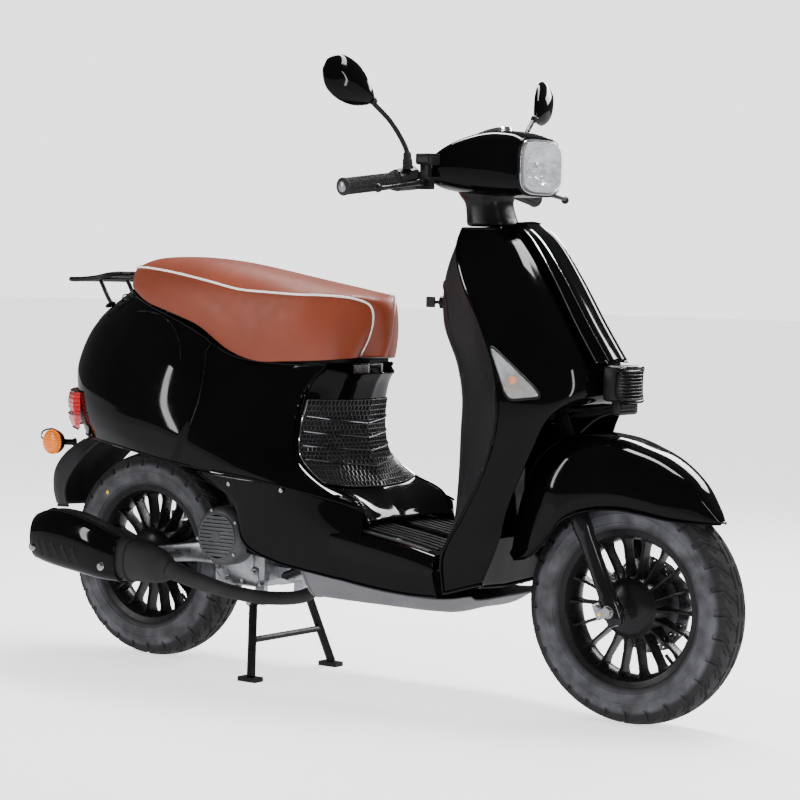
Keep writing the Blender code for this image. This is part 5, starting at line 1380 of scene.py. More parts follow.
@dataclass
class Controls:
    """Grips, levers, their perches and the mirrors.

    Attributes:
        grip_inner: The left grip's inner end.
        grip_outer: Its outer end.
        grip_radius: Its radius under the ribs.
        mirror_joint: Where the left mirror meets its stem.
    """

    grip_inner: Point = (0.165, 0.205, 1.060)
    grip_outer: Point = (0.143, 0.340, 1.043)
    grip_radius: float = 0.0152
    mirror_joint: Point = (0.172, 0.290, 1.212)

    def grip(self, side: str, sign: int) -> None:
        """A rubber grip with rings of ribs, a flange and a metal end plug.

        Args:
            side: The side's name.
            sign: +1 on the left, -1 on the right.
        """
        flip = np.array([1, sign, 1])
        start, end = np.array(self.grip_inner) * flip, np.array(self.grip_outer) * flip
        way = (end - start) / np.linalg.norm(end - start)
        end = end + way * 0.006
        length = float(np.linalg.norm(end - start))
        radius = self.grip_radius
        profile = [(0.0118, 0), (radius + 0.0045, 0), (radius + 0.0050, 0.0015), (radius + 0.0045, 0.004),
                   (radius + 0.001, 0.006)]
        for place in np.linspace(0.012, length - 0.014, 19):
            profile += [(radius, place - 0.0022), (radius + 0.0013, place - 0.0012),
                        (radius + 0.0013, place + 0.0012), (radius, place + 0.0022)]
        profile += [(radius + 0.0025, length - 0.006), (radius + 0.0028, length - 0.002),
                    (radius + 0.001, length), (0.008, length)]
        body = "throttle" if side == "right" else "steering"
        stands_for = "throttle_grip" if side == "right" else "left_grip"
        shape = Shape().turned(profile, start, way, 40)
        flutes = Shape()
        for turn in np.linspace(0, 2 * math.pi, 12, endpoint=False):
            off = turning(way, turn)[0] @ np.cross(way, (0, 0, 1)) * (radius + 0.0010)
            flutes.rod(start + way * 0.010 + off, end - way * 0.012 + off, 0.0009, 6)
        make_piece(f"grip_{side}", shape, Look(RUBBER, body, "rubber", (stands_for,), edge=50))
        make_piece(f"grip_flutes_{side}", flutes, Look(RUBBER, body, "rubber"))
        plug = Shape().turned([(0.0105, -0.001), (0.0105, 0.0005), (0.008, 0.002), (0.001, 0.0026)],
                              end, way, 28)
        make_piece(f"grip_plug_{side}", plug, Look(ALLOY, body, "cast_alloy"))

    def lever(self, side: str, sign: int) -> None:
        """A flattened blade that narrows to a ball, with its pivot bolt.

        Args:
            side: The side's name.
            sign: +1 on the left, -1 on the right.
        """
        flip = np.array([1, sign, 1])
        path = smooth_path(np.array([(0.213, 0.182, 1.056), (0.222, 0.212, 1.054), (0.232, 0.260, 1.049),
                                     (0.232, 0.305, 1.044), (0.224, 0.338, 1.040)]) * flip, 40)
        sizes = np.interp(np.linspace(0, 1, 40), [0, 0.15, 0.5, 0.9, 1], [1.15, 1.0, 0.95, 0.78, 0.7])
        blade = Shape().grid(carried(path, superellipse(0.0072, 0.0046, 2.8, 18), scale=sizes),
                             wrap_columns=True, caps=True)
        end = path[-1]
        blade.turned([(0.0086 * math.sin(turn), -0.0086 * math.cos(turn))
                      for turn in np.linspace(0.05, math.pi - 0.05, 15)], end, (0, sign, 0), 24)
        body = f"brake_lever_{side}_body"
        make_piece(f"lever_blade_{side}", blade, Look(SATIN, body, "satin_black", (f"brake_lever_{side}",)))
        bolt = Shape().turned([(0.0085, -0.0068), (0.0090, -0.006), (0.0090, 0.006), (0.0070, 0.0072),
                               (0.0058, 0.0072), (0.0050, 0.0095), (0.001, 0.0098)],
                              np.array([0.213, 0.184, 1.056]) * flip, (0, 0, 1), 24)
        make_piece(f"lever_pivot_{side}", bolt, Look(SATIN, body, "satin_black"))

    def perch(self, side: str, sign: int) -> None:
        """The switch housing's clamp, and on the right the brake's fluid reservoir.

        Args:
            side: The side's name.
            sign: +1 on the left, -1 on the right.
        """
        dress(f"switch_housing_{side}", DARK_PLASTIC)
        screws = Shape()
        for y in (0.150, 0.186):
            screws.rod((0.152, sign * y, 1.075), (0.149, sign * y, 1.0765), 0.0028, 12)
        make_piece(f"switch_screws_{side}", screws, Look(ZINC, "steering", "cast_alloy"))
        if side == "right":
            lid = Shape().block((0.1983, -0.1842, 1.1085), (0.2362, -0.1458, 1.1148), 0.0022, 44)
            make_piece("reservoir_lid", lid, Look(SATIN, "steering", "satin_black"))
            window = Shape().turned([(0.0062, -0.001), (0.0062, 0.0006), (0.004, 0.0012), (0.001, 0.0014)],
                                    (0.1984, -0.165, 1.101), (-1, 0, 0), 24)
            make_piece("reservoir_window", window, Look(CLEAR, "steering", "clear_lens"))

    def mirror(self, side: str, sign: int) -> None:
        """A bent stem in a boot, and a teardrop head with a rim, a back crease and silvered glass.

        Args:
            side: The side's name.
            sign: +1 on the left, -1 on the right.
        """
        flip = np.array([1, sign, 1])
        top = np.array(self.mirror_joint) * flip
        foot = np.array([0.186, 0.190, 1.092]) * flip
        path = smooth_path([foot, np.array([0.186, 0.198, 1.125]) * flip,
                            np.array([0.181, 0.240, 1.172]) * flip,
                            top - np.array([0.001, 0.006, 0.006]) * flip], 44)
        stem = Shape().bar(path, 0.0050, 16, up=(1, 0, 0))
        make_piece(f"mirror_stalk_{side}", stem,
                   Look(SATIN, "steering", "satin_black", (f"mirror_stem_{side}",)))
        boot = Shape().turned([(0.0105, -0.008), (0.0112, -0.004), (0.0095, 0.0), (0.0108, 0.003),
                               (0.0092, 0.006), (0.0102, 0.009), (0.0086, 0.012), (0.0080, 0.022),
                               (0.0054, 0.026)], foot, path[3] - path[0], 28)
        make_piece(f"mirror_boot_{side}", boot, Look(RUBBER, "steering", "rubber"))
        long_way = np.array([-0.035, sign * 0.096, 0.058])
        long_way /= np.linalg.norm(long_way)
        facing = np.array([-0.96, -sign * 0.20, -0.05])
        facing -= long_way * (facing @ long_way)
        facing /= np.linalg.norm(facing)
        wide = np.cross(facing, long_way)
        reach = through([[0.002], [0.012], [0.040], [0.075], [0.108], [0.1285], [0.1305]], 40)[:, 0]
        half = through([[0.006], [0.018], [0.036], [0.044], [0.038], [0.016], [0.003]], 40)[:, 0]
        deep = through([[0.006], [0.011], [0.019], [0.023], [0.019], [0.008], [0.002]], 40)[:, 0]
        turn = np.linspace(0, 2 * math.pi, 56, endpoint=False)
        swell = np.sin(turn)
        crease = 1 + 0.10 * np.exp(-((turn - math.pi / 2) / 0.30) ** 2)
        back = np.where(swell > 0, swell * crease * 0.93, 0.22 * swell)
        rings = (top + reach[:, None, None] * long_way + (half[:, None] * np.cos(turn))[..., None] * wide
                 - (deep[:, None] * back)[..., None] * facing)
        body = f"mirror_{side}_head"
        shell = Shape().grid(rings, wrap_columns=True, caps=True)
        make_piece(f"mirror_shell_{side}", shell,
                   Look(PAINT, body, "gloss_black", (f"mirror_{side}",), edge=60))
        plane = np.linspace(0, 1, 40)
        glass_reach = 0.012 + 0.112 * (1 - np.cos(plane * math.pi)) / 2
        glass_half = np.interp(glass_reach, reach, half) - 0.0045
        width = np.linspace(-1, 1, 15)
        lift = np.interp(glass_reach, reach, deep) * 0.22 + 0.0008
        glass = (top + glass_reach[:, None, None] * long_way + (glass_half[:, None] * width)[..., None] * wide
                 + (lift[:, None] * (1 - 0.75 * width**2))[..., None] * facing)
        make_piece(f"mirror_glass_{side}", Shape().grid(glass), Look(
            mirror_glass, body, "chrome_trim", wall=0.0006,
            inside=tuple(top - facing * 0.1 + long_way * 0.06)))
        knuckle = Shape().turned([(0.0085 * math.sin(angle), -0.0085 * math.cos(angle))
                                  for angle in np.linspace(0.1, math.pi - 0.1, 13)], top, long_way, 24)
        make_piece(f"mirror_knuckle_{side}", knuckle, Look(SATIN, body, "satin_black"))

    def build(self) -> None:
        """Build the controls of both sides."""
        for side, sign in SIDES.items():
            self.grip(side, sign)
            self.lever(side, sign)
            self.perch(side, sign)
            self.mirror(side, sign)
        dress("handlebar", SATIN)
        dress("start_button", RED_CAP)
        dress("indicator_switch", PLASTIC)


# ---------------------------------------------------------------- fork, fender and wheels


@dataclass
class Fork:
    """Sliders with their seals and lugs, the axle's nuts, the sensor bracket, the yoke's clamps and the
    caliper's finish.

    Attributes:
        half_span: How far each leg is from the middle.
        slider_radius: A slider's radius.
        top: The height of a slider's top along the leg; it is not used.
    """

    half_span: float = 0.088
    slider_radius: float = 0.0192
    top: float = 0.232

    def slider(self, side: str, sign: int) -> None:
        """One turned slider with a dust seal on top and a lug for the axle.

        Args:
            side: The side's name.
            sign: +1 on the left, -1 on the right.
        """
        base, up = fork_frame(0, sign * self.half_span)
        r = self.slider_radius
        profile = [(0.004, -0.030), (0.013, -0.029), (0.0175, -0.024), (r, -0.014), (r, 0.030),
                   (r - 0.0022, 0.036),
                   (r - 0.0022, 0.150), (r - 0.001, 0.160), (r + 0.0003, 0.166), (r + 0.0003, 0.216),
                   (r - 0.002, 0.220)]
        tube_shape = Shape().turned(profile, base, up, 56)
        make_piece(f"fork_leg_{side}", tube_shape, Look(
            SLIDER_PAINT, "fork_sliders", "satin_black", (f"fork_slider_{side}",)))
        seal = Shape().turned([(r - 0.0006, 0.2195), (r + 0.0006, 0.222), (r + 0.0006, 0.228),
                               (r - 0.002, 0.232),
                               (0.0150, 0.234), (0.0148, 0.222)], base, up, 40, ring=True)
        make_piece(f"fork_seal_{side}", seal, Look(RUBBER, "fork_sliders", "rubber"))
        clamp = Shape().turned([(0.021, sign * 0.0), (0.0225, sign * 0.002), (0.0225, sign * 0.013),
                                (0.0205, sign * 0.015)], (FRONT_AXLE[0], sign * 0.0815, FRONT_AXLE[2]),
                               (0, 1, 0), 40)
        make_piece(f"axle_clamp_{side}", clamp, Look(SLIDER_PAINT, "fork_sliders", "satin_black"))
        nut = Shape().turned([(0.0120, 0), (0.0125, 0.001), (0.0125, 0.0045), (0.0090, 0.0050)],
                             (FRONT_AXLE[0], sign * 0.1040, FRONT_AXLE[2]), (0, sign, 0), 36)
        nut.turned([(0.0102, 0.004), (0.0105, 0.005), (0.0105, 0.0105), (0.0092, 0.0125), (0.003, 0.0128)],
                   (FRONT_AXLE[0], sign * 0.1040, FRONT_AXLE[2]), (0, sign, 0), 6)
        make_piece(f"front_axle_nut_{side}", nut, Look(ZINC, "fork_sliders", "cast_alloy"))

    def bracket(self) -> None:
        """The bright bracket at the right end of the axle, with its marked bolt."""
        centre, up = np.array([0.603, -0.1045, 0.231]), fork_frame(0, 0)[1]
        lean = np.array([[math.cos(RAKE), 0, -math.sin(RAKE)], [0, 1, 0],
                         [math.sin(RAKE), 0, math.cos(RAKE)]])
        plate = Shape().tilted_block(centre, (0.0095, 0.0035, 0.017), lean, 0.0028)
        make_piece("speed_sensor_bracket", plate, Look(ALLOY, "fork_sliders", "cast_alloy"))
        bolt = Shape().turned([(0.0062, 0), (0.0065, 0.001), (0.0065, 0.0045), (0.0045, 0.0055),
                               (0.001, 0.0056)],
                              centre + up * 0.008 + (0, -0.003, 0), (0, -1, 0), 6)
        make_piece("speed_sensor_bolt", bolt, Look(ZINC, "fork_sliders", "cast_alloy"))
        dot = Shape().turned([(0.0040, 0), (0.0036, 0.0008), (0.0005, 0.0010)],
                             centre - up * 0.007 + (0, -0.0033, 0), (0, -1, 0), 20)
        make_piece("inspection_mark", dot, Look(YELLOW, "fork_sliders", "amber_lens"))

    def stem(self) -> None:
        """Cover rings where the stanchions meet the yoke."""
        shape = Shape()
        for sign in SIDES.values():
            base, up = fork_frame(0.270, sign * self.half_span)
            shape.turned([(0.0146, 0), (0.0185, 0.001), (0.0195, 0.004), (0.0195, 0.018), (0.0180, 0.0215),
                          (0.0146, 0.022)], base, up, 40)
        make_piece("yoke_clamps", shape, Look(SATIN, "steering", "satin_black"))
        dress("steering_fork", SATIN)
        dress("front_axle", ZINC)
        dress("brake_caliper", DULL_ALLOY)

    def build(self) -> None:
        """Build both legs and the fittings."""
        for side, sign in SIDES.items():
            self.slider(side, sign)
        self.bracket()
        self.stem()


@dataclass
class Fender:
    """The front fender: every cross-section drops from the ridge to the lower edge."""

    ridge: tuple = ((0.374, 0.330), (0.378, 0.395), (0.395, 0.465), (0.432, 0.528), (0.500, 0.568),
                    (0.583, 0.567), (0.647, 0.550), (0.706, 0.526), (0.762, 0.486), (0.799, 0.438),
                    (0.815, 0.412))
    edge: tuple = ((0.402, 0.100, 0.312), (0.446, 0.112, 0.324), (0.488, 0.117, 0.362),
                   (0.522, 0.121, 0.402), (0.570, 0.117, 0.423), (0.630, 0.104, 0.430),
                   (0.682, 0.088, 0.424), (0.724, 0.069, 0.415), (0.766, 0.046, 0.410),
                   (0.800, 0.024, 0.409), (0.813, 0.010, 0.409))

    def build(self) -> None:
        """The shell: half widths follow a power of a sine, and heights a power of a cosine."""
        ridge, edge = through(self.ridge, 88), through(self.edge, 88)
        turn = np.linspace(0, math.pi / 2, 34)[:, None]
        outward = np.sin(turn) ** 0.65
        drop = 1 - np.cos(turn) ** 0.50
        back = 1 - np.cos(turn)
        half = np.stack([ridge[:, 0] + (edge[:, 0] - ridge[:, 0]) * back, edge[:, 1] * outward,
                         ridge[:, 1] + (edge[:, 2] - ridge[:, 1]) * drop], axis=2)
        grid = both_halves(half[::-1])
        centre, up = fork_frame(0.40, 0, STEM_BACK)
        hole = lathe([(0.0205, 0)], centre, up, 20)[:, 0]
        skin("fender_shell", grid, Look(PAINT, "steering", "gloss_black", ("front_fender",), 0.0025,
                                        (0.58, 0, 0.36)), 0.0022, [(hole, up)])


@dataclass
class Wheel:
    """A cast wheel with thin spokes and a treaded tyre.

    Attributes:
        end: front or rear.
        axle: The axle's middle.
        spokes: How many spokes it has.
    """

    end: str
    axle: Array
    spokes: int = 18

    def along_y(self, y: float = 0.0) -> Array:
        """A point on the axle's line."""
        return self.axle + np.array([0, y, 0])

    def rim(self) -> None:
        """The rim band with its flanges, and the hub with its smooth domed sides."""
        half = [(0.1495, 0.0360), (0.1560, 0.0375), (0.1575, 0.0362), (0.1560, 0.0345), (0.1500, 0.0330)]
        well = [(0.1500, 0.0330), (0.1420, 0.0290), (0.1400, 0.0100), (0.1400, -0.0100), (0.1420, -0.0290),
                (0.1500, -0.0330)]
        inner = [(0.1495, -0.0360), (0.1440, -0.0345), (0.1400, -0.0270), (0.1352, -0.0150), (0.1335, 0.0),
                 (0.1352, 0.0150), (0.1400, 0.0270), (0.1440, 0.0345)]
        section = half + well[1:-1] + [(r, -y) for r, y in half[::-1]] + inner[1:]
        shape = Shape().turned(section, self.axle, (0, 1, 0), 96, ring=True)
        hub = [(0.0560, -0.0280), (0.0600, -0.0250), (0.0610, 0.0), (0.0600, 0.0250), (0.0560, 0.0280)]
        dome = [(0.016, 0.0450), (0.030, 0.0440), (0.046, 0.0385), (0.054, 0.0320)]
        shape.turned([(r, -y) for r, y in dome] + hub + dome[::-1], self.axle, (0, 1, 0), 72)
        body = f"{self.end}_wheel"
        make_piece(f"{self.end}_wheel_casting", shape,
                   Look(WHEEL_PAINT, body, "black_alloy", (f"{self.end}_rim",),
                        edge=34))
        ribs = Shape()
        count = 14
        reach = np.linspace(0.056, 0.1400, count)
        flare = np.interp(reach, [0.056, 0.070, 0.120, 0.1400], [0.0060, 0.0034, 0.0030, 0.0052])
        deep = np.interp(reach, [0.056, 0.085, 0.125, 0.1400], [0.0250, 0.0170, 0.0165, 0.0250])
        outline = superellipse(1, 1, 3.2, 20)
        for turn in (np.arange(self.spokes) + 0.5) * 2 * math.pi / self.spokes:
            out = np.array([math.sin(turn), 0, math.cos(turn)])
            side = np.array([math.cos(turn), 0, -math.sin(turn)])
            rings = (self.axle + reach[:, None, None] * out
                     + flare[:, None, None] * outline[None, :, :1] * side
                     + deep[:, None, None] * outline[None, :, 1:] * np.array([0, 1, 0]))
            ribs.grid(rings, wrap_columns=True)
        make_piece(f"{self.end}_wheel_spokes", ribs, Look(WHEEL_PAINT, body, "black_alloy"))
        valve = Shape().rod(self.axle + (0.134 * 0.64, 0, -0.134 * 0.77), self.axle + (0.112 * 0.64, -0.004,
                                                                                     -0.112 * 0.77), 0.0036,
                            14)
        make_piece(f"{self.end}_valve", valve, Look(RUBBER, body, "rubber"))

    def tyre(self) -> None:
        """The tyre: a closed profile turned about the axle, with grooves pressed into the tread.

        The tread's radius is lowered by a groove's depth wherever the sum of its position round the
        tyre and a bend across it falls within a groove: wide chevrons on the crown, short slots on
        the shoulders and two rings that run right round.
        """
        steps = 720
        round_about = np.linspace(0, 2 * math.pi, steps, endpoint=False)
        across = np.radians(np.linspace(-48, 48, 41))
        radius = TYRE_RADIUS - 0.030 * (1 - np.cos(across))
        width = 0.052 * np.sin(across)
        place = np.abs(across) / across.max()
        pitch = 2 * math.pi / 28
        bend = 0.75 * place**1.5
        phase = (round_about[:, None] / pitch + bend[None] + (across[None] > 0) * 0.5) % 1
        slot = (np.abs(phase - 0.5) < 0.10) & (place[None] > 0.20)
        fine = (np.abs((phase * 2) % 1 - 0.5) < 0.10) & (place[None] > 0.62)
        ring = (np.abs(place - 0.17) < 0.045)[None] & (np.abs((round_about[:,
                                                                           None] / pitch) % 1 - 0.5) < 0.42)
        depth = np.where(slot, 0.0048, 0) + np.where(fine & ~slot, 0.0032, 0)
        depth = np.maximum(depth, np.where(ring, 0.0042, 0))
        tread = np.stack([radius[None] - depth, np.broadcast_to(width, depth.shape)], axis=-1)
        wall = [(0.2085, 0.0430), (0.2050, 0.0458), (0.2010, 0.0477), (0.1995, 0.0482), (0.1960, 0.0490),
                (0.1880, 0.0495), (0.1875, 0.0501),
                (0.1860, 0.0501), (0.1855, 0.0494), (0.1780, 0.0480), (0.1700, 0.0455), (0.1690, 0.0459),
                (0.1675, 0.0455), (0.1670, 0.0440), (0.1600, 0.0405), (0.1560, 0.0370), (0.1520, 0.0330),
                (0.1510, 0.0200)]
        notch = np.where(np.arange(len(wall)) < 3, 1.0, 0.0)[None, :, None] * np.array([0.0035, 0.0030])
        left = np.array(wall) - notch * slot[:, -1, None, None]
        right = (np.array(wall) - notch * slot[:, 0, None, None])[:, ::-1] * (1, -1)
        section = np.concatenate([right, tread, left], axis=1)
        out = np.stack([np.sin(round_about), np.zeros(steps), np.cos(round_about)], axis=1)
        grid = self.axle + section[..., :1] * out[:, None] + section[..., 1:] * np.array([0, 1, 0])
        shape = Shape().grid(grid, wrap_rows=True, wrap_columns=True)
        make_piece(f"{self.end}_tyre_treaded", shape, Look(tyre_rubber, f"{self.end}_wheel", "tyre_rubber",
                                                           (f"{self.end}_tyre",), edge=32))

    def disc(self) -> None:
        """The front brake's drilled rotor, its carrier and bolts, on the left."""
        y, rotor_r = 0.050, 0.095
        shape = Shape()
        turns = np.linspace(0, 2 * math.pi, 216, endpoint=False)
        radii = np.linspace(0.070, rotor_r, 15)
        wave = 0.0014 * np.cos(12 * turns)
        grid_top, grid_low = [], []
        for level, store in ((0.0019, grid_top), (-0.0019, grid_low)):
            for radius in radii:
                r = radius + wave * (radius > 0.094)
                store.append(self.axle + np.column_stack([r * np.sin(turns), np.full(216, y + level),
                                                          r * np.cos(turns)]))
        rows = np.arange(14)
        angle = np.arange(216)
        hole = ((angle[None] + (rows[:, None] // 4) * 3) % 9 < 2) & (rows[:, None] % 4 == 2)
        keep = ~hole
        top, low = np.array(grid_top), np.array(grid_low)
        shape.grid(top, wrap_columns=True, keep=keep)
        shape.grid(low, wrap_columns=True, keep=keep)
        shape.grid(np.stack([top[-1], low[-1]]), wrap_columns=True)
        shape.grid(np.stack([top[0], low[0]]), wrap_columns=True)
        make_piece("brake_rotor", shape, Look(STEEL, "front_wheel", "disc_steel", ("brake_disc",)))
        carrier = Shape().turned([(0.030, -0.0025), (0.072, -0.0015), (0.074, 0.0), (0.072, 0.0015),
                                  (0.036, 0.0030),
                                  (0.030, 0.0040)], self.along_y(y), (0, 1, 0), 60)
        for turn in np.linspace(0, 2 * math.pi, 6, endpoint=False):
            place = self.along_y(y) + np.array([math.sin(turn) * 0.043, 0.001, math.cos(turn) * 0.043])
            carrier.turned([(0.0052, 0), (0.0055, 0.001), (0.0055, 0.0045), (0.004, 0.0055), (0.001, 0.0056)],
                           place, (0, 1, 0), 16)
        make_piece("rotor_carrier", carrier, Look(DULL_ALLOY, "front_wheel", "cast_alloy"))

    def rear_nut(self) -> None:
        """The rear axle's nut and washer on the right, and a small inspection mark on the tyre."""
        shape = Shape().turned([(0.016, 0), (0.0165, 0.001), (0.0165, 0.003), (0.012, 0.004)],
                               self.along_y(-0.046), (0, -1, 0), 36)
        shape.turned([(0.0125, 0.003), (0.0128, 0.0045), (0.0128, 0.011), (0.0105, 0.0135), (0.003, 0.0138)],
                     self.along_y(-0.046), (0, -1, 0), 6)
        make_piece("rear_axle_nut", shape, Look(ZINC, "rear_wheel", "cast_alloy"))
        dress("rear_axle", ZINC)
        mark = Shape().turned([(0.0045, 0), (0.0042, 0.0006), (0.0005, 0.0008)],
                              self.axle + (-0.118, -0.0478, 0.132), (0, -1, 0), 20)
        make_piece("tyre_mark", mark, Look(YELLOW, "rear_wheel", "amber_lens"))

    def build(self) -> None:
        """Build the wheel, with a brake disc in front."""
        self.rim()
        self.tyre()
        if self.end == "front":
            self.disc()
        else:
            self.rear_nut()


# ---------------------------------------------------------------- rear bodywork


@dataclass
class RearBody:
    """The side cowls, the cover under the seat's nose, the tail lamp, the mudguard and the rack.

    Attributes:
        rails: The left cowl's rails, from the front back, each from the top down.
        bulge: How far the engine's cheek stands out.
        bulge_centre: The cheek's middle, as (x, z).
        bulge_radius: Where the cheek ends.
    """

    rails: tuple = (
        ((-0.064, 0.116, 0.682), (-0.112, 0.126, 0.630), (-0.124, 0.145, 0.560), (-0.108, 0.160, 0.480),
         (-0.020, 0.170, 0.424), (0.075, 0.158, 0.392)),
        ((-0.190, 0.124, 0.680), (-0.200, 0.150, 0.636), (-0.205, 0.178, 0.562), (-0.190, 0.192, 0.492),
         (-0.130, 0.194, 0.448), (-0.050, 0.188, 0.418)),
        ((-0.315, 0.128, 0.694), (-0.318, 0.165, 0.645), (-0.318, 0.197, 0.566), (-0.305, 0.208, 0.508),
         (-0.268, 0.208, 0.468), (-0.205, 0.202, 0.441)),
        ((-0.430, 0.126, 0.748), (-0.442, 0.172, 0.686), (-0.448, 0.203, 0.602), (-0.444, 0.212, 0.542),
         (-0.422, 0.211, 0.498), (-0.375, 0.208, 0.458)),
        ((-0.560, 0.106, 0.790), (-0.582, 0.158, 0.718), (-0.594, 0.191, 0.630), (-0.592, 0.199, 0.566),
         (-0.578, 0.199, 0.520), (-0.545, 0.197, 0.482)),
        ((-0.640, 0.076, 0.815), (-0.686, 0.124, 0.744), (-0.708, 0.152, 0.652), (-0.712, 0.158, 0.592),
         (-0.706, 0.156, 0.540), (-0.690, 0.152, 0.496)),
        ((-0.686, 0.040, 0.823), (-0.756, 0.070, 0.755), (-0.798, 0.082, 0.664), (-0.794, 0.084, 0.592),
         (-0.786, 0.083, 0.540), (-0.776, 0.080, 0.500)),
        ((-0.701, 0.0030, 0.825), (-0.786, 0.0030, 0.760), (-0.846, 0.0030, 0.668),
         (-0.836, 0.0030, 0.592), (-0.828, 0.0030, 0.540), (-0.818, 0.0030, 0.500)),
    )
    bulge: float = 0.009
    bulge_centre: tuple[float, float] = (-0.575, 0.600)
    bulge_radius: float = 0.225

    def cowl(self, side: str, sign: int) -> None:
        """One cowl: the rails' surface, pushed outwards by a smooth step inside the cheek's circle.

        Args:
            side: The side's name.
            sign: +1 on the left, -1 on the right.
        """
        grid = net([np.array(rail) * (1, sign, 1) for rail in self.rails], 72, 200)
        reach = np.hypot(grid[..., 0] - self.bulge_centre[0], grid[..., 2] - self.bulge_centre[1])
        step = np.clip((self.bulge_radius - reach) / 0.010, 0, 1)
        step = step * step * (3 - 2 * step)
        fade = np.clip(np.linspace(0, 1, 200) * 3, 0, 1)[:, None] * np.clip(np.linspace(1, 0, 200) * 5, 0,
                                                                            1)[:, None]
        rim = np.sin(np.linspace(0.12, math.pi - 0.25, 72))[None] ** 0.5
        grid[..., 1] += sign * self.bulge * step * fade * rim
        skin(f"cowl_{side}", grid, Look(PAINT, "chassis", "gloss_black", (f"side_cowl_{side}",), 0.003,
                                        (-0.45, 0, 0.6)), 0.0026)
        creases = Shape()
        for radius, first, last in ((self.bulge_radius, -0.25, 2.3), (self.bulge_radius * 0.80, 0.45, 1.75)):
            path = []
            for turn in np.linspace(first, last, 60):
                target = np.array(self.bulge_centre) + radius * np.array([math.cos(turn), math.sin(turn)])
                gap = np.hypot(grid[..., 0] - target[0], grid[..., 2] - target[1])
                row, column = np.unravel_index(gap.argmin(), gap.shape)
                if gap[row, column] < 0.006:
                    path.append((target[0], grid[row, column, 1], target[1]))
            creases.bar(smooth_path(path[::4], 90), 0.0015, 8)
        make_piece(f"cowl_creases_{side}", creases, Look(SATIN, "chassis", "gloss_black"))

    def fairing(self, side: str, sign: int) -> None:
        """The panel that joins the cowl's lower edge to the floor's sill, in front of the engine.

        Args:
            side: The side's name.
            sign: +1 on the left, -1 on the right.
        """
        top = [(-0.346, 0.198, 0.446), (-0.250, 0.196, 0.440), (-0.140, 0.192, 0.434), (-0.030, 0.176, 0.414),
               (0.070, 0.158, 0.388)]
        crease = [(-0.300, 0.192, 0.418), (-0.205, 0.190, 0.376), (-0.120, 0.185, 0.352),
                  (-0.030, 0.178, 0.332),
                  (0.070, 0.169, 0.308)]
        low = [(-0.246, 0.182, 0.392), (-0.226, 0.186, 0.305), (-0.150, 0.176, 0.268), (-0.040, 0.165, 0.250),
               (0.060, 0.150, 0.236)]
        grid = net([np.array(rail) * (1, sign, 1) for rail in (top, crease, low)], 64, 26)
        skin(f"side_fairing_{side}", grid,
             Look(PAINT, "chassis", "gloss_black", wall=0.003, inside=(-0.1, 0, 0.35)),
             0.0022)
        marks = Shape()
        for x, z in ((-0.262, 0.424), (-0.120, 0.420)):
            marks.turned([(0.0052, -0.002), (0.0052, 0.0008), (0.0036, 0.0022), (0.001, 0.0024)],
                         (x, sign * 0.1935, z), (0, sign, 0), 20)
        make_piece(f"fairing_screws_{side}", marks, Look(ZINC, "chassis", "cast_alloy"))

    def front_cover(self) -> None:
        """The cover under the seat's nose, with a honeycomb vent over a near-black sheet of painted shade,
        and bright chevrons on each side.
        """
        front = [(-0.008, 0, 0.664), (-0.026, 0, 0.635), (-0.042, 0, 0.580), (-0.044, 0, 0.530),
                 (-0.030, 0, 0.485), (-0.004, 0, 0.428), (0.034, 0, 0.388), (0.052, 0, 0.366)]
        wing = [(-0.030, 0.070, 0.663), (-0.048, 0.078, 0.635), (-0.064, 0.086, 0.580),
                (-0.068, 0.092, 0.530), (-0.056, 0.096, 0.485), (-0.016, 0.096, 0.432),
                (0.036, 0.094, 0.392), (0.054, 0.090, 0.366)]
        side_rail = [(-0.066, 0.112, 0.672), (-0.104, 0.124, 0.636), (-0.116, 0.138, 0.580),
                     (-0.118, 0.149, 0.530), (-0.106, 0.157, 0.485), (-0.040, 0.164, 0.440),
                     (0.040, 0.160, 0.410), (0.078, 0.150, 0.366)]
        grid = both_halves(net((side_rail, wing, front), 72, 28))
        skin("seat_nose_cover", grid, Look(PAINT, "chassis", "gloss_black", ("seat_front_cover",), 0.003,
                                           (-0.2, 0, 0.52)), 0.0024)
        for side, sign in SIDES.items():
            def place(across: float, along: float) -> tuple[float, float]:
                """A place on this side's half of the cover."""
                return (across / 2 if sign > 0 else 1 - across / 2, along)

            lift = np.array([0.0022, sign * 0.0016, 0.0006])
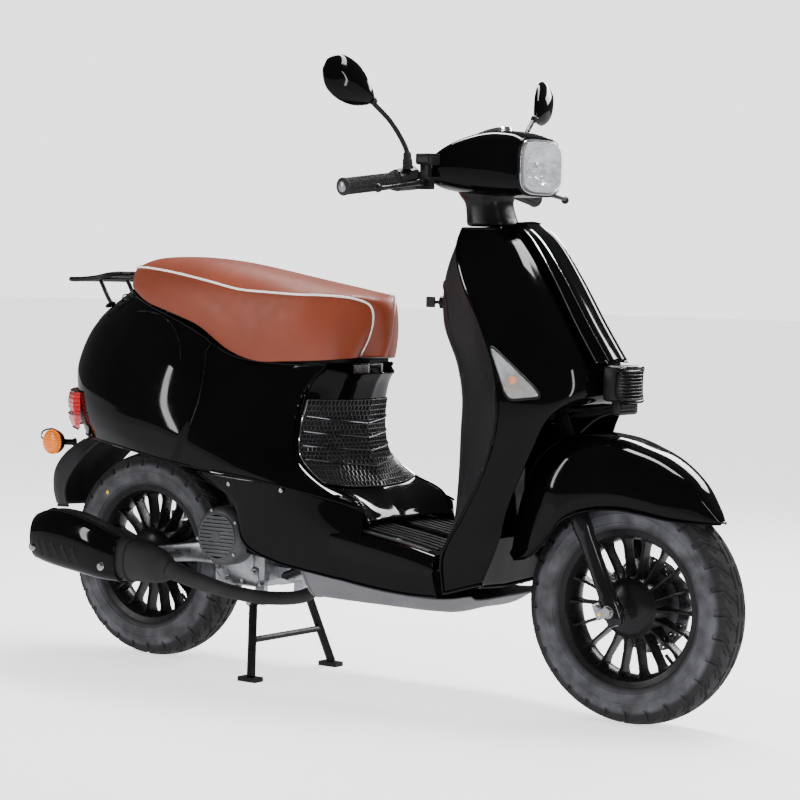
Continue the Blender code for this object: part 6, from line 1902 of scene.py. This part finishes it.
            # Painted shade: a near-black sheet behind the mesh stands in for the shade inside the vent.
            back = traced(grid, [place(a, b) for a in np.linspace(0.05, 1.0, 24)
                                 for b in np.linspace(0.22, 0.72, 20)]).reshape(24, 20, 3) + lift * 0.5
            make_piece(f"vent_shade_sheet_{side}", Shape().grid(back), Look(
                PAINTED_SHADE, "chassis", "satin_black", wall=0.0008, inside=(-0.2, 0, 0.5)))
            mesh = Shape()
            rows = np.linspace(0.22, 0.72, 19)
            for number, along in enumerate(rows):
                line = traced(grid, [place(a, along) for a in np.linspace(0.05, 1.0, 24)]) + lift
                mesh.bar(line, 0.0012, 6)
                if number + 1 == len(rows):
                    break
                for across in np.linspace(0.06, 0.97, 17) + (number % 2) * 0.028:
                    mesh.bar(traced(grid, [place(across, along), place(across, rows[number + 1])]) + lift,
                             0.0012, 6)
            make_piece(f"vent_mesh_{side}", mesh, Look(MESH, "chassis", "satin_black"))
            chevrons = Shape()
            for along in (0.30, 0.39, 0.48, 0.57):
                chevrons.bar(traced(grid, [place(a, along + 0.05 * a) for a in np.linspace(0.10, 1.0, 16)])
                             + lift * 1.6, 0.0018, 8)
            edge = [place(0.05, b) for b in np.linspace(0.22, 0.72, 16)]
            edge += [place(a, 0.72) for a in np.linspace(0.10, 1.0, 16)]
            chevrons.bar(traced(grid, edge) + lift * 1.4, 0.0016, 8)
            make_piece(f"vent_chevrons_{side}", chevrons, Look(TRIM, "chassis", "chrome_trim"))

    def lamp(self) -> None:
        """The wrap-round tail lamp: a closed section carried round the tail, red over clear."""
        outer = through([(-0.732, 0.166), (-0.813, 0.096), (-0.864, 0.0), (-0.813, -0.096), (-0.732, -0.166)],
                        61)
        inner = through([(-0.726, 0.159), (-0.805, 0.091), (-0.851, 0.0), (-0.805, -0.091), (-0.726, -0.159)],
                        61)
        way = outer - inner
        way /= np.linalg.norm(way, axis=1)[:, None]

        def band(low: float, high: float, reaches: Sequence[tuple[float, float]]) -> Array:
            """The section's outer points at each share of the height, and its inner wall.

            Args:
                low: The height of its lower edge.
                high: The height of its upper edge.
                reaches: Each share of the height, and how far out the section is there.

            Returns:
                Places along the curve by points round the section.
            """
            rows = [np.column_stack([outer + way * reach, np.full(61, low + (high - low) * share)])
                    for share, reach in reaches]
            rows += [np.column_stack([inner, np.full(61, z)]) for z in (high, low)]
            return np.swapaxes(np.array(rows), 0, 1)

        curve = [(0.0, -0.002), (0.06, 0.002), (0.3, 0.0065), (0.6, 0.0075), (0.9, 0.005), (0.96, 0.003),
                 (1.0, 0.0)]
        red = Shape().grid(band(0.5445, 0.594, curve), wrap_columns=True, caps=True)
        make_piece("tail_lamp_red", red, Look(RED_LENS, "chassis", "red_lens", ("tail_light",)))
        low_curve = [(0.0, -0.006), (0.15, -0.001), (0.5, 0.004), (1.0, 0.006)]
        pale = Shape().grid(band(0.514, 0.5435, low_curve), wrap_columns=True, caps=True)
        make_piece("tail_lamp_pale", pale, Look(RED_CLEAR, "chassis", "red_lens"))
        split = Shape().bar(np.column_stack([outer + way * 0.0062, np.full(61, 0.544)]), 0.0012, 8)
        rim = Shape().bar(np.column_stack([outer + way * 0.0010, np.full(61, 0.5955)]), 0.0020, 8)
        rim.bar(np.column_stack([outer - way * 0.0050, np.full(61, 0.5125)]), 0.0020, 8)
        make_piece("tail_lamp_split", split, Look(DARK_PLASTIC, "chassis", "satin_black"))
        make_piece("tail_lamp_rims", rim, Look(PAINT, "chassis", "gloss_black"))

    def mudguard(self) -> None:
        """The matte rear mudguard with a raised rib round its number plate's place."""
        middle = [(-0.545, 0, 0.535), (-0.640, 0, 0.545), (-0.730, 0, 0.528), (-0.806, 0, 0.492),
                  (-0.878, 0, 0.462), (-0.925, 0, 0.420), (-0.930, 0, 0.365), (-0.918, 0, 0.322)]
        shoulder = [(-0.545, 0.060, 0.530), (-0.640, 0.060, 0.540), (-0.728, 0.060, 0.522),
                    (-0.800, 0.058, 0.484), (-0.864, 0.055, 0.446), (-0.902, 0.052, 0.404),
                    (-0.908, 0.050, 0.358), (-0.898, 0.048, 0.322)]
        rim = [(-0.545, 0.080, 0.500), (-0.635, 0.080, 0.510), (-0.715, 0.080, 0.494), (-0.775, 0.078, 0.460),
               (-0.820, 0.074, 0.420), (-0.850, 0.070, 0.382), (-0.858, 0.066, 0.350), (-0.852, 0.062, 0.324)]
        grid = both_halves(net((rim, shoulder, middle), 70, 22))
        skin("rear_guard", grid, Look(PLASTIC, "chassis", "grey_plastic", ("rear_mudguard",), 0.003,
                                      (-0.70, 0, 0.36)), 0.0024)
        ribs = Shape()
        for across in (0.28, 0.72):
            ribs.bar(traced(grid, [(across, part) for part in np.linspace(0.45, 0.98, 24)]), 0.0022, 8,
                     up=(0, 1, 0))
        make_piece("rear_guard_ribs", ribs, Look(PLASTIC, "chassis", "grey_plastic"))

    def indicators(self) -> None:
        """An amber lamp on a stalk at each side, with a bent guard loop."""
        for side, sign in SIDES.items():
            foot = np.array([-0.800, sign * 0.094, 0.476])
            tip = np.array([-0.824, sign * 0.140, 0.478])
            stalk = Shape().turned([(0.0095, 0), (0.0095, 0.004), (0.0070, 0.008), (0.0070, 0.030),
                                    (0.0088, 0.036),
                                    (0.0088, 0.042)], foot, tip - foot, 28)
            cup = Shape().turned([(0.0150, -0.0150), (0.0230, -0.0130), (0.0268, -0.0060), (0.0276, 0.0020),
                                  (0.0276, 0.0045), (0.0250, 0.0045)], tip, (0, sign, 0), 48)
            make_piece(f"rear_lamp_stalk_{side}", stalk, Look(SATIN, "chassis", "satin_black"))
            make_piece(f"rear_lamp_cup_{side}", cup, Look(DARK_PLASTIC, "chassis", "satin_black"))
            ring = Shape().turned([(0.0246, 0.0035), (0.0276, 0.0040), (0.0282, 0.0062), (0.0270, 0.0082),
                                   (0.0246, 0.0080)], tip, (0, sign, 0), 56, ring=True)
            make_piece(f"rear_lamp_ring_{side}", ring, Look(AMBER_LENS, "chassis", "amber_lens"))
            lens_profile = [(0.0245, 0.0040), (0.0245, 0.0075), (0.0225, 0.0105), (0.0180, 0.0125),
                            (0.0100, 0.0140), (0.0020, 0.0144)]
            glass = Shape().turned(lens_profile, tip, (0, sign, 0), 56)
            make_piece(f"rear_lamp_lens_{side}", glass, Look(AMBER_LENS, "chassis", "amber_lens",
                                                             (f"rear_indicator_{side}",)))
            loop = smooth_path([(-0.818, sign * 0.120, 0.494), (-0.846, sign * 0.122, 0.505),
                                (-0.874, sign * 0.124, 0.498), (-0.876, sign * 0.124, 0.482),
                                (-0.848, sign * 0.122, 0.478), (-0.822, sign * 0.118, 0.470)], 36)
            make_piece(f"rear_lamp_wire_{side}", Shape().bar(loop, 0.0020, 10), Look(
                RUBBER, "chassis", "rubber"))

    def rack(self) -> None:
        """A hoop of bent bar over the tail, with cross bars, stringers and feet."""
        corner, rear_x, side_y, front_x = 0.035, -0.850, 0.085, -0.702
        turn = np.linspace(0, math.pi / 2, 6)
        hoop = [(rear_x + corner * (1 - math.cos(t)), side_y - corner * (1 - math.sin(t)),
                 0.846) for t in turn]
        half = hoop + [(-0.760, side_y, 0.850), (-0.720, side_y - 0.006, 0.858), (front_x, 0.060, 0.861)]
        path = smooth_path([(x, -y, z) for x, y, z in reversed(half)] + half, 120)
        shape = Shape().bar(path, 0.0055, 16)
        for x, z in ((-0.800, 0.847), (-0.750, 0.8505)):
            shape.rod((x, -side_y, z), (x, side_y, z), 0.0042, 14)
        shape.rod((front_x, -0.062, 0.861), (front_x, 0.062, 0.861), 0.0052, 14)
        for sign in SIDES.values():
            y = sign * 0.045
            shape.rod((rear_x + 0.001, y, 0.846), (front_x, y, 0.861), 0.0042, 14)
            shape.bar(smooth_path([(-0.779, y, 0.849), (-0.772, y, 0.838), (-0.752, y, 0.806),
                                   (-0.740, y, 0.792)],
                                  20), 0.0048, 12, up=(0, 1, 0))
            shape.turned([(0.012, 0), (0.012, 0.0025), (0.0085, 0.0042), (0.004, 0.0045)],
                         (-0.744, y, 0.789), (-0.55, 0, 0.83), 24)
        make_piece("luggage_rack", shape, Look(SATIN, "chassis", "satin_black", ("rear_rack",)))

    def build(self) -> None:
        """Build the rear bodywork."""
        for side, sign in SIDES.items():
            self.cowl(side, sign)
            self.fairing(side, sign)
        self.front_cover()
        self.lamp()
        self.mudguard()
        self.indicators()
        self.rack()


# ---------------------------------------------------------------- seat


@dataclass
class Seat:
    """The leather saddle: crowned top, bulging sides, white piping and stitched seams.

    Attributes:
        piping: The right side's piping line, from the tail round to the nose.
        foot: The lower edge under each of those places.
        crown: The top's middle line, as (x, z), over each of those places.
        fill: How firmly the cushion is filled; it is not used.
    """

    piping: tuple = ((-0.679, 0, 0.872), (-0.664, -0.045, 0.874), (-0.614, -0.080, 0.876),
                     (-0.550, -0.100, 0.872), (-0.480, -0.112, 0.864), (-0.390, -0.122, 0.850),
                     (-0.300, -0.126, 0.834), (-0.215, -0.126, 0.829), (-0.136, -0.122, 0.826),
                     (-0.094, -0.113, 0.826), (-0.050, -0.096, 0.824), (-0.026, -0.066, 0.818),
                     (-0.010, -0.043, 0.806), (-0.007, -0.035, 0.780), (-0.018, -0.032, 0.742),
                     (-0.042, -0.031, 0.698))
    foot: tuple = ((-0.684, 0, 0.842), (-0.672, -0.048, 0.838), (-0.636, -0.084, 0.826),
                   (-0.570, -0.113, 0.800), (-0.490, -0.128, 0.780), (-0.403, -0.136, 0.754),
                   (-0.317, -0.137, 0.705), (-0.240, -0.136, 0.684), (-0.160, -0.131, 0.686),
                   (-0.090, -0.121, 0.690), (-0.056, -0.108, 0.693), (-0.041, -0.088, 0.695),
                   (-0.034, -0.068, 0.696), (-0.034, -0.052, 0.697), (-0.042, -0.041, 0.697),
                   (-0.052, -0.032, 0.697))
    crown: tuple = ((-0.679, 0.872), (-0.668, 0.881), (-0.612, 0.8975), (-0.545, 0.902), (-0.475, 0.9005),
                    (-0.385, 0.892), (-0.295, 0.878), (-0.210, 0.863), (-0.135, 0.850), (-0.070, 0.839),
                    (-0.026, 0.831), (0.000, 0.821), (0.011, 0.801), (0.013, 0.768), (0.010, 0.730),
                    (0.000, 0.700))
    fill: float = 0.9

    def build(self) -> None:
        """One closed cushion, then the piping along its two seams and round the tail.

        Each section crosses the top as a power curve between the two piping lines, bulges down each
        side through a point pushed outwards, and closes underneath.
        """
        count = 130
        line, foot = through(self.piping, count), through(self.foot, count)
        crown = through(self.crown, count)
        share = np.linspace(-1, 1, 41)[None, :, None]
        top = np.concatenate([
            line[:, None, :1] + (crown[:, None, :1] - line[:, None, :1]) * (1 - share**2),
            line[:, None, 1:2] * -share,
            line[:, None, 2:] + (crown[:, None, 1:] - line[:, None, 2:]) * (1 - np.abs(share) ** 2.6)],
                             axis=2)
        top[:, :, 1] = line[:, None, 1] * -share[..., 0]
        out = foot - line
        drop = np.linalg.norm(out, axis=1)[:, None]
        side_way = np.column_stack([np.zeros(count), np.minimum(line[:, 1], -0.02), np.zeros(count)])
        tail = np.clip(1 - np.arange(count) / 14, 0, 1)[:, None]
        side_way = side_way / np.linalg.norm(side_way,
                                             axis=1)[:, None] * (1 - tail) + np.array([-1.0, 0, 0]) * tail
        nose = np.clip((np.arange(count) - 96) / 22, 0, 1)[:, None]
        side_way = side_way * (1 - 0.75 * nose) + np.array([0.25, 0, 0]) * nose
        swell = np.sin(np.linspace(0, math.pi, 18))[None, :, None] ** 0.8
        fall = np.linspace(0, 1, 18)[None, :, None]
        right = (line[:, None] + out[:, None] * fall
                 + side_way[:, None] * swell * np.minimum(drop, 0.11)[:, None] * 0.115)
        inner = foot * (1, 0.90, 1) + (0, 0, 0.003)
        right = np.concatenate([right[:, 1:], inner[:, None]], axis=1)
        section = np.concatenate([top[:, ::-1], right, other_side(right)[:, ::-1]], axis=1)
        puckers = 0.0009 * np.sin(np.arange(count) * 1.9)[:, None] * np.exp(-np.linspace(0, 6, 17) ** 2)[None]
        section[:, 41:58, 2] -= puckers
        section[:, 59:76, 2] -= puckers[:, ::-1]
        cushion = make_piece("saddle_cushion", Shape().grid(section, wrap_columns=True, caps=True), Look(
            leather, "seat", "tan_leather", ("seat_cushion",), edge=75))
        loop = np.concatenate([line[::-1], other_side(line)[1:]])
        lift = np.array([0, 0, 0.0008])
        outward = loop * (0, 0.012, 0)
        bead = Shape().bar(evenly(loop + lift + outward, 420), 0.0023, 10)
        make_piece("saddle_piping", bead, Look(PIPING, "seat", "tan_leather"))
        stitches = Shape()
        for sign in (1, -1):
            seam = evenly(line * (1, sign * 0.93, 1) + (0, 0, 0.0046), 170)[4:-22]
            for start in range(0, len(seam) - 1, 2):
                stitches.bar(seam[start:start + 2], 0.0006, 5)
        make_piece("saddle_stitches", stitches, Look(leather, "seat", "tan_leather"))
        dress("seat_base", DARK_PLASTIC)
        dress("seat_hinge", ZINC)


# ---------------------------------------------------------------- engine, exhaust, shock and stand


@dataclass
class Engine:
    """The swinging engine unit's details round its castings.

    Attributes:
        fan: The cooling fan's centre line.
        fan_radius: The shroud's radius.
    """

    fan: Point = (-0.320, 0.0, 0.305)
    fan_radius: float = 0.064

    def shroud(self) -> None:
        """The round fan cover with its slatted grille, hub and screws, on the right, over a near-black disc
        of painted shade.
        """
        way, r = (0, -1, 0), self.fan_radius
        shell = Shape().turned([(r, 0.1015), (r, 0.138), (r - 0.0015, 0.147), (r - 0.006, 0.1545),
                                (r - 0.012, 0.158),
                                (0.0500, 0.1585), (0.0485, 0.1565), (0.0485, 0.1400), (0.010, 0.1395)],
                               self.fan, way, 80)
        make_piece("fan_shroud", shell, Look(SHROUD, "swing_unit", "shroud_grey", ("fan_cover",)))
        # Painted shade: a near-black disc behind the grille stands in for the shade inside the shroud.
        well = Shape().turned([(0.0480, 0.1402), (0.0480, 0.1408), (0.010, 0.1412)], self.fan, way, 48)
        make_piece("fan_shade_disc", well, Look(PAINTED_SHADE, "swing_unit", "satin_black"))
        centre = np.array(self.fan) + (0, -0.1590, 0)
        slats = Shape()
        for offset in np.linspace(-0.040, 0.040, 11):
            half = math.sqrt(0.0478**2 - offset**2)
            across = np.linspace(-half, half, 13)
            crown = 0.0035 * (1 - (across / 0.05) ** 2 - (offset / 0.05) ** 2)
            path = centre + np.column_stack([across, -crown, np.full(13, offset)])
            slats.grid(carried(path, superellipse(0.0015, 0.0034, 2.6, 10), (0, 0, 1))[:, :, [0, 1, 2]],
                       wrap_columns=True, caps=True)
        for turn in np.linspace(0.4, 0.4 + math.pi, 3)[:2]:
            end = np.array([math.cos(turn), 0, math.sin(turn)]) * 0.0478
            slats.bar(np.array([centre + end, centre + (0, -0.003, 0), centre - end]), 0.0022, 8)
        slats.turned([(0.0470, -0.0025), (0.0505, -0.0025), (0.0510, 0.0), (0.0495, 0.0022),
                      (0.0470, 0.0018)],
                     centre, way, 64, ring=True)
        make_piece("fan_grille", slats, Look(SHROUD, "swing_unit", "shroud_grey"))
        hub = Shape().turned([(0.0130, 0.0), (0.0130, 0.0035), (0.0110, 0.0058), (0.0040, 0.0066)], centre,
                             way, 36)
        make_piece("fan_hub", hub, Look(SHROUD, "swing_unit", "shroud_grey"))
        screws = Shape()
        for turn in (0.6, 1.9, 3.3, 4.4, 5.6):
            place = np.array(self.fan) + (math.cos(turn) * 0.0575, -0.1560, math.sin(turn) * 0.0575)
            screws.turned([(0.0036, 0), (0.0036, 0.0018), (0.0022, 0.0028), (0.0008, 0.0029)], place, way, 14)
        make_piece("fan_screws", screws, Look(ZINC, "swing_unit", "cast_alloy"))

    def skirt(self) -> None:
        """The cylinder's cowling in front of the fan, and cooling fins on the head."""
        cowl = Shape().block((-0.262, -0.088, 0.250), (-0.170, 0.070, 0.362), 0.020, 48)
        make_piece("cylinder_cowling", cowl, Look(SHROUD, "swing_unit", "shroud_grey"))
        fins = Shape()
        for x in np.linspace(-0.158, -0.116, 7):
            fins.block((x - 0.0013, -0.052, 0.246), (x + 0.0013, 0.052, 0.318), 0.0012, 28)
        make_piece("head_fins", fins, Look(DULL_ALLOY, "swing_unit", "cast_alloy"))
        lead = smooth_path([(-0.118, -0.045, 0.285), (-0.105, -0.070, 0.292), (-0.120, -0.092, 0.325),
                            (-0.165, -0.094, 0.362), (-0.215, -0.080, 0.380)], 40)
        make_piece("spark_lead", Shape().bar(lead, 0.0036, 10), Look(RUBBER, "swing_unit", "rubber"))

    def crankcase(self) -> None:
        """Ribs, a sump cover and bolts on the right of the crankcase, and the arm to the axle."""
        plates = Shape()
        plates.turned([(0.052, 0), (0.054, 0.002), (0.054, 0.006), (0.049, 0.0085), (0.014, 0.010),
                       (0.004, 0.0105)], (-0.318, -0.098, 0.250), (0, -1, 0), 56)
        plates.block((-0.372, -0.106, 0.196), (-0.250, -0.078, 0.240), 0.008, 36)
        arm = [(-0.355, -0.094, 0.262), (-0.430, -0.099, 0.258), (-0.520, -0.098, 0.246),
               (-0.580, -0.086, 0.236),
               (-0.625, -0.072, 0.231)]
        path = smooth_path(arm, 40)
        sizes = np.interp(np.linspace(0, 1, 40), [0, 0.3, 0.8, 1], [1.25, 1.0, 0.85, 1.0])
        plates.grid(carried(path, superellipse(0.0075, 0.0210, 3.2, 24), scale=sizes), wrap_columns=True,
                    caps=True)
        plates.turned([(0.026, 0), (0.027, 0.002), (0.027, 0.010), (0.024, 0.012), (0.013, 0.0125)],
                      (REAR_AXLE[0], -0.062, REAR_AXLE[2]), (0, -1, 0), 48)
        make_piece("crankcase_cover", plates, Look(ALLOY, "swing_unit", "cast_alloy"))
        bolts = Shape()
        for x, z in ((-0.360, 0.232), (-0.334, 0.210), (-0.290, 0.208), (-0.262, 0.228)):
            bolts.turned([(0.0052, 0), (0.0055, 0.001), (0.0055, 0.0045), (0.0042, 0.0055), (0.001, 0.0056)],
                         (x, -0.1055, z), (0, -1, 0), 6)
        make_piece("crankcase_bolts", bolts, Look(ZINC, "swing_unit", "cast_alloy"))
        belt = Shape()
        for x, z, r in ((-0.320, 0.268, 0.058), (-0.620, 0.236, 0.040)):
            belt.turned([(r, 0), (r + 0.002, 0.0012), (r + 0.002, 0.003), (r - 0.004, 0.0052),
                         (0.012, 0.0058),
                         (0.003, 0.006)], (x, 0.1235, z), (0, 1, 0), 56)
        for x, z in ((-0.380, 0.336), (-0.450, 0.322), (-0.530, 0.304), (-0.600, 0.287), (-0.396, 0.208),
                     (-0.470, 0.204), (-0.545, 0.190)):
            belt.turned([(0.0052, 0), (0.0055, 0.001), (0.0055, 0.004), (0.0042, 0.005), (0.001, 0.0052)],
                        (x, 0.1238, z), (0, 1, 0), 6)
        make_piece("belt_case_covers", belt, Look(ALLOY, "swing_unit", "cast_alloy"))
        dress("engine_case", ALLOY)

    def build(self) -> None:
        """Build the engine's details."""
        self.shroud()
        self.skirt()
        self.crankcase()


@dataclass
class Exhaust:
    """The header pipe, the muffler, its bracket and its shield.

    Attributes:
        sections: Each muffler section's place, height, half width and half height.
        middle_y: The muffler's distance from the middle plane.
    """

    sections: tuple = ((-0.802, -0.212, 0.272, 0.012, 0.018), (-0.799, -0.212, 0.272, 0.022, 0.031),
                       (-0.790, -0.212, 0.273, 0.030, 0.042), (-0.775, -0.212, 0.2745, 0.036, 0.051),
                       (-0.730, -0.212, 0.277, 0.042, 0.062), (-0.660, -0.212, 0.270, 0.043, 0.064),
                       (-0.590, -0.212, 0.256, 0.041, 0.058), (-0.530, -0.206, 0.243, 0.037, 0.047),
                       (-0.470, -0.190, 0.234, 0.034, 0.040), (-0.445, -0.182, 0.229, 0.027, 0.031),
                       (-0.430, -0.176, 0.226, 0.0150, 0.0160))
    middle_y: float = -0.212

    def rings(self, grow: float, start: float, end: float, rows: int) -> Array:
        """Sections between two shares of the muffler's length, grown outwards.

        Args:
            grow: How far outwards.
            start: The first share.
            end: The last share.
            rows: How many sections.

        Returns:
            Rows of points, one for each section.
        """
        spine = through(self.sections, 200)
        first, last = int(start * 199), int(end * 199)
        picked = spine[np.linspace(first, last, rows).astype(int)]
        rings = []
        for x, y, z, half_y, half_z in picked:
            outline = superellipse(half_y + grow, half_z + grow, 2.3, 72)
            rings.append(np.column_stack([np.full(72, x), outline[:, 0] + y, outline[:, 1] + z]))
        return np.array(rings)

    def build(self) -> None:
        """Muffler and pipe, the rolled seams, the tail pipe and the shield, with its slots as dark strips of
        painted shade.
        """
        muffler = Shape().grid(self.rings(0, 0, 1, 90), wrap_columns=True, caps=True)
        pipe = smooth_path([(-0.442, -0.181, 0.228), (-0.420, -0.166, 0.218), (-0.380, -0.148, 0.202),
                            (-0.300, -0.130, 0.185), (-0.220, -0.112, 0.178), (-0.160, -0.066, 0.182),
                            (-0.142, -0.034, 0.206), (-0.146, -0.022, 0.240)], 90)
        width = np.interp(np.linspace(0, 1, 90), [0, 0.06, 0.25, 0.4, 1], [1.5, 1.45, 1.2, 1.05, 1.0])
        muffler.grid(carried(pipe, superellipse(0.0142, 0.0142, 2, 24), scale=width), wrap_columns=True,
                     caps=True)
        make_piece("muffler_and_pipe", muffler, Look(HOT_PAINT, "swing_unit", "satin_black", ("exhaust",)))
        seams = Shape()
        for start in (0.36, 0.72):
            ring = self.rings(0.0016, start, start, 1)[0]
            seams.bar(ring, 0.0022, 8, closed=True, up=(1, 0, 0))
        make_piece("muffler_seams", seams, Look(HOT_PAINT, "swing_unit", "satin_black"))
        tail = Shape().turned([(0.0100, 0.0), (0.0100, -0.022), (0.0112, -0.026), (0.0125, -0.026),
                               (0.0132, -0.022),
                               (0.0132, 0.0)], (-0.806, self.middle_y + 0.006, 0.258), (-1, 0, -0.25), 36,
                              ring=True)
        make_piece("muffler_tail_pipe", tail, Look(DULL_ALLOY, "swing_unit", "satin_black"))
        grid = self.rings(0.0050, 0.24, 0.69, 60)
        shield = np.roll(grid, -22, axis=1)[:, 2:34]
        skin("muffler_shield", shield, Look(PAINT, "swing_unit", "gloss_black", ("heat_shield",), 0.0022,
                                            (-0.64, self.middle_y, 0.265)), 0.0020)
        # Painted shade: the slots are near-black strips on the shield that stand in for the shade seen
        # through them.
        slots = Shape()
        for along in np.linspace(0.24, 0.62, 5):
            line = traced(shield + (0, -0.0006, 0), [(along + share * 0.06, 0.42 + share * 0.20)
                                                    for share in np.linspace(0, 1, 10)])
            slots.grid(carried(line, superellipse(0.0050, 0.0014, 2.4, 14), (0, -1, 0)), wrap_columns=True,
                       caps=True)
        make_piece("shield_slot_shades", slots, Look(PAINTED_SHADE, "swing_unit", "satin_black"))
        bolts = Shape()
        washers = Shape()
        for along, across in ((0.10, 0.52), (0.88, 0.52)):
            place = traced(shield, [(along, across)])[0]
            washers.turned([(0.0100, -0.002), (0.0105, 0.0005), (0.0090, 0.0020), (0.0060, 0.0022)], place,
                           (0, -1, 0.1),
                           32)
            bolts.turned([(0.0052, 0.0020), (0.0055, 0.003), (0.0055, 0.0055), (0.0042, 0.0065),
                          (0.001, 0.0066)],
                         place, (0, -1, 0.1), 6)
        make_piece("shield_washers", washers, Look(CHROME, "swing_unit", "chrome_trim"))
        make_piece("shield_bolts", bolts, Look(ZINC, "swing_unit", "cast_alloy"))
        bracket = Shape()
        bracket.bar(smooth_path([(-0.560, -0.094, 0.246), (-0.590, -0.130, 0.262), (-0.610, -0.165, 0.272)],
                                20),
                    0.0095, 16)
        bracket.bar(smooth_path([(-0.470, -0.098, 0.250), (-0.500, -0.130, 0.246), (-0.545, -0.178, 0.244)],
                                20),
                    0.0075, 16)
        make_piece("muffler_bracket", bracket, Look(SHROUD, "swing_unit", "shroud_grey"))


@dataclass
class Suspension:
    """The rear shock's spring and the stand's fittings.

    Attributes:
        top: The shock's upper eye.
        foot: The shock's lower eye.
    """

    top: Point = (-0.615, 0.118, 0.592)
    foot: Point = (-0.660, 0.118, 0.312)

    def spring(self) -> None:
        """A helix round the shock: the angle rises with the distance along it."""
        top, foot = np.array(self.top) + (0, 0.002, 0), np.array(self.foot) + (0, 0.002, 0)
        way = (foot - top) / np.linalg.norm(foot - top)
        side = np.cross(way, (0, 1, 0))
        other = np.cross(way, side)
        turns = np.linspace(0, 2 * math.pi * 4.2, 150)
        path = (top + way * (0.030 + 0.100 * turns[:, None] / turns[-1])
                + 0.0262 * (np.cos(turns)[:, None] * side + np.sin(turns)[:, None] * other))
        coil = Shape().bar(path, 0.0032, 10, up=tuple(way))
        coil.turned([(0.0235, 0.022), (0.0300, 0.022), (0.0305, 0.025), (0.0300, 0.028), (0.0235, 0.028)],
                    top, way, 36,
                    ring=True)
        coil.turned([(0.0235, 0.132), (0.0300, 0.132), (0.0305, 0.135), (0.0300, 0.138), (0.0235, 0.138)],
                    top, way,
                    36, ring=True)
        make_piece("shock_spring", coil, Look(CHROME, "shock_upper", "chrome_trim"))
        dress("shock_body", SATIN)
        dress("shock_rod", DULL_ALLOY)

    def stand(self) -> None:
        """Pivot bolts, the finishes of the stand and the kick lever, and treads on the kick pedal."""
        caps = Shape()
        for sign in SIDES.values():
            caps.turned([(0.0080, 0), (0.0085, 0.001), (0.0085, 0.005), (0.0065, 0.0065), (0.001, 0.0068)],
                        (-0.27, sign * 0.1065, 0.165), (0, sign, 0), 6)
        make_piece("stand_bolts", caps, Look(ZINC, "stand", "cast_alloy"))
        dress("centre_stand", SATIN)
        dress("kick_lever", DULL_ALLOY)
        treads = Shape()
        for y in np.linspace(0.152, 0.181, 6):
            treads.turned([(0.0085, -0.0016), (0.0100, -0.0012), (0.0100, 0.0012), (0.0085, 0.0016)],
                          (-0.575, y, 0.236), (0, 1, 0), 24, ring=True)
        make_piece("kick_pedal_treads", treads, Look(RUBBER, "kick_starter", "rubber"))

    def build(self) -> None:
        """Build the spring and the stand's fittings."""
        self.spring()
        self.stand()


@dataclass
class Interior:
    """The frame and the parts that the bodywork hides, and the lock, key and hook."""

    def build(self) -> None:
        """Give each of them its finish, and add the lock's bezel."""
        dress("main_frame", SATIN)
        dress("storage_bucket", DARK_PLASTIC)
        dress("fuel_tank", HOT_PAINT)
        dress("ignition_lock", SATIN)
        dress("ignition_key", DARK_PLASTIC)
        dress("bag_hook", SATIN)
        way = np.array([-0.96, -0.28, 0])
        bezel = Shape().turned([(0.0135, 0.0), (0.0185, 0.0015), (0.0190, 0.004), (0.0165, 0.0060),
                                (0.0135, 0.0062)], (0.1765, -0.028, 0.818), way, 44, ring=True)
        make_piece("ignition_bezel", bezel, Look(DARK_PLASTIC, "chassis", "grey_plastic"))


def main() -> None:
    """Build the sub-assemblies in order and log each as it is finished."""
    logging.basicConfig(level=logging.INFO, format="%(name)s: %(message)s")
    Studio().build()
    for part in (LegShield(), Floor(), Headset(), Controls(), Fork(), Fender(), Wheel("front", FRONT_AXLE),
                 Wheel("rear", REAR_AXLE), RearBody(), Seat(), Engine(), Exhaust(), Suspension(), Interior()):
        part.build()
        LOG.info("finished %s", type(part).__name__)


if __name__ == "__main__":
    main()
